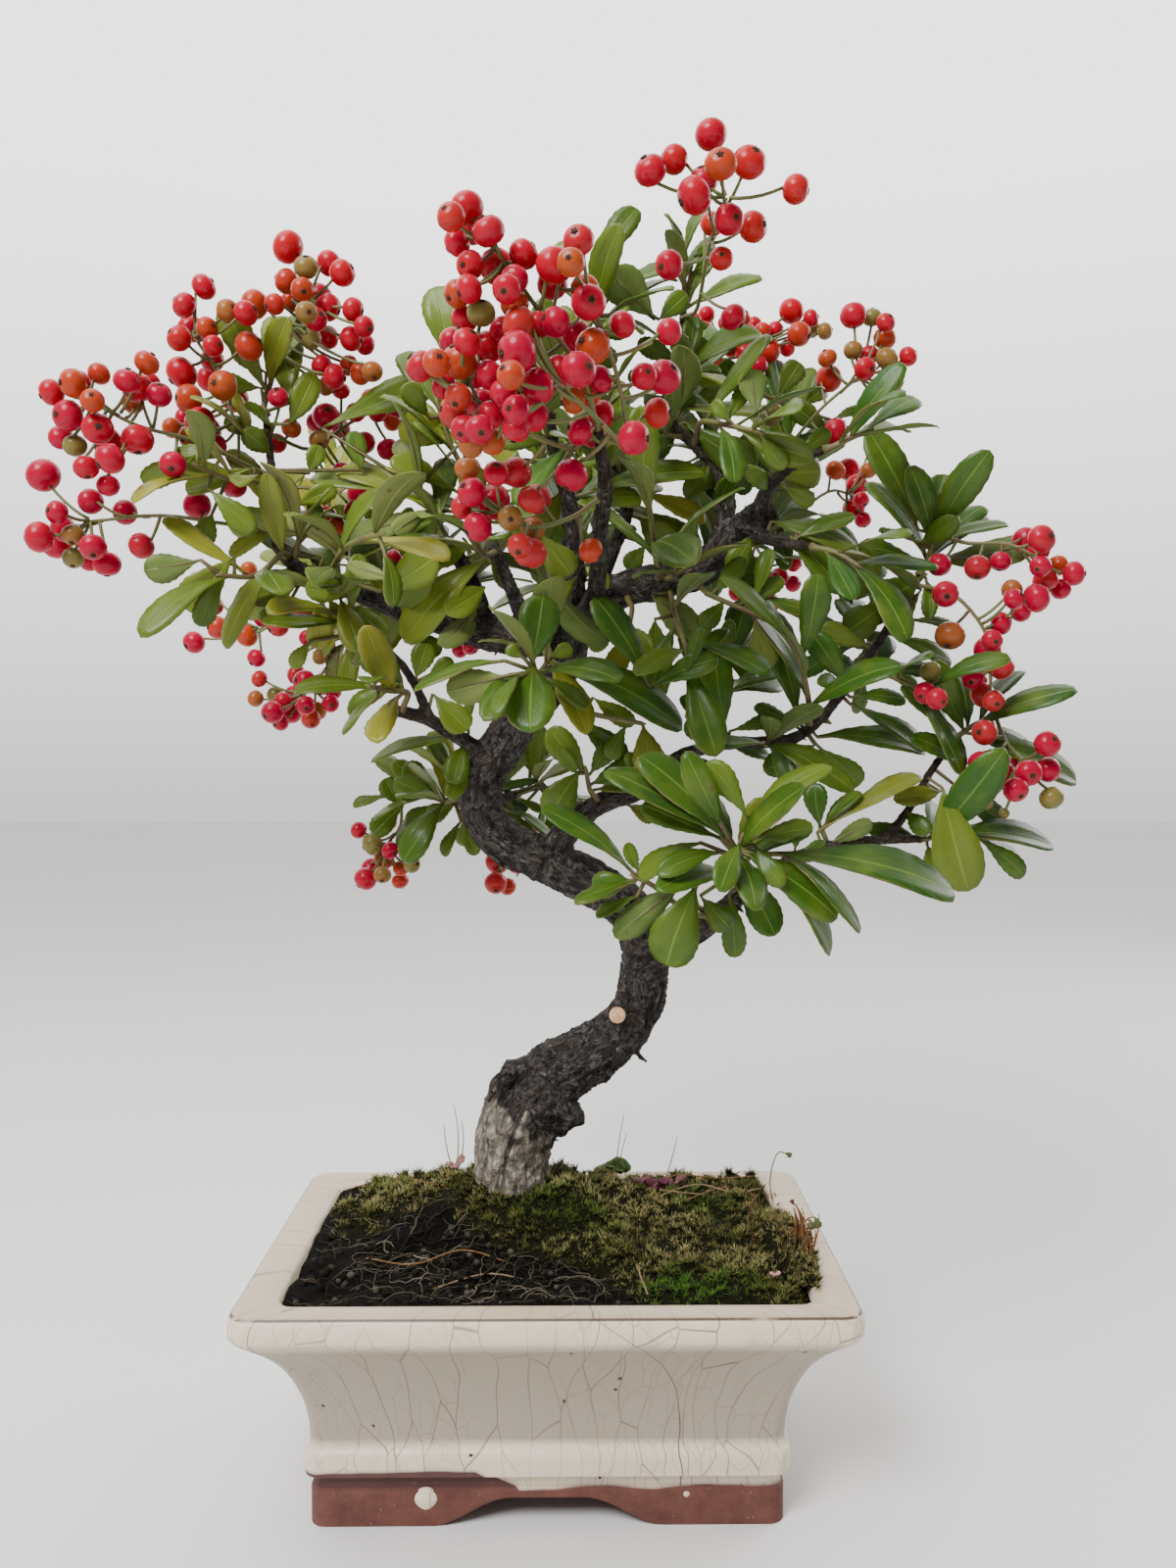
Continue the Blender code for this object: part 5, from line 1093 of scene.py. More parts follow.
def leaf_tone(tip, draw, yellow=None):
    """Yellowness, darkness and a seed. Low leaves and those at the right are greener than the others. The
    darkness is partly the leaf's own tone, drawn by chance, and partly painted shade that grows towards the
    right.
    """
    if yellow is None:
        yellow = 0.30 - 0.0035 * tip.x + 0.0016 * (tip.z - 240) + draw.uniform(-0.2, 0.2)
        if draw.random() < 0.05:
            yellow += 0.45
    # The darkness is partly drawn by chance as the leaf's own tone and partly painted shade, which grows
    # towards the right
    shade = min(1.0, draw.uniform(0.0, 1.0) + max(0.0, 0.005 * tip.x))
    return (clamp(yellow), shade, draw.random(), 1.0)


def add_leaf(piece, root, tip, up, width, draw, petiole_from=None, yellow=None):
    """One whole leaf: blade, stalk and raised midrib underneath."""
    tone = leaf_tone(tip, draw, yellow)
    shape, normal, arch = leaf_blade(root, tip, up, width, draw)
    length = (tip - root).length
    piece.add(shape, tone)
    rows = []
    for step in range(6):
        share = step / 6.5
        point = root.lerp(tip, share) + normal * (arch * length * 4 * share * (1 - share) - 0.12)
        rows.append(row_at(point, 0.5 - 0.4 * share))
    if petiole_from is not None:
        rows.insert(0, row_at(petiole_from, 0.6))
        rows[1] = row_at(rows[1].xyz, 0.5)
    piece.add_tube(rows, 4, tone, 2)


def leaf_in_view(foot, row, shift, tilt):
    """A leaf that looks as it does in the picture, with its root and tip moved along the line of sight."""
    root_x, root_y, tip_x, tip_y, width, _ = row
    root = seen(root_x, root_y, foot.y + shift)
    tip = seen(tip_x, tip_y, foot.y + shift + tilt)
    middle = root.lerp(tip, 0.5)
    along = (tip - root).normalized()
    length = (tip - root).length
    facing = CAMERA - middle
    facing = (facing - along * facing.dot(along)).normalized()
    shown = abs(width) * (middle.y - CAMERA.y) / SIGHT
    full = clamp(shown, LEAF_NARROW * length, LEAF_BROAD * length)
    angle = math.acos(min(1.0, shown / full))
    turns = [Matrix.Rotation(sign * angle, 3, along) @ facing for sign in (-1, 1)]
    up = max(turns, key=lambda normal: normal.z)
    return root, tip, -up if width < 0 else up, full


def add_berry(piece, root, centre, radius, draw, ripe):
    """One whole berry with its stalk and the small dark star of sepals at its far end."""
    along = (centre - root).normalized()
    lean = draw.uniform(0.0, 0.75)
    axis = Matrix.Rotation(lean, 3, outward_from(along, draw.uniform(0, math.tau))) @ along
    turn = axis.to_track_quat("Z", "Y").to_matrix().to_4x4()
    shape = solid(bmesh.ops.create_uvsphere, u_segments=14, v_segments=9, radius=1.0)
    layer = shape.verts.layers.float_color.new("tone")
    seed = draw.random()
    for vert in shape.verts:
        away = math.acos(clamp(vert.co.z, -1.0))
        vert[layer] = (ripe, away / math.pi, seed, 1.0)
        at_sepals = max(0.0, 1 - away / DIP_ANGLE)
        at_stalk = max(0.0, 1 - (math.pi - away) / DIP_ANGLE)
        vert.co.z = vert.co.z * BERRY_FLAT - SEPAL_DIP * at_sepals + STALK_DIP * at_stalk
    stretch = Matrix.Diagonal([draw.uniform(least, 1.03) for least in (0.97, 0.97, 0.95)]).to_4x4()
    place = Matrix.Translation(centre) @ turn @ Matrix.Scale(radius, 4)
    piece.add(moved(shape, place @ stretch), None, 0)
    spin = draw.uniform(0, math.tau)
    for number in range(5):
        sepal = solid(bmesh.ops.create_cone, cap_ends=True, segments=4, depth=0.24, **SEPAL_RADII)
        lean = Matrix.Rotation(spin + math.tau * number / 5, 4, "Z")
        lean = lean @ Matrix.Translation((0.13, 0, BERRY_FLAT - 0.08)) @ Matrix.Rotation(1.25, 4, "Y")
        piece.add(moved(sepal, place @ lean), (ripe, 1.0, seed, 1.0), 1)
    end = centre - axis * radius * 0.8
    sag = Vector((0, 0, -0.06)) * (centre - root).length
    piece.add_tube(bent(root, end, sag, (0.5, 0.42), 5), 5, (seed, 0.0, 0.0, 1.0), 2)


# Materials


def times(colour, *shares):
    """A colour times one share, or times a share for each of its red, green and blue."""
    return [value * share for value, share in zip(colour, shares * 3)]


class Value:
    """A number inside a material, which can be reckoned with like a plain number."""

    def __init__(self, finish, socket):
        self.finish = finish
        self.socket = socket

    def ramp(self, low, high):
        """The value stretched so that low gives 0 and high gives 1."""
        inputs = {"Value": self, "From Min": low, "From Max": high}
        return self.finish.value("MapRange", inputs, "Result", clamp=True)

    def __add__(self, other):
        return self.finish.maths("ADD", self, other)

    def __sub__(self, other):
        return self.finish.maths("SUBTRACT", self, other)

    def __rsub__(self, other):
        return self.finish.maths("SUBTRACT", other, self)

    def __mul__(self, other):
        return self.finish.maths("MULTIPLY", self, other)

    def __truediv__(self, other):
        return self.finish.maths("DIVIDE", self, other)

    def __abs__(self):
        return self.finish.maths("ABSOLUTE", self)


class Finish:
    """Builds one procedural material on the Principled shader."""

    def __init__(self, name, colour, roughness, specular=0.5, coat=0.0):
        self.material = bpy.data.materials.new(name)
        self.material.use_nodes = True
        self.tree = self.material.node_tree
        self.inputs = self.tree.nodes["Principled BSDF"].inputs
        self.inputs["Base Color"].default_value = (*colour, 1.0)
        self.inputs["Roughness"].default_value = roughness
        self.inputs["Specular IOR Level"].default_value = specular
        self.inputs["Coat Weight"].default_value = coat
        self.inputs["Coat Roughness"].default_value = 0.15
        self.place = self.node("TexCoord").outputs["Object"]

    def feed(self, socket, value):
        """Links an input, or sets it to a constant."""
        value = getattr(value, "socket", value)
        if isinstance(value, bpy.types.NodeSocket):
            self.tree.links.new(value, socket)
        else:
            socket.default_value = value

    def node(self, kind, inputs=None, **settings):
        """A shader node with its inputs and its settings."""
        made = self.tree.nodes.new("ShaderNode" + kind)
        for key, value in settings.items():
            setattr(made, key, value)
        for key, value in (inputs or {}).items():
            self.feed(made.inputs[key], value)
        return made

    def value(self, kind, inputs, output=0, **settings):
        """The number that a shader node gives."""
        return Value(self, self.node(kind, inputs, **settings).outputs[output])

    def maths(self, operation, first, second=0.0):
        return self.value("Math", {0: first, 1: second}, operation=operation)

    def noise(self, scale, detail=4.0, roughness=0.55, vector=None):
        inputs = {"Scale": scale, "Detail": detail, "Roughness": roughness, "Vector": vector or self.place}
        return self.value("TexNoise", inputs, "Fac")

    def cells(self, scale, vector=None, **settings):
        """The outputs of a pattern of cells."""
        inputs = {"Vector": vector or self.place, "Scale": scale}
        return self.node("TexVoronoi", inputs, **settings).outputs

    def distance_in(self, cells):
        return Value(self, cells["Distance"])

    def shade_of(self, cells):
        """A chance number that each cell has for itself."""
        return self.parts(cells["Color"], "SeparateColor")[0]

    def parts(self, vector, kind="SeparateXYZ"):
        """The three numbers of a place or of a colour."""
        return [Value(self, socket) for socket in self.node(kind, {0: vector}).outputs]

    def tone(self):
        """The red, green and blue of the piece's own tone attribute."""
        return self.parts(self.node("Attribute", attribute_name="tone").outputs["Color"], "SeparateColor")

    def mix(self, share, *colours):
        """A blend of two colours."""
        first, second = [(*item, 1.0) if isinstance(item, (list, tuple)) else item for item in colours]
        return self.node("Mix", {0: share, 6: first, 7: second}, data_type="RGBA").outputs[2]

    def layers(self, body, *layers):
        """A colour with others laid over it, each with its own share."""
        for share, colour in layers:
            body = self.mix(share, body, colour)
        return body

    def stretched(self, scale, vector=None):
        """Object coordinates or others, stretched."""
        return self.node("Mapping", {"Vector": vector or self.place, "Scale": scale}).outputs[0]

    def colour(self, value):
        self.feed(self.inputs["Base Color"], value)

    def roughness(self, value):
        self.feed(self.inputs["Roughness"], value)

    def bump(self, height, distance, strength=1.0):
        made = self.node("Bump", {"Height": height, "Distance": distance, "Strength": strength})
        normal = self.inputs["Normal"]
        if normal.is_linked:
            self.feed(made.inputs["Normal"], normal.links[0].from_socket)
        self.feed(normal, made.outputs["Normal"])


def glaze_finish(cream, clay):
    """Cream crackle glaze with pinholes, down to a wavy hem over bare clay, and worn along the lip. The
    wall below the lip is painted darker than the lip and the bead as painted shade, and the lip's top is
    painted darker as shade, with a browner tint.
    """
    made = Finish("crackle_glaze", cream, 0.35, specular=0.3, coat=0.1)
    x, y, z = made.parts(made.place)
    cloud = made.noise(24.0, 5.0)
    pits = made.noise(520.0, 4.0, 0.7)
    body = made.layers(
        made.mix(cloud.ramp(0.35, 0.7), cream, times(cream, 0.88)),
        (pits.ramp(0.5, 0.64) * 0.4, times(cream, 0.84, 0.8, 0.74)),
        # Painted shade: the wall between the bead and the lip is painted darker, for the shadow under the
        # lip
        (z.ramp(0.0205, 0.0225) * z.ramp(0.0525, 0.049), times(cream, 0.44)),
        # The lip's top is painted darker as shade, with a browner tint
        (z.ramp(0.0574, 0.0583) * 0.8, times(cream, 0.53, 0.47, 0.4)),
        (made.noise(75.0, 6.0, 0.7).ramp(0.52, 0.75) * 0.4, (0.40, 0.31, 0.20)),
    )
    side_place = craze_place(made)

    def crack_lines(squeeze, scale, half_width):
        """Lines of even width round cells that stand taller than wide, by the slope of the distance."""
        distances = []
        for lift in (0.0, 0.02 / scale / squeeze):
            lifted = made.node("VectorMath", {0: side_place, 1: (0, lift, 0)}, operation="ADD").outputs[0]
            tall = made.stretched((1, squeeze, 1), lifted)
            cells = made.cells(scale, tall, feature="DISTANCE_TO_EDGE", voronoi_dimensions="2D")
            distances.append(made.distance_in(cells))
        slope = abs(distances[0] - distances[1]) * 50.0
        thin = 1.0 - slope.ramp(0.0, 1.0) * (1 - squeeze)
        return (distances[0] / thin).ramp(half_width, half_width * 0.4)

    line = crack_lines(0.22, 150.0, 0.03) * made.noise(40.0, 2.0).ramp(0.2, 0.6)
    web = crack_lines(0.6, 230.0, 0.028) * cloud.ramp(0.46, 0.6)
    line = made.maths("MAXIMUM", line, web * 0.6)
    across = x - SHIFT.x * MM
    rise = made.maths("POWER", z * 17.6, 5.0)
    path = 0.0335 - rise * 0.0205 + (made.noise(50.0, 2.0) - 0.5) * 0.006
    front = y.ramp(SHIFT.y * MM, SHIFT.y * MM - 0.001)
    line = made.maths("MAXIMUM", line, abs(across - path).ramp(0.0002, 0.0001) * front * 1.3)
    dots = made.cells(85.0, side_place, voronoi_dimensions="2D")
    edge = made.tone()[0].ramp(0.2, 0.5) * made.noise(60.0, 3.0).ramp(0.2, 0.4)
    band = z.ramp(0.0575, 0.0577) * z.ramp(0.0582, 0.0580)
    low = across.ramp(-0.018, -0.007) * (HEM_HIGH - HEM_LOW)
    over = z - (HEM_HIGH - low + (made.noise(38.0, 2.0) - 0.5) * 0.0024)
    bead = over.ramp(0.0011, 0.0002) * over.ramp(-0.0004, 0.0002)
    holes = made.distance_in(dots).ramp(0.045, 0.03) * made.shade_of(dots).ramp(0.75, 0.76)
    glazed = made.layers(
        body, (line * 0.72, (0.12, 0.08, 0.055)), (holes, (0.05, 0.03, 0.02)),
        (edge * band * 0.9, (0.05, 0.024, 0.016)), (bead * 0.45, (0.3, 0.2, 0.17)),
    )
    mud = made.layers(
        made.mix(made.noise(150.0, 6.0, 0.7).ramp(0.3, 0.7), clay, times(clay, 0.5)),
        (made.noise(800.0, 2.0).ramp(0.68, 0.74) * 0.5, (0.40, 0.28, 0.22)),
        (z.ramp(0.0088, 0.0098) * 0.65, (0.085, 0.045, 0.045)),
    )
    bare = over.ramp(0.0002, -0.0002) * made.tone()[1].ramp(0.6, 0.5)
    made.colour(made.mix(bare, glazed, mud))
    made.roughness(bare * 0.45 + cloud.ramp(-1.2, 3.0))
    made.bump(made.noise(45.0, 3.0) - line, 0.0003, 0.3)
    made.bump(pits, 0.00012, 0.5)
    made.bump(made.noise(900.0, 4.0) * bare, 0.0002, 0.6)
    made.bump(1.0 - bare, 0.0006, 0.5)
    return made.material


def craze_place(made):
    """Where a point lies on its side of the pot: along the side, and up, with a slow drift."""
    x, y, z = made.parts(made.place)
    x -= SHIFT.x * MM
    y -= SHIFT.y * MM
    out_x = abs(x) / (FOOT_HALF[0] * MM)
    out_y = abs(y) / (FOOT_HALF[1] * MM)
    along_front = x / out_y + made.maths("SIGN", y)
    along_side = y / out_x + made.maths("SIGN", x) * 3.0
    pick = {0: made.maths("GREATER_THAN", out_y, out_x), 2: along_side, 3: along_front}
    along = made.value("Mix", pick, data_type="FLOAT") + made.noise(22.0, 2.0) * 0.012
    return made.node("CombineXYZ", {0: along, 1: z + made.noise(31.0, 2.0) * 0.012}).outputs[0]


def bark_finish(dark, pale):
    """Scaly bark. Tone red runs from crack to crest; green is the pale foot, blue young wood. The cracks
    and the gaps between the flakes are painted near black as shade, and the crests and the flakes' rims are
    painted paler grey as highlight.
    """
    made = Finish("bark", dark, 0.8, specular=0.15)
    relief, foot, young = made.tone()
    grain = made.node("Attribute", attribute_name="grain").outputs["Vector"]
    along = made.stretched((1.0, 1.0, 0.55), grain)
    flecks = made.noise(420.0, 6.0, 0.72)
    plates = made.noise(150.0, 5.0, 0.65)
    warp = made.node("TexNoise", {"Vector": along, "Scale": 0.45, "Detail": 4.0}).outputs["Color"]
    push = {0: warp, 1: (3.2, 3.2, 3.2), 2: along}
    pushed = made.node("VectorMath", push, operation="MULTIPLY_ADD").outputs[0]

    def flakes(scale):
        """How far a point is from its flake's edge, and the flake's own shade."""
        edges = made.cells(scale, pushed, feature="DISTANCE_TO_EDGE")
        return made.distance_in(edges), made.shade_of(made.cells(scale, pushed))

    away, shade = flakes(0.42)
    small_away, small_shade = flakes(0.95)
    # The gaps between the flakes, which are painted near black as shade
    gap = made.maths("MAXIMUM", away.ramp(0.07, 0.01), small_away.ramp(0.08, 0.0) * 0.6)
    # The flakes' raised rims and, below, the ridge crests, which are painted paler grey as highlight
    rim = away.ramp(0.2, 0.07) * flecks.ramp(0.42, 0.58)
    crest = relief.ramp(0.4, 0.8) * flecks.ramp(0.38, 0.6)
    old = made.layers(
        made.mix(plates.ramp(0.38, 0.66), times(dark, 0.6), times(dark, 1.7)),
        (shade.ramp(0.4, 1.0) * 0.5, (0.075, 0.06, 0.052)),
        (small_shade.ramp(0.55, 1.0) * 0.4, (0.10, 0.085, 0.075)),
        # Painted highlight on the crests and the flakes' rims, and painted shade in the gaps
        (crest * 0.25, (0.13, 0.115, 0.105)), (rim * 0.85, (0.26, 0.235, 0.215)), (gap * 0.85, PAINTED_FISSURE_SHADE),
    )
    base = made.layers(
        made.mix(plates.ramp(0.4, 0.62), pale, times(pale, 0.5)),
        (flecks.ramp(0.54, 0.44) * 0.7, times(pale, 0.3)),
        (made.noise(90.0, 5.0).ramp(0.48, 0.6) * 0.5, (0.12, 0.085, 0.06)),
    )
    twig = made.mix(flecks.ramp(0.4, 0.7), (0.03, 0.02, 0.014), (0.08, 0.06, 0.045))
    wood = made.mix((foot + plates * 0.5).ramp(0.55, 0.95), old, base)
    # The hollows of the relief are painted near black as shade in the fissures
    made.colour(made.layers(wood, (young, twig), (relief.ramp(0.42, 0.12) * 0.9, PAINTED_FISSURE_SHADE)))
    made.bump(rim * 0.8 - gap, 0.0006, 0.9)
    made.bump(flecks, 0.0005, 0.7)
    made.bump(made.noise(1500.0, 3.0), 0.0002, 0.5)
    return made.material


def cut_finish():
    """A fresh saw cut: pale orange wood with rings."""
    made = Finish("cut_wood", (0.62, 0.36, 0.19), 0.6)
    rings = made.noise(420.0, 3.0, vector=made.stretched((1, 0.3, 1)))
    made.colour(made.mix(rings.ramp(0.35, 0.65), (0.68, 0.42, 0.24), (0.42, 0.2, 0.09)))
    made.bump(rings, 0.0002, 0.4)
    return made.material


def leaf_finish(name, green, olive, gold, roughness, underside):
    """Tone red is yellowness and green darkness, which is partly the leaf's own tone and partly painted
    shade; the UV map runs across and along the blade.
    """
    made = Finish(name, green, roughness, specular=0.2, coat=0.0 if underside else 0.12)
    yellow, dark, _ = made.tone()
    patches = made.noise(110.0, 4.0)
    across, along, _ = made.parts(made.node("UVMap", uv_map="UVMap").outputs[0])
    across = abs(across - 0.5)
    rib = across.ramp(0.045, 0.012)
    vein = abs(made.maths("SINE", (along - across * 0.75) * 30.0)).ramp(0.16, 0.0)
    light = (0.28, 0.34, 0.13) if underside else (0.22, 0.34, 0.05)
    spots = made.cells(210.0)
    spot = made.distance_in(spots).ramp(0.2, 0.1) * made.shade_of(spots).ramp(0.93, 0.95)
    tip_burn = across.ramp(0.465, 0.5) * made.noise(60.0).ramp(0.5, 0.65)
    body = made.layers(
        made.mix(yellow.ramp(0.0, 0.55), green, olive), (yellow.ramp(0.55, 1.0), gold),
        # Tone green darkens the leaf: partly its own tone, partly painted shade towards the right
        (dark * 0.6, times(green, 0.45)), (patches.ramp(0.45, 0.75) * 0.55, olive),
        (vein * 0.1, light), (rib * 0.36, light), (spot * 0.75, (0.10, 0.045, 0.02)),
        (tip_burn * 0.6, (0.30, 0.20, 0.07)),
    )
    made.colour(body)
    made.roughness(patches if underside else patches.ramp(-0.4 - roughness, 3.0 - roughness * 2))
    made.bump(rib * 1.0 + vein * 0.35, 0.00025 if underside else -0.00025, 0.7)
    made.bump(made.noise(420.0, 3.0), 0.00025, 0.35)
    return made.material


def two_tone(made, scale, share, first, second, height_scale, strength):
    """Lays a mottle of two colours and a fine bump on a finish."""
    low, high = share
    made.colour(made.mix(made.noise(scale, 4.0).ramp(low, high), first, second))
    made.bump(made.noise(height_scale, 3.0), 0.0002, strength)
    return made.material


def stem_finish(name, first, second):
    return two_tone(Finish(name, first, 0.55), 180.0, (0.35, 0.65), first, second, 900.0, 0.4)


def plain_finish(name, colour, roughness, speck=0.35, scale=400.0):
    made = Finish(name, colour, roughness, specular=0.1 if roughness > 0.9 else 0.4)
    return two_tone(made, scale, (0.35, 0.65), colour, times(colour, 1 - speck), scale * 2, 0.5)


def berry_finish(red, orange, unripe):
    """Tone red is ripeness, green the way from the sepals to the stalk, blue a seed."""
    made = Finish("berry_skin", red, 0.3, specular=0.1, coat=0.2)
    ripe, along, seed = made.tone()
    mottled = ripe + (made.noise(330.0, 4.0) - 0.5) * 0.2
    height = made.parts(made.place)[2]
    full_red = made.mix((height + seed * 0.08).ramp(0.29, 0.42), red, (0.43, 0.006, 0.012))
    skin = made.layers(
        made.mix(mottled.ramp(0.1, 0.45), unripe, orange), (mottled.ramp(0.45, 0.85), full_red),
        (along.ramp(0.13, 0.06) * 0.6, (0.22, 0.05, 0.02)),
        (made.distance_in(made.cells(900.0)).ramp(0.2, 0.1) * 0.12, (0.55, 0.18, 0.08)),
    )
    made.colour(skin)
    made.bump(made.noise(260.0, 3.0), 0.0003, 0.12)
    return made.material


def toned_finish(name, roughness, first, second, third):
    """Tone red goes from the first colour to the second, and green towards the third."""
    made = Finish(name, first, roughness, specular=0.08)
    hue, bright, _ = made.tone()
    grain = made.noise(700.0, 3.0).ramp(0.3, 0.7)
    made.colour(made.layers(first, (hue, second), (bright, third), (grain * 0.35, (0.02, 0.02, 0.008))))
    return made.material


def moss_finish():
    """Tone red goes from olive to bright green; green is the tip's dryness, blue the height in the tuft.
    Low in the tuft the leaves are painted near black as shade.
    """
    made = Finish("moss_leaf", (0.1, 0.12, 0.03), 0.7, specular=0.1)
    hue, dry, height = made.tone()
    body = made.layers(
        (0.085, 0.082, 0.018), (hue, (0.06, 0.14, 0.012)),
        (height.ramp(0.35, 0.9) * dry, (0.56, 0.46, 0.21)),
        # Painted shade: the foot of each tuft is darkened to near black
        (height.ramp(0.6, 0.15) * 0.95, (0.004, 0.004, 0.002)),
    )
    made.colour(body)
    return made.material


# Settings shown in the panel


class BonsaiPotSettings(bpy.types.PropertyGroup):
    cream: bpy.props.FloatVectorProperty(
        name="Glaze", description="Colour of the glaze", subtype="COLOR", default=(0.82, 0.70, 0.54)
    )
    clay: bpy.props.FloatVectorProperty(
        name="Clay", description="Colour of the bare foot", subtype="COLOR", default=(0.17, 0.064, 0.048)
    )


class BonsaiGroundSettings(bpy.types.PropertyGroup):
    tufts: bpy.props.IntProperty(name="Moss tufts", description="Number of tufts", default=6000, min=100)
    roots: bpy.props.IntProperty(
        name="Fine roots", description="Number of roots on the soil", default=430, min=0
    )
    crumbs: bpy.props.IntProperty(name="Soil crumbs", description="Number of crumbs", default=1100, min=0)


class BonsaiTreeSettings(bpy.types.PropertyGroup):
    fissure: bpy.props.FloatProperty(
        name="Fissure depth", description="Depth of the trunk's cracks, in mm", default=1.5, min=0.0
    )
    voxel: bpy.props.FloatProperty(
        name="Detail", description="Size of the bark's mesh cells, in mm", default=0.55, min=0.3
    )
    dark: bpy.props.FloatVectorProperty(
        name="Bark", description="Colour of the old bark", subtype="COLOR", default=(0.028, 0.021, 0.017)
    )
    pale: bpy.props.FloatVectorProperty(
        name="Foot", description="Colour of the pale foot", subtype="COLOR", default=(0.50, 0.445, 0.37)
    )


class BonsaiLeafSettings(bpy.types.PropertyGroup):
    green: bpy.props.FloatVectorProperty(
        name="Green", description="Colour of the rich leaves", subtype="COLOR", default=(0.03, 0.1, 0.006)
    )
    olive: bpy.props.FloatVectorProperty(
        name="Olive", description="Colour of the old leaves", subtype="COLOR", default=(0.14, 0.19, 0.015)
    )
    gold: bpy.props.FloatVectorProperty(
        name="Gold", description="Colour of the yellow leaves", subtype="COLOR", default=(0.36, 0.31, 0.03)
    )
    extra: bpy.props.IntProperty(
        name="Extra leaves", description="Leaves added to each shoot at the back", default=5, min=0
    )


class BonsaiBerrySettings(bpy.types.PropertyGroup):
    red: bpy.props.FloatVectorProperty(
        name="Red", description="Colour of the ripe berries", subtype="COLOR", default=(0.36, 0.001, 0.026)
    )
    orange: bpy.props.FloatVectorProperty(
        name="Orange", description="Colour of half ripe ones", subtype="COLOR", default=(0.38, 0.045, 0.01)
    )
    unripe: bpy.props.FloatVectorProperty(
        name="Unripe", description="Colour of unripe berries", subtype="COLOR", default=(0.16, 0.14, 0.035)
    )
    extra: bpy.props.IntProperty(
        name="Extra berries", description="Berries added to each bunch", default=1, min=0
    )


class BonsaiStageSettings(bpy.types.PropertyGroup):
    lens: bpy.props.FloatProperty(name="Lens", description="Camera lens in mm", default=28.1, min=5.0)
    key_power: bpy.props.FloatProperty(
        name="Key light", description="Power of the large light in front", default=15.0, min=0.0
    )


# Pot


def rounded_outline(half_x, half_y, corner, steps):
    """Points anticlockwise round a rectangle with round corners."""
    points = []
    for quarter in range(4):
        sign_x = (1, -1, -1, 1)[quarter]
        sign_y = (1, 1, -1, -1)[quarter]
        for step in range(steps + 1):
            angle = math.radians(90 * (quarter + step / steps))
            x = sign_x * (half_x - corner) + corner * math.cos(angle)
            y = sign_y * (half_y - corner) + corner * math.sin(angle)
            points.append((x, y))
    return points


def lofted(sections, steps):
    """A closed solid whose ring is pulled up through rounded rectangles."""
    shape = bmesh.new()
    height, *form = sections[0]
    ring = [shape.verts.new((x, y, height)) for x, y in rounded_outline(*form, steps)]
    shape.faces.new(ring[::-1])
    edges = shape.edges[:]
    for height, *form in sections[1:]:
        fresh, edges = pulled_ring(shape, edges)
        known = set(fresh)
        above = [edge.other_vert(vert) for vert in ring for edge in vert.link_edges]
        ring = [vert for vert in above if vert in known]
        for vert, (x, y) in zip(ring, rounded_outline(*form, steps)):
            vert.co = (x, y, height)
    return closed(shape, edges)


def prism(outline, low, high, matrix=Matrix.Identity(4)):
    """A flat outline raised from one height to another."""
    shape = bmesh.new()
    face = shape.faces.new([shape.verts.new((x, y, low)) for x, y in outline])
    result = bmesh.ops.extrude_face_region(shape, geom=[face])
    bmesh.ops.translate(shape, verts=fresh_verts(result), vec=(0, 0, high - low))
    return closed(moved(shape, matrix))


def arch_outline(bottom_half, top_half, top, steps=20):
    """The ogee gap between two bracket feet."""
    edge = []
    for step in range(steps + 1):
        share = step / steps
        x = bottom_half + (top_half - bottom_half) * share
        edge.append((x, top * (0.5 - 0.5 * math.cos(math.pi * share))))
    right = [(bottom_half, -1.0)] + edge
    return right + [(-x, z) for x, z in reversed(right)]


def applied_mesh(item):
    """The object's mesh with its modifiers, after which the object is removed."""
    bpy.context.view_layer.update()
    graph = bpy.context.evaluated_depsgraph_get()
    mesh = bpy.data.meshes.new_from_object(item.evaluated_get(graph))
    bpy.data.objects.remove(item, do_unlink=True)
    return mesh


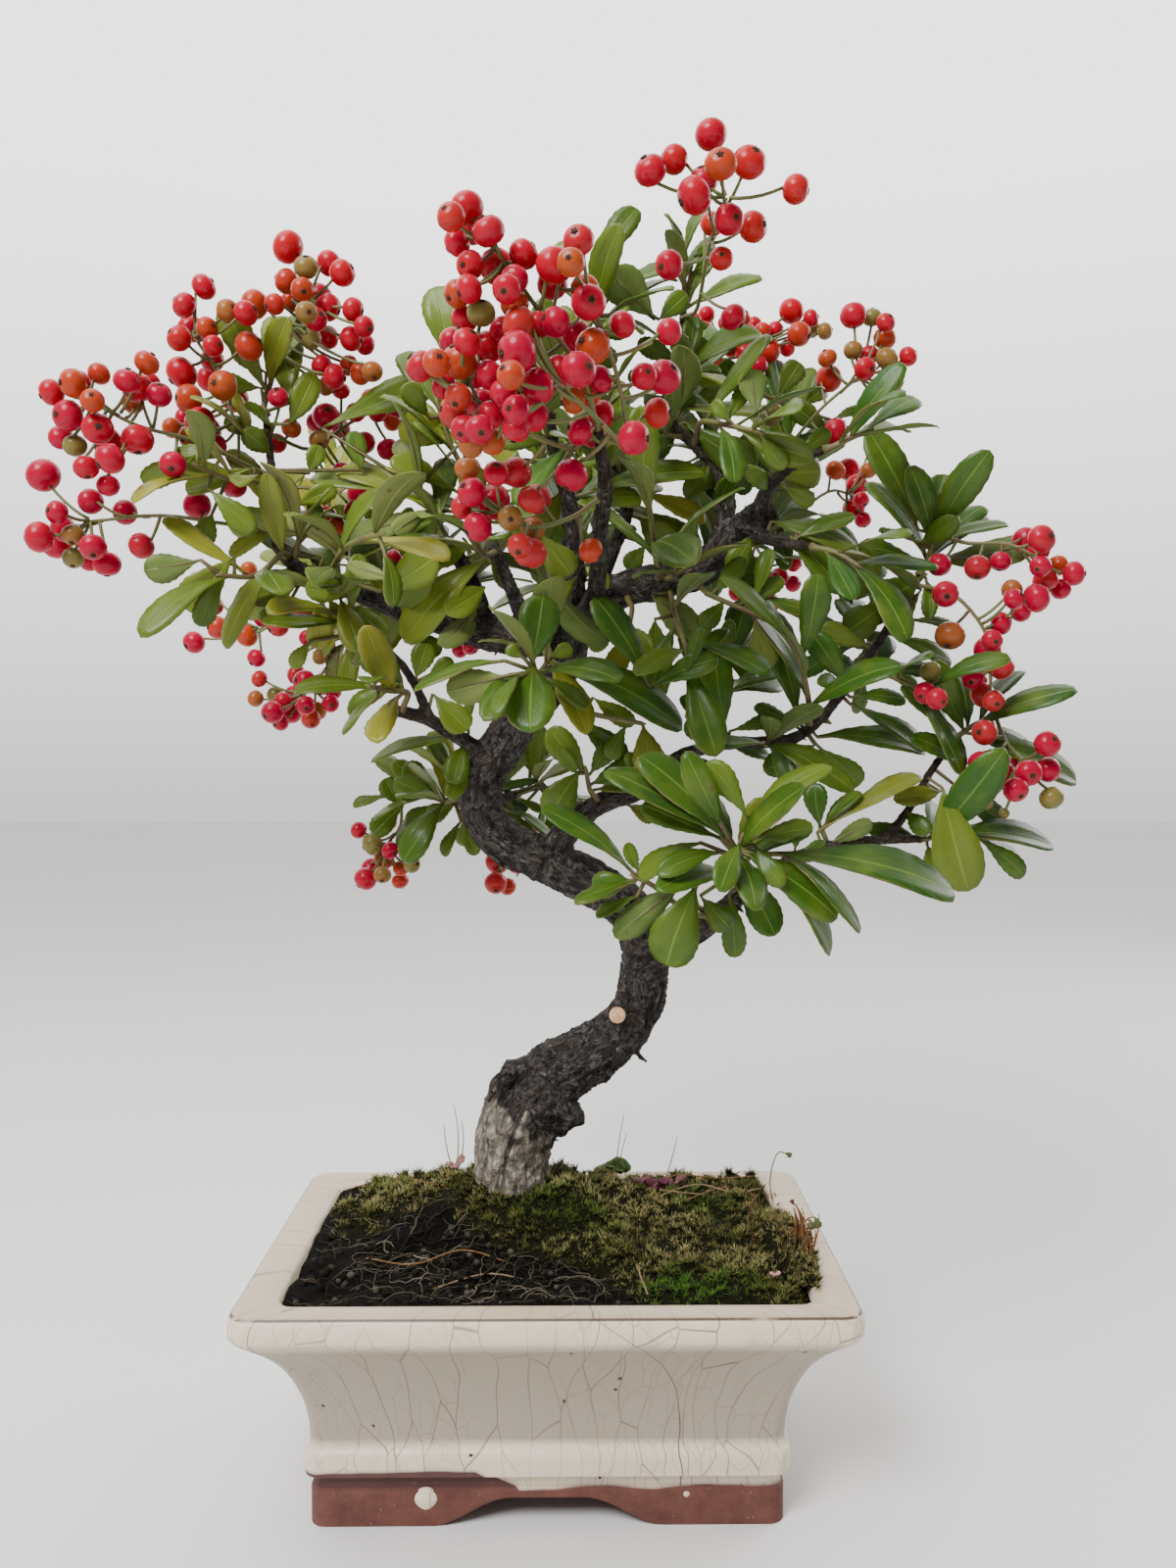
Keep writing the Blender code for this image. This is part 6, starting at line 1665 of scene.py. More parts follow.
class BONSAI_OT_pot(bpy.types.Operator):
    """Makes the glazed pot with its crackle, bare clay foot and drips."""

    bl_idname = "bonsai.pot"
    bl_label = "Glazed pot"

    def execute(self, context):
        settings = context.scene.bonsai_pot
        wall = [tuple(row) for row in smooth_route(POT_PROFILE[4:11], 5)]
        lip = [
            (51.2, 77.0, 51.9, 5.5), (52.4, 77.9, 52.4, 5.5), (54.0, 78.0, 52.5, 5.5),
            (55.6, 78.0, 52.5, 5.5), (56.8, 77.8, 52.3, 5.5), (57.6, 77.4, 51.9, 5.4),
            (58.05, 76.95, 51.45, 5.2), (58.25, 76.6, 51.1, 5.1), (58.4, 75.4, 50.1, 5.0),
            (58.5, 73.0, 48.4, 5.4), (58.45, 70.0, 46.2, 5.8), (58.2, 68.4, 44.8, 6.0),
            (57.6, 67.5, 44.0, 6.0), (56.6, 67.0, 43.5, 6.0), (45.0, 63.5, 41.0, 5.7),
            (30.0, 59.0, 37.6, 5.4), (13.0, 54.0, 34.0, 5.0),
        ]
        pot = object_of("pot_body", mesh_of("pot_body", lofted([*POT_PROFILE[:4], *wall, *lip], 8)))
        stand_up = Matrix.Rotation(math.radians(90), 4, "X")
        stand_side = Matrix.Rotation(math.radians(90), 4, "Z") @ stand_up
        far = POT_PROFILE[12][1] + 10
        inner = rounded_outline(FOOT_HALF[0] - FOOT_WALL, FOOT_HALF[1] - FOOT_WALL, 4.0, 6)
        tools = [
            prism(inner, -1.0, FLOOR_UNDER),
            prism(arch_outline(ARCH_BOTTOM_HALF, ARCH_TOP_HALF, ARCH_TOP), -far, far, stand_up),
            prism(arch_outline(SIDE_ARCH_HALF, SIDE_ARCH_HALF / 3, ARCH_TOP), -far, far, stand_side),
        ]
        for sign in (-1, 1):
            radii = {"radius1": DRAIN_RADIUS, "radius2": DRAIN_RADIUS}
            drain = solid(bmesh.ops.create_cone, cap_ends=True, segments=32, depth=20, **radii)
            tools.append(moved(drain, Matrix.Translation((sign * DRAIN_X, 0, FLOOR_UNDER + 2))))
        for shape in tools:
            cutter = object_of("pot_cutter", mesh_of("pot_cutter", shape))
            cut = pot.modifiers.new("cut", "BOOLEAN")
            cut.operation = "DIFFERENCE"
            cut.solver = "EXACT"
            cut.object = cutter
            pot = object_of("pot_body", applied_mesh(pot))
            bpy.data.objects.remove(cutter, do_unlink=True)
        whole = bmesh.new()
        whole.from_mesh(pot.data)
        bpy.data.objects.remove(pot, do_unlink=True)
        bmesh.ops.remove_doubles(whole, verts=whole.verts, dist=1e-4)
        layer = whole.verts.layers.float_color.new("tone")
        for vert in whole.verts:
            outside = abs(vert.co.x) > LIP_OUTSIDE[0] or abs(vert.co.y) > LIP_OUTSIDE[1]
            worn = outside and WORN_LOW < vert.co.z < WORN_HIGH
            vert[layer] = (float(worn), 0.0, 0.0, 1.0)
        glaze = glaze_finish(tuple(settings.cream), tuple(settings.clay))
        piece = Piece("glazed_pot", [glaze], "glaze", ["pot"])
        piece.add(whole, None, 0)
        for place, size in (((-30.6, -39.6, 6.9), (3.1, 1.0, 2.9)), ((35.0, -39.7, 7.8), (0.9, 0.6, 0.9))):
            drip = solid(bmesh.ops.create_uvsphere, u_segments=24, v_segments=14, radius=1.0)
            for vert in drip.verts:
                if vert.co.z < 0:
                    vert.co.x *= 1 - 0.35 * vert.co.z * vert.co.z
            moved(drip, Matrix.Translation(place) @ Matrix.Diagonal((*size, 1)))
            piece.add(drip, (0.0, 1.0, 0.0, 1.0), 0)
        piece.done(math.radians(40))
        return {"FINISHED"}


class BONSAI_OT_drain_mesh(bpy.types.Operator):
    """Gives the drain mesh in the pot its black plastic finish."""

    bl_idname = "bonsai.drain_mesh"
    bl_label = "Drain mesh"

    def execute(self, context):
        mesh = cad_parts["drain_mesh"].data
        mesh.materials.clear()
        mesh.materials.append(plain_finish("black_mesh", (0.012, 0.012, 0.013), 0.5, 0.4, 900.0))
        return {"FINISHED"}


# Ground


def in_mouth(x, y, inset=0.0):
    """Whether a point lies over the soil inside the pot's lip."""
    return abs(x) < MOUTH_HALF[0] - inset and abs(y) < MOUTH_HALF[1] - inset


def waves(x, y, scale, layer):
    """Smooth noise over the ground, from about -1 to 1. Each layer is another pattern."""
    return noise.noise(Vector((x * scale, y * scale, layer)))


def moss_share(x, y):
    """How thick the moss grows at a place: 0 on bare soil, 1 well inside the carpet."""
    inside = False
    count = len(MOSS_OUTLINE)
    nearest = 1e9
    for index in range(count):
        ax, ay = MOSS_OUTLINE[index]
        bx, by = MOSS_OUTLINE[(index + 1) % count]
        if (ay > y) != (by > y) and x < (bx - ax) * (y - ay) / (by - ay) + ax:
            inside = not inside
        span = Vector((bx - ax, by - ay))
        share = clamp(Vector((x - ax, y - ay)).dot(span) / span.length_squared)
        nearest = min(nearest, math.hypot(x - ax - span.x * share, y - ay - span.y * share))
    patch = 6.0 * (1 - math.hypot((x + 48) / 12, (y - 10) / 9))
    signed = max(nearest if inside else -nearest, patch)
    ragged = 5.0 * waves(x, y, 0.09, 3.0)
    return clamp(0.5 + (signed + ragged) / 5.0)


def ground_height(x, y):
    """The height of the fine soil with its lumps."""
    return mound(x, y) + 1.1 * noise.fractal(Vector((x * 0.11, y * 0.11, 7.0)), 0.9, 2.1, 5)


def clump(x, y):
    """How full the moss stands at a place: 0 in a gap between clumps, 1 on top of one."""
    drift = noise.noise_vector(Vector((x * 0.11, y * 0.11, 4.0)))
    gap = noise.voronoi(Vector((x * 0.17 + drift.x * 0.6, y * 0.17 + drift.y * 0.6, 2.0)))[0]
    return clamp((gap[1] - gap[0]) * 2.2)


def spill_reach(y):
    """How far the moss at the right lies over the rim, in millimetres."""
    along = (y + 40) / 56
    return 4.2 * math.sin(math.pi * along) if 0 < along < 1 else 0.0


def spill_height(x, y):
    """The top of the moss that lies over the rim at the right, or the rim's own top."""
    reach = spill_reach(y)
    across = (x - SPILL_MIDDLE) / (reach + RIM_TOP_AT - SPILL_MIDDLE + 0.1)
    if reach == 0.0 or abs(across) >= 1:
        return RIM_TOP
    lumps = 0.9 + 0.25 * waves(x, y, 0.3, 6.0)
    return RIM_TOP + 0.2 + (0.6 + reach) * lumps * math.sqrt(1 - across * across)


def moss_height(x, y):
    """The top of the mat: cushions where the moss grows, sunk into the soil where it doesn't."""
    cushion = 0.1 + 3.8 * clump(x, y) ** 0.6 + 1.2 * waves(x, y, 0.09, 1.0)
    cushion += 0.5 * waves(x, y, 0.5, 5.0) + 0.05 * max(0.0, y - 8)
    return mound(x, y) + cushion * moss_share(x, y) - 1.5 * (1 - moss_share(x, y))


def covered_block(height_at, cells, bottom, edge_inset):
    """A closed block whose top follows a height, cut to the pot's mouth."""
    shape = solid(bmesh.ops.create_grid, x_segments=cells[0], y_segments=cells[1], size=1.0)
    half_x, half_y = (half - edge_inset for half in MOUTH_HALF)
    for vert in shape.verts:
        x = vert.co.x * half_x
        y = vert.co.y * half_y
        over_x = abs(x) - (half_x - MOUTH_CORNER)
        over_y = abs(y) - (half_y - MOUTH_CORNER)
        if over_x > 0 and over_y > 0:
            pull = 1 - max(over_x, over_y) / math.hypot(over_x, over_y)
            x -= math.copysign(over_x * pull, x)
            y -= math.copysign(over_y * pull, y)
        vert.co = (x, y, height_at(x, y))
    for vert in fresh_verts(bmesh.ops.extrude_face_region(shape, geom=shape.faces[:])):
        vert.co = (vert.co.x * BLOCK_TAPER, vert.co.y * BLOCK_TAPER, bottom)
    return closed(shape)


class BONSAI_OT_soil(bpy.types.Operator):
    """Makes the dark soil with its crumbs and the fine pale roots that lie on it. The soil is near black,
    partly its own dark colour and partly painted shade.
    """

    bl_idname = "bonsai.soil"
    bl_label = "Soil and fine roots"

    def execute(self, context):
        settings = context.scene.bonsai_ground
        materials = [
            # The soil's own dark colour, made near black partly as painted shade
            plain_finish("dark_soil_and_shade", (0.003, 0.0024, 0.0018), 0.95, 0.7, 420.0),
            toned_finish("soil_crumb", 0.9, *CRUMB_COLOURS),
            toned_finish("fine_root", 0.8, *ROOT_COLOURS),
        ]
        piece = Piece("soil_and_roots", materials, "soil", ["soil"])
        piece.add(covered_block(ground_height, (130, 86), 40.0, 0.4), BARE_TONE, 0)
        draw = random.Random("crumbs")
        for _ in range(settings.crumbs):
            x = draw.uniform(-64, 64)
            y = draw.uniform(-41, 41)
            if moss_share(x, y) > 0.6 and draw.random() < 0.8:
                continue
            crumb = solid(bmesh.ops.create_icosphere, subdivisions=1, radius=draw.uniform(0.35, 1.3))
            for vert in crumb.verts:
                vert.co *= draw.uniform(0.7, 1.25)
            moved(crumb, Matrix.Translation((x, y, ground_height(x, y) + 0.2)))
            piece.add(crumb, (draw.random() ** 2, draw.random() ** 9, 0, 1), 1)
        draw = random.Random("roots")
        for number in range(settings.roots):
            x = draw.uniform(-65, 42)
            y = draw.uniform(-42, 26)
            if moss_share(x, y) > 0.7 and draw.random() < 0.75:
                continue
            heading = draw.uniform(0, math.tau)
            radius = draw.uniform(0.06, 0.13) if number % 16 else draw.uniform(0.25, 0.45)
            rows = []
            steps = draw.randint(6, 18)
            lift = draw.uniform(0.2, 1.8)
            for step in range(steps):
                heading += draw.uniform(-0.7, 0.7)
                x += 1.9 * math.cos(heading)
                y += 1.9 * math.sin(heading) * 0.8
                if not in_mouth(x, y, 1.5):
                    break
                hump = abs(math.sin(2.2 * math.pi * step / steps)) * lift
                z = ground_height(x, y) + 0.15 + hump + draw.uniform(-0.3, 0.4)
                rows.append(Vector((x, y, z, radius * (1 - 0.6 * step / steps))))
            if len(rows) > 3:
                rows[0].z -= 1.5
                tone = (draw.random() ** 1.8, draw.random() ** 3, 0, 1)
                piece.add_tube(smooth_route(rows, 2), 3, tone, 2)
        piece.done()
        return {"FINISHED"}


def moss_tuft(draw, leaves, height, spread):
    """A tiny rosette of pointed moss leaves, and the share of its height that each of its vertices has."""
    tuft = bmesh.new()
    for number in range(leaves):
        blade = solid(bmesh.ops.create_cone, segments=3, radius1=0.17, radius2=0.0, depth=1.0)
        bmesh.ops.remove_doubles(blade, verts=blade.verts, dist=0.001)
        bmesh.ops.holes_fill(blade, edges=blade.edges, sides=3)
        moved(blade, Matrix.Translation((0, 0, 0.5)))
        lean = draw.uniform(0.15, 1.0) * spread
        turn = GOLDEN_ANGLE * number + draw.uniform(-0.3, 0.3)
        move = Matrix.Rotation(turn, 4, "Z") @ Matrix.Rotation(lean, 4, "Y")
        moved(blade, move @ Matrix.Diagonal((1.0, 0.7, height * draw.uniform(0.6, 1.1), 1)))
        join(tuft, blade)
    tuft.verts.layers.float_color.new("tone")
    tuft.loops.layers.uv.new("UVMap")
    for face in tuft.faces:
        face.material_index = 1
    mesh = mesh_of("moss_tuft", tuft)
    top = max(vertex.co.z for vertex in mesh.vertices)
    return mesh, [max(0.0, vertex.co.z / top) for vertex in mesh.vertices]


class BONSAI_OT_moss(bpy.types.Operator):
    """Makes the moss carpet: a lumpy mat with thousands of tiny tufts."""

    bl_idname = "bonsai.moss"
    bl_label = "Moss carpet"

    def execute(self, context):
        settings = context.scene.bonsai_ground
        # The mat's near-black colours are painted shade deep in the moss
        materials = [toned_finish("moss_mat", 0.95, *MAT_PAINTED_SHADE_COLOURS), moss_finish()]
        piece = Piece("moss_carpet", materials, "moss", ["moss"])
        piece.add(covered_block(moss_height, (110, 72), 50.0, 0.5), MAT_TONE, 0)
        draw = random.Random("moss")
        kinds = [moss_tuft(draw, 6, draw.uniform(1.3, 2.4), 1.15) for _ in range(TUFT_KINDS)]
        self.plant_carpet(piece, kinds, draw, settings.tufts)
        for lump in range(RIM_LUMPS):
            self.add_lump(piece, -32 + 3.6 * lump)
        self.plant_rim(piece, kinds, random.Random("moss on the rim"))
        for mesh, _ in kinds:
            bpy.data.meshes.remove(mesh)
        piece.done()
        return {"FINISHED"}

    def plant_carpet(self, piece, kinds, draw, count):
        """Plants the tufts inside the pot's mouth, thickest on top of the clumps."""
        placed = 0
        for _ in range(count * 5):
            x = draw.uniform(-66, 66)
            y = draw.uniform(-42.5, 42.5)
            full = clump(x, y)
            if moss_share(x, y) * (0.36 + full) < 0.25 + 0.5 * draw.random():
                continue
            if math.hypot(x - TRUNK_FOOT[0], y - TRUNK_FOOT[1]) < TRUNK_CLEAR:
                continue
            bright = bright_patch(x, y)
            dry = 0.5 + 1.4 * waves(x, y, 0.07, 11.0) + draw.uniform(-0.35, 0.45)
            dry = clamp(dry) * (1 - 0.8 * bright)
            hue = min(1.0, bright + max(0.0, draw.uniform(-0.2, 0.4)))
            place = Vector((x, y, moss_height(x, y) - 0.5))
            plant_tuft(piece, draw.choice(kinds), place, 0.7 + 0.8 * full, (hue, dry), draw)
            placed += 1
            if placed == count:
                break

    def plant_rim(self, piece, kinds, draw):
        """Plants the tufts in the front right corner and over the rim at the right."""
        for _ in range(CORNER_TUFTS):
            x = draw.uniform(57, 66.5)
            y = draw.uniform(-42.5, -33)
            if math.hypot(max(0.0, x - 61), max(0.0, -37.5 - y)) > 5.2:
                continue
            kind = draw.choice(kinds)
            place = Vector((x, y, moss_height(x, y) - 0.4))
            plant_tuft(piece, kind, place, 1.1, (draw.uniform(0.0, 0.5), draw.uniform(0.1, 0.7)), draw)
        for _ in range(RIM_TUFTS):
            y = draw.uniform(-38, 14)
            x = draw.uniform(61, SPILL_MIDDLE + spill_reach(y) + SPILL_FOOT)
            z = spill_height(x, y) - 0.4
            if z < max(moss_height(x, y) - 0.5, RIM_TOP + 0.15):
                continue
            kind = draw.choice(kinds)
            dry = draw.uniform(0.35, 1.0)
            plant_tuft(piece, kind, Vector((x, y, z)), 1.0, (draw.uniform(0.0, 0.2), dry), draw)

    def add_lump(self, piece, y):
        """Adds one of the lumps that carry the moss over the rim."""
        lump = solid(bmesh.ops.create_uvsphere, u_segments=12, v_segments=8, radius=1.0)
        reach = spill_reach(y)
        for vert in lump.verts:
            x = SPILL_MIDDLE + vert.co.x * (reach + SPILL_FOOT)
            z = RIM_TOP + 0.2 + max(0.0, vert.co.z) * (0.4 + reach) * 0.9
            vert.co = (x, y + vert.co.y * 3.4, z)
        bmesh.ops.remove_doubles(lump, verts=lump.verts, dist=0.0001)
        piece.add(lump, MAT_TONE, 0)


def plant_tuft(piece, kind, place, size, tone, draw):
    """Adds a copy of a tuft, turned and leaned by chance. Tone is how bright and how dry it is."""
    mesh, heights = kind
    copy = mesh.copy()
    lean = Euler((draw.uniform(-0.5, 0.5), draw.uniform(-0.5, 0.5), draw.uniform(0, math.tau)))
    move = Matrix.Translation(place) @ lean.to_matrix().to_4x4()
    copy.transform(move @ Matrix.Scale(size * draw.uniform(0.8, 1.25), 4))
    values = []
    for height in heights:
        values.extend((*tone, height, 1.0))
    copy.attributes["tone"].data.foreach_set("color", values)
    piece.whole.from_mesh(copy)
    bpy.data.meshes.remove(copy)


def bright_patch(x, y):
    """The bright green patches, the largest at the front right."""
    spots = (
        (36, -37, 13, 8, 1.0), (6, -6, 10, 7, 0.45), (-2, 0, 8, 6, 0.5), (44, 18, 9, 8, 0.5),
        (-50, 30, 6, 6, 0.5),
    )
    best = 0.0
    for cx, cy, half_x, half_y, most in spots:
        away = math.hypot((x - cx) / half_x, (y - cy) / half_y)
        best = max(best, min(1.0, 1.6 - away) * most)
    return best


# Small weeds between the moss: the X and Y in the picture of the foot, the tops of its stalks, the number
# of leaves, their size in mm and their colour: how purple, how pale
WEEDS = (
    (463, 1200, ((462, 1130), (452, 1150), (470, 1146)), 4, 4.2, 1.0, 0.55),
    (628, 1192, ((637, 1141), (640, 1160)), 8, 5.0, 0.0, 0.1),
    (674, 1222, ((692, 1164),), 9, 4.4, 1.0, 0.0),
    (655, 1216, (), 5, 3.2, 0.9, 0.1),
    (690, 1219, ((700, 1196),), 5, 3.4, 0.95, 0.2),
    (793, 1316, (), 2, 1.8, 1.0, 1.0),
    (614, 1186, (), 4, 3.2, 0.0, 0.2),
)
# Dead stems that lie on the moss: their points in the picture
DEAD_STEMS = (
    ((660, 1216), (690, 1205), (735, 1209), (770, 1207)),
    ((668, 1224), (712, 1214), (750, 1222), (779, 1218)),
    ((690, 1230), (742, 1218), (774, 1228)), ((640, 1210), (680, 1222), (720, 1226)),
    ((655, 1290), (653, 1306), (662, 1330)), ((350, 1212), (400, 1206), (452, 1214)),
    ((520, 1290), (470, 1282), (420, 1296), (372, 1290)), ((560, 1316), (500, 1306), (440, 1322)),
)
# Stalks that curl over at their tops: their points in the picture, the bud's reach and width in mm, and
# how purple it is
CURLS = (
    (
        ((790, 1229), (788, 1212), (790, 1196), (794, 1184), (798, 1180), (803, 1181)),
        (2.2, -0.3, -0.9), 1.5, 0.0,
    ),
    (((822, 1272), (822, 1256), (828, 1249), (835, 1248)), (1.0, -0.5, -3.0), 2.0, 0.1),
    (((820, 1270), (821, 1254), (826, 1251), (831, 1252)), (0.5, -0.5, -2.4), 1.6, 0.2),
    (((819, 1266), (820, 1248), (816, 1237), (812, 1234)), (-0.4, -0.3, 1.0), 1.0, 1.0),
)


def standing(x, y, lift=0.0):
    """The point of the ground that the picture shows at a place."""
    for step in range(SIGHT_STEPS):
        point = seen(x, y, MOUTH_FRONT + SIGHT_STEP * step)
        top = max(ground_height(point.x, point.y), moss_height(point.x, point.y)) + lift
        if point.x > 60:
            top = max(top, spill_height(point.x, point.y) + lift)
        if point.z <= top or point.y >= MOUTH_HALF[1] - 2:
            point.z = top
            break
    return point


class BONSAI_OT_weeds(bpy.types.Operator):
    """Makes the seedlings, the dead stems and the rusty hairs with their capsules on the moss."""

    bl_idname = "bonsai.weeds"
    bl_label = "Small weeds"

    def execute(self, context):
        materials = [
            toned_finish("weed_leaf", 0.6, (0.06, 0.17, 0.035), (0.11, 0.028, 0.045), (0.5, 0.28, 0.26)),
            toned_finish("weed_stem", 0.7, (0.22, 0.2, 0.07), (0.2, 0.07, 0.022), (0.45, 0.38, 0.27)),
        ]
        piece = Piece("small_weeds", materials, "moss")
        for number, (x, y, tops, leaves, size, purple, pale) in enumerate(WEEDS):
            draw = random.Random(f"weed {number}")
            foot = standing(x, y)
            for top in tops:
                end = seen(*top, foot.y + draw.uniform(-2, 2))
                sway = Vector((draw.uniform(-1.5, 1.5), 0, 0))
                piece.add_tube(bent(foot - UP, end, sway, (0.22, 0.12), 8), 4, (0.3, 0.3, 0, 1), 1)
            for leaf in range(leaves):
                turn = GOLDEN_ANGLE * leaf
                rise = draw.uniform(0.3, 1.1)
                out = Vector((math.cos(turn), math.sin(turn), rise)).normalized()
                root = foot + UP * (draw.uniform(0.2, 1.8) + 2.5 * (1 - purple))
                tip = root + out * size * draw.uniform(0.8, 1.2)
                up = Vector((draw.uniform(-0.4, 0.4), -0.7, 1.0))
                blade = leaf_blade(root, tip, up, size * (0.8 - 0.3 * purple), draw, (2, 6))[0]
                piece.add(blade, (purple, pale, 0, 1), 0)
        for number, places in enumerate(DEAD_STEMS):
            draw = random.Random(f"dead stem {number}")
            rows = [row_at(standing(*place, draw.uniform(0.6, 1.6)), 0.24) for place in places]
            rows[0].z -= 1.2
            piece.add_tube(smooth_route(rows, 5), 5, (0.9, draw.uniform(0.0, 0.5), 0, 1), 1)
        for places, reach, width, purple in CURLS:
            foot = standing(*places[0])
            rows = [row_at(seen(*place, foot.y), 0.2) for place in places]
            piece.add_tube(smooth_route(rows, 5), 5, (0.2 + 0.8 * purple, 0.0, 0, 1), 1)
            tip = rows[-1].xyz
            bud = leaf_blade(tip, tip + Vector(reach), Vector((0, -1, 0.2)), width, draw, (2, 6))[0]
            piece.add(bud, (purple, 0.1, 0, 1), 0)
        draw = random.Random("rusty stalks")
        for _ in range(RUSTY_STALKS):
            foot = standing(draw.uniform(811, 834), draw.uniform(1258, 1290))
            top = foot + Vector((draw.uniform(-2.5, 2.0), draw.uniform(-2, 2), draw.uniform(4, 9)))
            rows = bent(foot - UP * 0.4, top, Vector((0.6, 0, 0)), (0.3, 0.16), 5)
            piece.add_tube(rows, 4, RUST_TONE, 1)
        draw = random.Random("hairs")
        for _ in range(HAIRS):
            foot = standing(draw.uniform(766, 842), draw.uniform(1234, 1290))
            if not in_mouth(foot.x, foot.y, 2.0):
                continue
            top = foot + Vector((draw.uniform(-2, 2), draw.uniform(-2, 2), draw.uniform(4, 9)))
            piece.add_tube(bent(foot, top, UP * 0, (0.1, 0.07), 4), 3, HAIR_TONE, 1)
            if draw.random() < 0.5:
                head = Vector((top.x + draw.uniform(-1, 1), top.y, top.z - 0.9))
                piece.add_tube(bent(top, head, UP * 0.2, (0.15, 0.32), 3), 5, (1, 0.25, 0, 1), 1)
        piece.done()
        return {"FINISHED"}


# Tree


def tree_routes():
    """The woody routes, smooth, with the sides of their tubes: the thick wood, then the thin branches."""
    thick = [(smooth_route(TRUNK, 6), 24)]
    thin = []
    for name, rows in BRANCHES.items():
        fine = smooth_route(rows, 6)
        turn = len(fine)
        for index, row in enumerate(fine):
            if row.w < THICK_FROM and len(rows) > 3:
                turn = max(index, 4)
                break
        thick.append((fine[: turn + 1], 20 if name in ("left", "right") else 14))
        if turn < len(fine) - 1:
            thin.append((fine[turn - 3 :], 12))
    return thick, thin


def stem_rows():
    """The rows of the trunk, the branches, the shoots and the bunches' stalks, as in the part's source."""
    stems = {name: [Vector(row) for row in rows] for name, rows in BRANCHES.items()}
    for table, radii in ((SHOOTS, STEM_RADII), (BUNCHES, STALK_RADII)):
        for name, (parent, points, _, _) in table.items():
            stems[name] = seated_route(stems[parent], points, radii)
    stems["trunk"] = [Vector(row) for row in TRUNK]
    for name, (parent, places) in TWIGS.items():
        stems[name] = seated_route(stems[parent], [seen(*place) for place in places], STEM_RADII)
    return stems


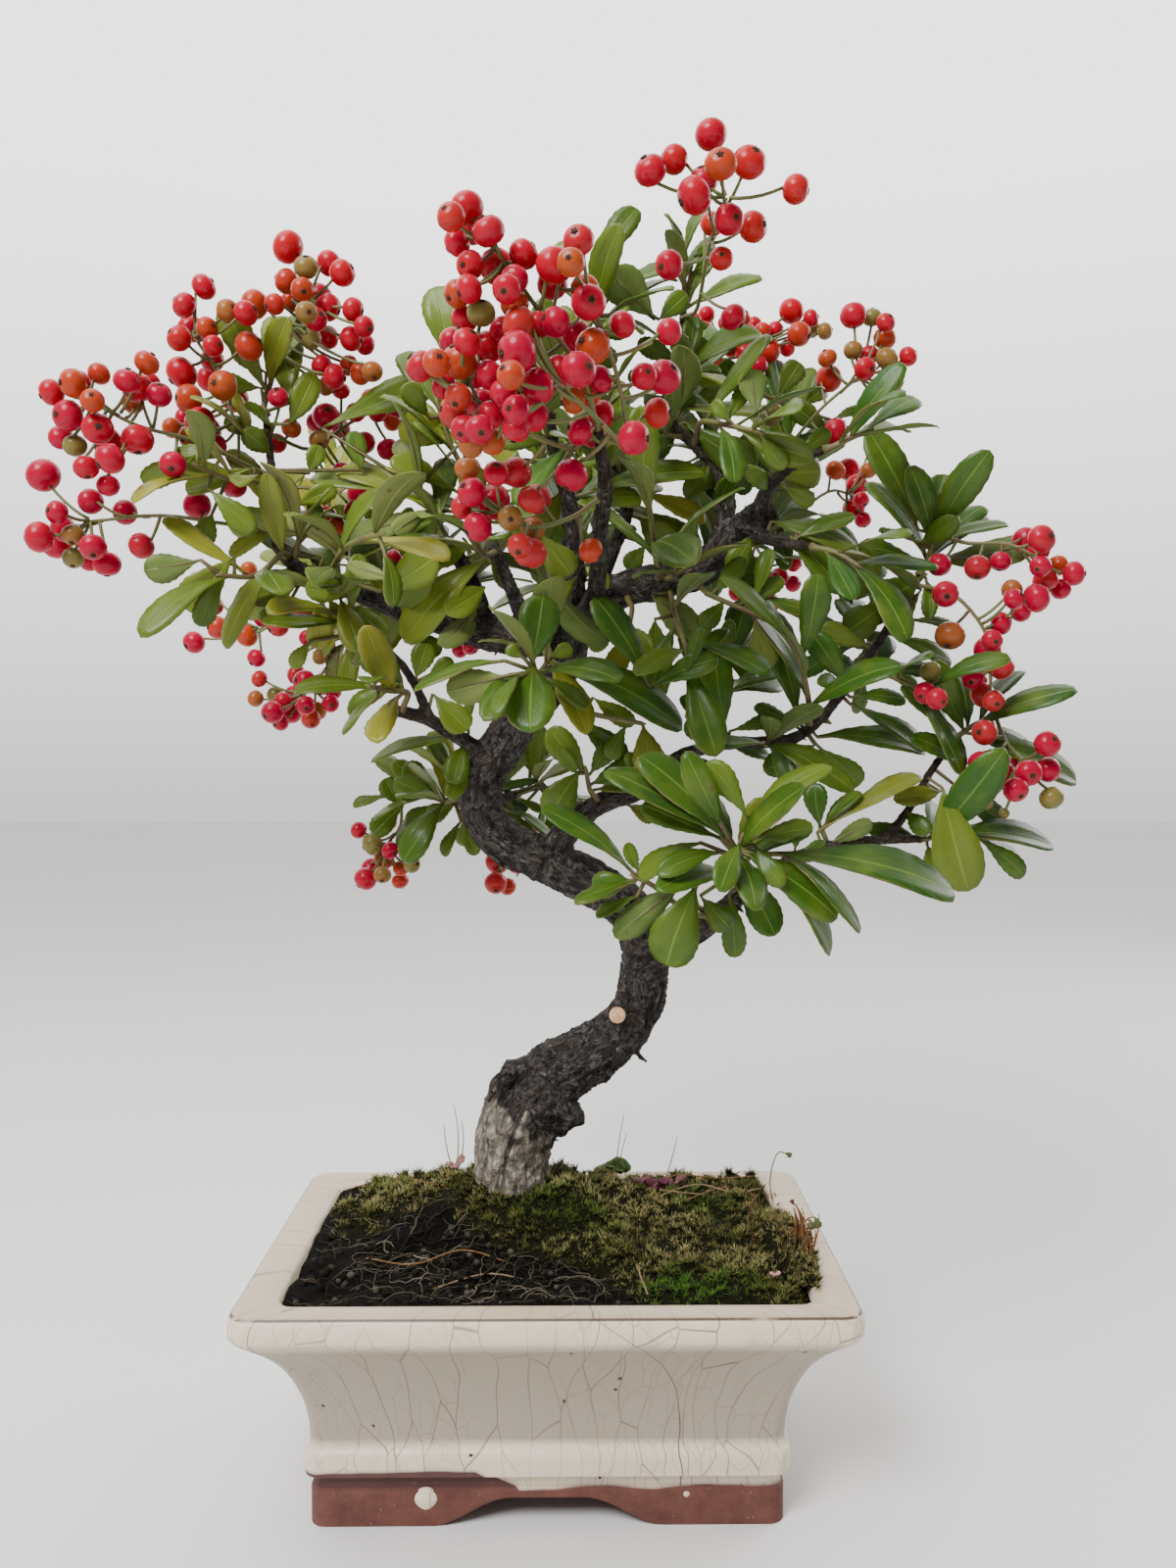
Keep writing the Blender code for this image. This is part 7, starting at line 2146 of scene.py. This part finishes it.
class BONSAI_OT_tree(bpy.types.Operator):
    """Makes the trunk and branches with fissured bark, the pale foot and the saw cut."""

    bl_idname = "bonsai.tree"
    bl_label = "Trunk and branches"

    def execute(self, context):
        settings = context.scene.bonsai_tree
        thick, thin = tree_routes()
        bark = bark_finish(tuple(settings.dark), tuple(settings.pale))
        piece = Piece("trunk_and_limbs", [bark, cut_finish()], "bark", ["tree"])
        samples = self.add_wood(piece, thick, settings.voxel, settings.fissure)
        self.add_cut(piece)
        self.add_stubs(piece, samples, STUBS_ON_THICK)
        piece.done()
        piece = Piece("thin_branches", [bark], "bark")
        samples = self.add_wood(piece, thin, settings.voxel * 1.5, settings.fissure)
        self.add_stubs(piece, samples, STUBS_ON_THIN)
        piece.done()
        return {"FINISHED"}

    def add_wood(self, piece, routes, voxel, fissure):
        """Joins tubes into one skin with ridges. Returns the rows with their directions and runs."""
        whole = bmesh.new()
        samples = []
        for rows, sides in routes:
            join(whole, tube(rows, sides))
            run = 0.0
            across = None
            for index, row in enumerate(rows):
                ahead = direction_at(rows, index).normalized()
                across = ahead.orthogonal() if across is None else across - ahead * across.dot(ahead)
                across.normalize()
                if index:
                    run += (row.xyz - rows[index - 1].xyz).length
                samples.append((row, ahead, across, run))
        item = object_of("wood", mesh_of("wood", whole))
        remesh = item.modifiers.new("remesh", "REMESH")
        remesh.mode = "VOXEL"
        remesh.voxel_size = voxel
        mesh = applied_mesh(item)
        shape = bmesh.new()
        shape.from_mesh(mesh)
        bpy.data.meshes.remove(mesh)
        bmesh.ops.smooth_vert(
            shape, verts=shape.verts, factor=0.5, use_axis_x=True, use_axis_y=True, use_axis_z=True
        )
        self.raise_ridges(shape, samples, fissure)
        piece.whole.verts.layers.float_vector.new("grain")
        piece.add(shape, None, 0)
        return samples

    def raise_ridges(self, shape, samples, fissure):
        """Moves the skin in and out by its fissures and flakes, and gives it its tone and its grain."""
        nearest = tree_of([row.xyz for row, _, _, _ in samples])
        layer = shape.verts.layers.float_color.new("tone")
        grain_layer = shape.verts.layers.float_vector.new("grain")
        shape.normal_update()
        moves = []
        for vert in shape.verts:
            row, ahead, across, run = samples[nearest.find(vert.co)[1]]
            offset = vert.co - row.xyz
            run += offset.dot(ahead)
            spot = Vector((offset.dot(across), offset.dot(ahead.cross(across)), run * 0.5))
            vert[grain_layer] = spot
            size = clamp(row.w / 8.0, 0.3)
            drift = noise.noise_vector(spot * 0.14) * 2.4
            grain = Vector((spot.x + drift.x, spot.y + drift.y, spot.z * 0.5 + drift.z * 0.4))
            coarse = 1 - 2.4 * abs(noise.noise(grain * 0.26 / size**0.4))
            lines = noise.noise(grain * 0.42 / size**0.3 + Vector((9.0, 4.0, 2.0)))
            lines = max(0.0, 1 - abs(lines) / 0.13)
            fine = noise.noise(grain * 0.75 + Vector((2.0, 7.0, 5.0)))
            fine = max(0.0, 1 - abs(fine) / 0.16)
            lump = noise.fractal(spot * 0.2, 0.9, 2.0, 3)
            crest = clamp(0.3 + 0.3 * coarse + 0.4 * lines + 0.2 * fine)
            gnarl = clamp((GNARL_TOP - vert.co.z) / 20) * noise.fractal(vert.co * 0.22, 0.9, 2.0, 4)
            foot = clamp((PALE_TOP - vert.co.z + 9 * lump - 0.75 * (vert.co.x + 13)) / 9)
            young = clamp((YOUNG_RADIUS - row.w) / 1.2) if vert.co.z > YOUNG_FROM else 0.0
            vert[layer] = (crest, foot, young, 1.0)
            relief = 0.5 * lump + crest - 0.45
            moves.append(fissure * size * relief * (1 - 0.5 * foot) + 1.1 * gnarl)
        for vert, height in zip(shape.verts, moves):
            vert.co += vert.normal * height

    def add_cut(self, piece):
        """The sawn face of the stub that looks to the front, inside a rim of bark."""
        base, end = (Vector(row[:3]) for row in BRANCHES["cut_stub"])
        axis = (end - base).normalized()
        turn = axis.to_track_quat("Z", "Y").to_matrix().to_4x4()
        radii = {"radius1": 2.2, "radius2": 2.35}
        face = solid(bmesh.ops.create_cone, cap_ends=True, segments=28, depth=1.2, **radii)
        rims = [edge for edge in face.edges if edge.calc_face_angle(0) > 1]
        bmesh.ops.bevel(face, geom=rims, offset=0.2, segments=2, profile=0.5, affect="EDGES", material=-1)
        piece.add(moved(face, Matrix.Translation(end + axis * 0.15) @ turn), BARE_TONE, 1)

    def add_stubs(self, piece, samples, count):
        """Short dead spurs and old thorns along the wood."""
        draw = random.Random(f"{count} stubs")
        for _ in range(count):
            row, ahead, across, _ = draw.choice(samples)
            if row.w < STUB_LEAST_RADIUS or row.z < STUB_LEAST_HEIGHT:
                continue
            turn = draw.uniform(0, math.tau)
            outward = across * math.cos(turn) + ahead.cross(across) * math.sin(turn)
            start = row.xyz + outward * row.w * 0.8
            way = outward + ahead * draw.uniform(0.0, 0.6)
            end = start + way * (row.w * 0.2 + draw.uniform(0.8, 2.4))
            rows = bent(start, end, UP * 0, (draw.uniform(0.4, 0.9), 0.18), 3)
            piece.add_tube(rows, 6, (0.4, 0.0, 0.2, 1.0), 0)


# Leaves and berries


def box_of(points):
    """The lowest and the highest coordinates of some points."""
    return [[end(point[k] for point in points) for k in range(3)] for end in (min, max)]


class Room:
    """What is already there, so that an added leaf or berry can be kept clear of it."""

    def __init__(self):
        self.items = []

    def add_mesh(self, mesh):
        points = own_points(mesh)
        faces = [tuple(polygon.vertices) for polygon in mesh.polygons]
        self.items.append((*box_of(points), BVHTree.FromPolygons(points, faces)))

    def claim(self, shape):
        """Takes the room of a shape, if it is free, and frees the shape."""
        low, high = box_of([vert.co for vert in shape.verts])
        tree = BVHTree.FromBMesh(shape)
        shape.free()
        for other_low, other_high, other in self.items:
            apart = any(low[k] > other_high[k] or high[k] < other_low[k] for k in range(3))
            if not apart and tree.overlap(other):
                return False
        self.items.append((low, high, tree))
        return True

    def claim_leaf(self, root, tip, up, width):
        """Takes the room of a leaf, in a coarse form without the foot of its blade."""
        draw = random.Random("coarse")
        return self.claim(leaf_blade(root.lerp(tip, 0.2), tip, up, width, draw, (2, 4))[0])

    def claim_ball(self, centre, radius):
        ball = solid(bmesh.ops.create_icosphere, subdivisions=1, radius=radius)
        return self.claim(moved(ball, Matrix.Translation(centre)))


room = Room()


def in_box(point, margin=4.0):
    """Whether a point in millimetres is inside the part's box, or outside it by less than the margin."""
    place = (point + SHIFT) * MM
    low, high = CAD_BOX
    return all(low[k] - margin * MM < place[k] < high[k] + margin * MM for k in range(3))


def extra_leaf(name, number, attempt, rows, length):
    """A further leaf of a shoot, anywhere along it; later attempts turn it and make it smaller."""
    draw = random.Random(f"{name} extra {number} try {attempt}")
    share = draw.uniform(0.12, 1.0)
    root, stem = place_on(rows, min(share, LEAF_LAST))
    turn = draw.uniform(0, math.tau)
    direction = leaned(stem, turn, math.radians(75 - 50 * share + draw.uniform(-15, 15)), 0.15)
    size = length * draw.uniform(0.5, 1.15) * (1 - 0.02 * attempt)
    up = upper_side(direction, draw.uniform(-0.5, 0.5), draw.uniform(-1.3, 0.1))
    return root, root + direction * size, up, size * BLADE_WIDTH_SHARE * draw.uniform(0.85, 1.2)


class BONSAI_OT_shoots(bpy.types.Operator):
    """Makes each leafy shoot: its stem and the part's own leaves in fine form, with more at the back."""

    bl_idname = "bonsai.shoots"
    bl_label = "Leafy shoots"

    def execute(self, context):
        settings = context.scene.bonsai_leaf
        stems = stem_rows()
        materials = leaf_materials(settings)
        for name, (_, _, count, length) in SHOOTS.items():
            rows = stems[name]
            piece = Piece(name + "_fine", materials, "leaf", [name])
            add_twig(piece, rows)
            for number, (root, tip, up, width) in enumerate(kept_leaves(name, rows, count, length)):
                add_leaf(piece, root, tip, up, width * 0.85, random.Random(f"{name} fine {number}"))
            for number in range(settings.extra if rows[-1].y > BACK_FROM else 0):
                for attempt in range(EXTRA_LEAF_TRIES):
                    leaf = extra_leaf(name, number, attempt, rows, length)
                    if in_box(leaf[1]) and room.claim_leaf(*leaf):
                        add_leaf(piece, *leaf, random.Random(f"{name} more {number}"))
                        break
            piece.done()
        return {"FINISHED"}


def leaf_materials(settings):
    """The finishes of a leaf's upper side, its underside and its stalk."""
    green, olive, gold = tuple(settings.green), tuple(settings.olive), tuple(settings.gold)
    return [
        leaf_finish("leaf_top", green, olive, gold, 0.36, False),
        leaf_finish("leaf_underside", *UNDERSIDE_COLOURS, 0.6, True),
        stem_finish("young_stem", (0.13, 0.14, 0.03), (0.10, 0.06, 0.025)),
    ]


class BONSAI_OT_seen_leaves(bpy.types.Operator):
    """Makes the leaves that stand out in the photograph, each on its own stem."""

    bl_idname = "bonsai.seen_leaves"
    bl_label = "Leaves in view"

    def execute(self, context):
        stems = stem_rows()
        materials = leaf_materials(context.scene.bonsai_leaf)
        missed = 0
        for carrier, leaves in LEAVES_SEEN.items():
            piece = Piece("leaves_on_" + carrier, materials, "leaf")
            if carrier in TWIGS:
                add_twig(piece, stems[carrier])
            for number, row in enumerate(leaves):
                foot = nearest_seen(stems[carrier], row[0], row[1]).xyz
                leaf = self.clear_place(foot, row)
                if leaf is None:
                    missed += 1
                    continue
                add_leaf(piece, *leaf, random.Random(f"{carrier} seen {number}"), foot, row[5])
            piece.done()
        print("leaves in view without room:", missed)
        return {"FINISHED"}

    def clear_place(self, foot, row):
        """The first place along the line of sight where the leaf touches nothing."""
        for shift in LEAF_MOVES:
            for tilt in TIP_MOVES:
                leaf = leaf_in_view(foot, row, shift, tilt)
                if room.claim_leaf(*leaf):
                    return leaf
        return None


def rooted(rows, girth):
    """Moves the start of a stem into what carries it, and makes it wider there."""
    start = rows[0].xyz - (rows[1].xyz - rows[0].xyz).normalized() * 1.4
    return [row_at(start, rows[0].w * girth), *rows[1:]]


def add_twig(piece, rows):
    """A thin smooth stem that starts inside what carries it and ends in a point."""
    fine = rooted(smooth_route(rows, 4), 1.5)
    fine.append(row_at(fine[-1].xyz + (fine[-1].xyz - fine[-2].xyz).normalized() * 1.6, 0.25))
    piece.add_tube(fine, 8, STEM_TONE, 2)


class BONSAI_OT_spur_leaves(bpy.types.Operator):
    """Makes the small leafy spurs that fill the crown, most of them at the back."""

    bl_idname = "bonsai.spur_leaves"
    bl_label = "Leafy spurs"

    def execute(self, context):
        stems = stem_rows()
        materials = leaf_materials(context.scene.bonsai_leaf)
        for carrier, (first, last, count) in SPURS.items():
            piece = Piece("spurs_on_" + carrier, materials, "leaf")
            rows = smooth_route(stems[carrier], 4)
            for number in range(count):
                draw = random.Random(f"{carrier} spur {number}")
                share = first + (last - first) * (number + draw.uniform(0.2, 0.8)) / count
                foot, along = place_on(rows, min(share, LEAF_LAST))
                radius = rows[min(int(share * (len(rows) - 1)), len(rows) - 1)].w
                turn = GOLDEN_ANGLE * number + draw.uniform(-0.5, 0.5)
                outward = (outward_from(along, turn) + along * 0.3 + UP * 0.35).normalized()
                tip = foot + outward * (radius + draw.uniform(2.5, 7.0))
                self.add_rosette(piece, foot + outward * radius * 0.7, tip, outward, draw)
            piece.done()
        return {"FINISHED"}

    def add_rosette(self, piece, foot, centre, outward, draw):
        """A short spur with leaves that spread from its end."""
        made = 0
        leaves = draw.randint(*ROSETTE_LEAVES)
        for number in range(leaves):
            for attempt in range(ROSETTE_TRIES):
                lean = draw.uniform(0.5, 1.25)
                turn = math.tau * number / leaves + draw.uniform(-0.4, 0.4)
                direction = leaned(outward, turn, lean, 0.15)
                length = draw.uniform(*ROSETTE_LENGTHS) * (1 - 0.05 * attempt)
                up = upper_side(direction, draw.uniform(-0.5, 0.5), draw.uniform(-1.2, 0.6))
                tip = centre + direction * length
                if not in_box(tip):
                    continue
                width = length * BLADE_WIDTH_SHARE * draw.uniform(0.85, 1.2)
                if room.claim_leaf(centre, tip, up, width):
                    add_leaf(piece, centre, tip, up, width, draw)
                    made += 1
                    break
        if made:
            rows = bent(foot, centre + outward * 0.5, UP * -0.3, (0.9, 0.6), 3)
            piece.add_tube(rows, 6, STEM_TONE, 2)


def near_another(centre, reach, taken):
    """Whether a ball would touch one of the balls that are there."""
    return any((centre - other).length < reach + radius for other, radius in taken)


def ripeness(draw):
    """Mostly red; some orange, a few greenish."""
    value = draw.uniform(0.7, 1.0)
    chance = draw.random()
    if chance < ORANGE_SHARE:
        value = draw.uniform(0.3, 0.6)
    elif chance < UNRIPE_SHARE:
        value = draw.uniform(0.0, 0.3)
    return value


class BONSAI_OT_bunches(bpy.types.Operator):
    """Makes each berry bunch: its stalks, the part's own berries in fine form and more of them."""

    bl_idname = "bonsai.bunches"
    bl_label = "Berry bunches"

    def execute(self, context):
        settings = context.scene.bonsai_berry
        stems = stem_rows()
        materials = [
            berry_finish(tuple(settings.red), tuple(settings.orange), tuple(settings.unripe)),
            plain_finish("sepal", (0.045, 0.022, 0.012), 0.8, 0.5, 900.0),
            stem_finish("berry_stalk", (0.10, 0.14, 0.03), (0.14, 0.10, 0.035)),
        ]
        for name, (_, _, count, reach) in BUNCHES.items():
            rows = stems[name]
            piece = Piece(name + "_fine", materials, "berry", [name])
            fine = [row_at(row.xyz, row.w * 0.75) for row in smooth_route(rows, 4)]
            piece.add_tube(rooted(fine, 1.6), 8, (0.5, 0, 0, 1), 2)
            taken = []
            for number, (root, centre, radius) in enumerate(kept_berries(name, rows, count, reach)):
                draw = random.Random(f"{name} fine {number}")
                add_berry(piece, root, centre, radius, draw, ripeness(draw))
                taken.append((centre, radius))
            self.add_seen(piece, name, rows, taken)
            for number in range(settings.extra):
                self.add_extra(piece, name, number, rows, reach, taken)
            piece.done()
        for name in BERRIES_SEEN:
            if name not in BUNCHES:
                piece = Piece("berries_on_" + name, materials, "berry")
                self.add_seen(piece, name, stems[name], [])
                piece.done()
        return {"FINISHED"}

    def add_seen(self, piece, name, rows, taken):
        """The berries that the photograph shows on this bunch, where the part has none yet."""
        for number, (x, y, size, ripe) in enumerate(BERRIES_SEEN.get(name, ())):
            place = Vector((x, y))
            if any((picture_place(centre) - place).length < 0.8 * size for centre, _ in taken):
                continue
            foot = nearest_seen(rows, x, y).xyz
            for shift in BERRY_MOVES:
                centre = seen(x, y, foot.y + shift)
                radius = size * (centre.y - CAMERA.y) / SIGHT
                if ripe >= 0:
                    radius = clamp(radius, *BERRY_RADII_SEEN)
                if near_another(centre, radius + 0.15, taken):
                    continue
                if room.claim_ball(centre, radius):
                    taken.append((centre, radius))
                    draw = random.Random(f"{name} seen {number}")
                    root = foot.lerp(centre, 0.04) + Vector((0, 0, 0.2))
                    add_berry(piece, root, centre, radius, draw, ripe)
                    break

    def add_extra(self, piece, name, number, rows, reach, taken):
        """One further berry, if there is room for it anywhere along the stalk."""
        for attempt in range(EXTRA_BERRY_TRIES):
            draw = random.Random(f"{name} extra {number} try {attempt}")
            root, stem = place_on(rows, draw.uniform(0.3, 1.0))
            lean = draw.uniform(0.1, 1.9)
            outward = outward_from(stem, draw.uniform(0, math.tau))
            direction = stem * math.cos(lean) + outward * math.sin(lean)
            radius = BERRY_RADIUS * draw.uniform(0.7, 1.08)
            centre = root + direction * (reach * draw.uniform(0.7, 1.4) + 0.4 * attempt)
            if not in_box(centre):
                continue
            if near_another(centre, radius + 0.3, taken):
                continue
            if room.claim_ball(centre, radius):
                taken.append((centre, radius))
                add_berry(piece, root, centre, radius, draw, ripeness(draw))
                return


# Stage


class BONSAI_OT_stage(bpy.types.Operator):
    """Makes the pale floor, the soft lights and the camera at the photograph's angle."""

    bl_idname = "bonsai.stage"
    bl_label = "Studio stage"

    def execute(self, context):
        settings = context.scene.bonsai_stage
        mesh = mesh_of("floor", solid(bmesh.ops.create_grid, x_segments=1, y_segments=1, size=3.0))
        mesh.materials.append(plain_finish("pale_floor", (0.74, 0.735, 0.73), 0.7, 0.03, 3.0))
        object_of("floor", mesh)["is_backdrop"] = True
        context.scene.world = self.soft_room()
        for name, place, height, size, share in LIGHTS:
            self.add_light(name, Vector(place), height, size, settings.key_power * share)
        camera = bpy.data.cameras.new("camera")
        camera.lens = settings.lens
        camera.sensor_width = SENSOR
        holder = object_of("camera", camera)
        holder.location = (CAMERA + SHIFT) * MM
        holder.rotation_euler = Euler((math.radians(90 - LOOK_DOWN), 0.0, math.radians(-LOOK_RIGHT)))
        context.scene.camera = holder
        return {"FINISHED"}

    def soft_room(self):
        """An even pale room, brighter towards the wall behind the tree and darker in front."""
        world = bpy.data.worlds.new("studio")
        world.use_nodes = True
        nodes = world.node_tree.nodes
        links = world.node_tree.links
        parts = nodes.new("ShaderNodeSeparateXYZ")
        both = nodes.new("ShaderNodeMath")
        both.operation = "MULTIPLY"
        links.new(nodes.new("ShaderNodeTexCoord").outputs["Generated"], parts.inputs[0])
        ranges = (("Y", "SMOOTHSTEP", -0.1, 0.7, 0.35, 2.9), ("Z", "LINEAR", -0.04, 0.4, 0.41, 1.1))
        for number, (axis, kind, *ends) in enumerate(ranges):
            share = nodes.new("ShaderNodeMapRange")
            share.interpolation_type = kind
            for key, value in zip(("From Min", "From Max", "To Min", "To Max"), ends):
                share.inputs[key].default_value = value
            links.new(parts.outputs[axis], share.inputs["Value"])
            links.new(share.outputs["Result"], both.inputs[number])
        background = nodes["Background"]
        background.inputs["Color"].default_value = (0.87, 0.85, 0.84, 1.0)
        links.new(both.outputs[0], background.inputs["Strength"])
        return world

    def add_light(self, name, place, height, size, power):
        """Adds a round soft light that looks at a height above the pot's place."""
        lamp = bpy.data.lights.new(name, "AREA")
        lamp.energy = power
        lamp.shape = "DISK"
        lamp.size = size
        item = object_of(name, lamp)
        item.location = place
        item.rotation_euler = (place - UP * height).to_track_quat("Z", "Y").to_euler()


class BONSAI_PT_panel(bpy.types.Panel):
    """Lists the pieces and their settings."""

    bl_idname = "BONSAI_PT_panel"
    bl_label = "Pyracantha bonsai"
    bl_space_type = "VIEW_3D"
    bl_region_type = "UI"
    bl_category = "Bonsai"

    def draw(self, context):
        for operator in OPERATORS:
            self.layout.operator(operator.bl_idname)
        for name, settings in SETTINGS.items():
            box = self.layout.box()
            group = getattr(context.scene, name)
            for key in settings.__annotations__:
                box.prop(group, key)


OPERATORS = (
    BONSAI_OT_stage, BONSAI_OT_pot, BONSAI_OT_drain_mesh, BONSAI_OT_soil, BONSAI_OT_moss, BONSAI_OT_weeds,
    BONSAI_OT_tree, BONSAI_OT_shoots, BONSAI_OT_bunches, BONSAI_OT_seen_leaves, BONSAI_OT_spur_leaves,
)
SETTINGS = {
    "bonsai_pot": BonsaiPotSettings,
    "bonsai_ground": BonsaiGroundSettings,
    "bonsai_tree": BonsaiTreeSettings,
    "bonsai_leaf": BonsaiLeafSettings,
    "bonsai_berry": BonsaiBerrySettings,
    "bonsai_stage": BonsaiStageSettings,
}


def register():
    for name, settings in SETTINGS.items():
        bpy.utils.register_class(settings)
        setattr(bpy.types.Scene, name, bpy.props.PointerProperty(type=settings))
    for item in OPERATORS:
        bpy.utils.register_class(item)
    bpy.utils.register_class(BONSAI_PT_panel)


def unregister():
    bpy.utils.unregister_class(BONSAI_PT_panel)
    for item in reversed(OPERATORS):
        bpy.utils.unregister_class(item)
    for name, settings in SETTINGS.items():
        delattr(bpy.types.Scene, name)
        bpy.utils.unregister_class(settings)


def main():
    register()
    for node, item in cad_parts.items():
        if node not in ("pot", "soil", "moss", "drain_mesh"):
            room.add_mesh(item.data)
    bpy.ops.bonsai.stage()
    bpy.ops.bonsai.pot()
    bpy.ops.bonsai.drain_mesh()
    bpy.ops.bonsai.soil()
    bpy.ops.bonsai.moss()
    bpy.ops.bonsai.weeds()
    bpy.ops.bonsai.tree()
    bpy.ops.bonsai.seen_leaves()
    bpy.ops.bonsai.bunches()
    bpy.ops.bonsai.shoots()
    bpy.ops.bonsai.spur_leaves()
    boxes = {"cad": CAD_BOX, "visual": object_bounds()}
    sizes = {name: [list(corner) for corner in box] for name, box in boxes.items()}


if __name__ == "__main__":
    main()
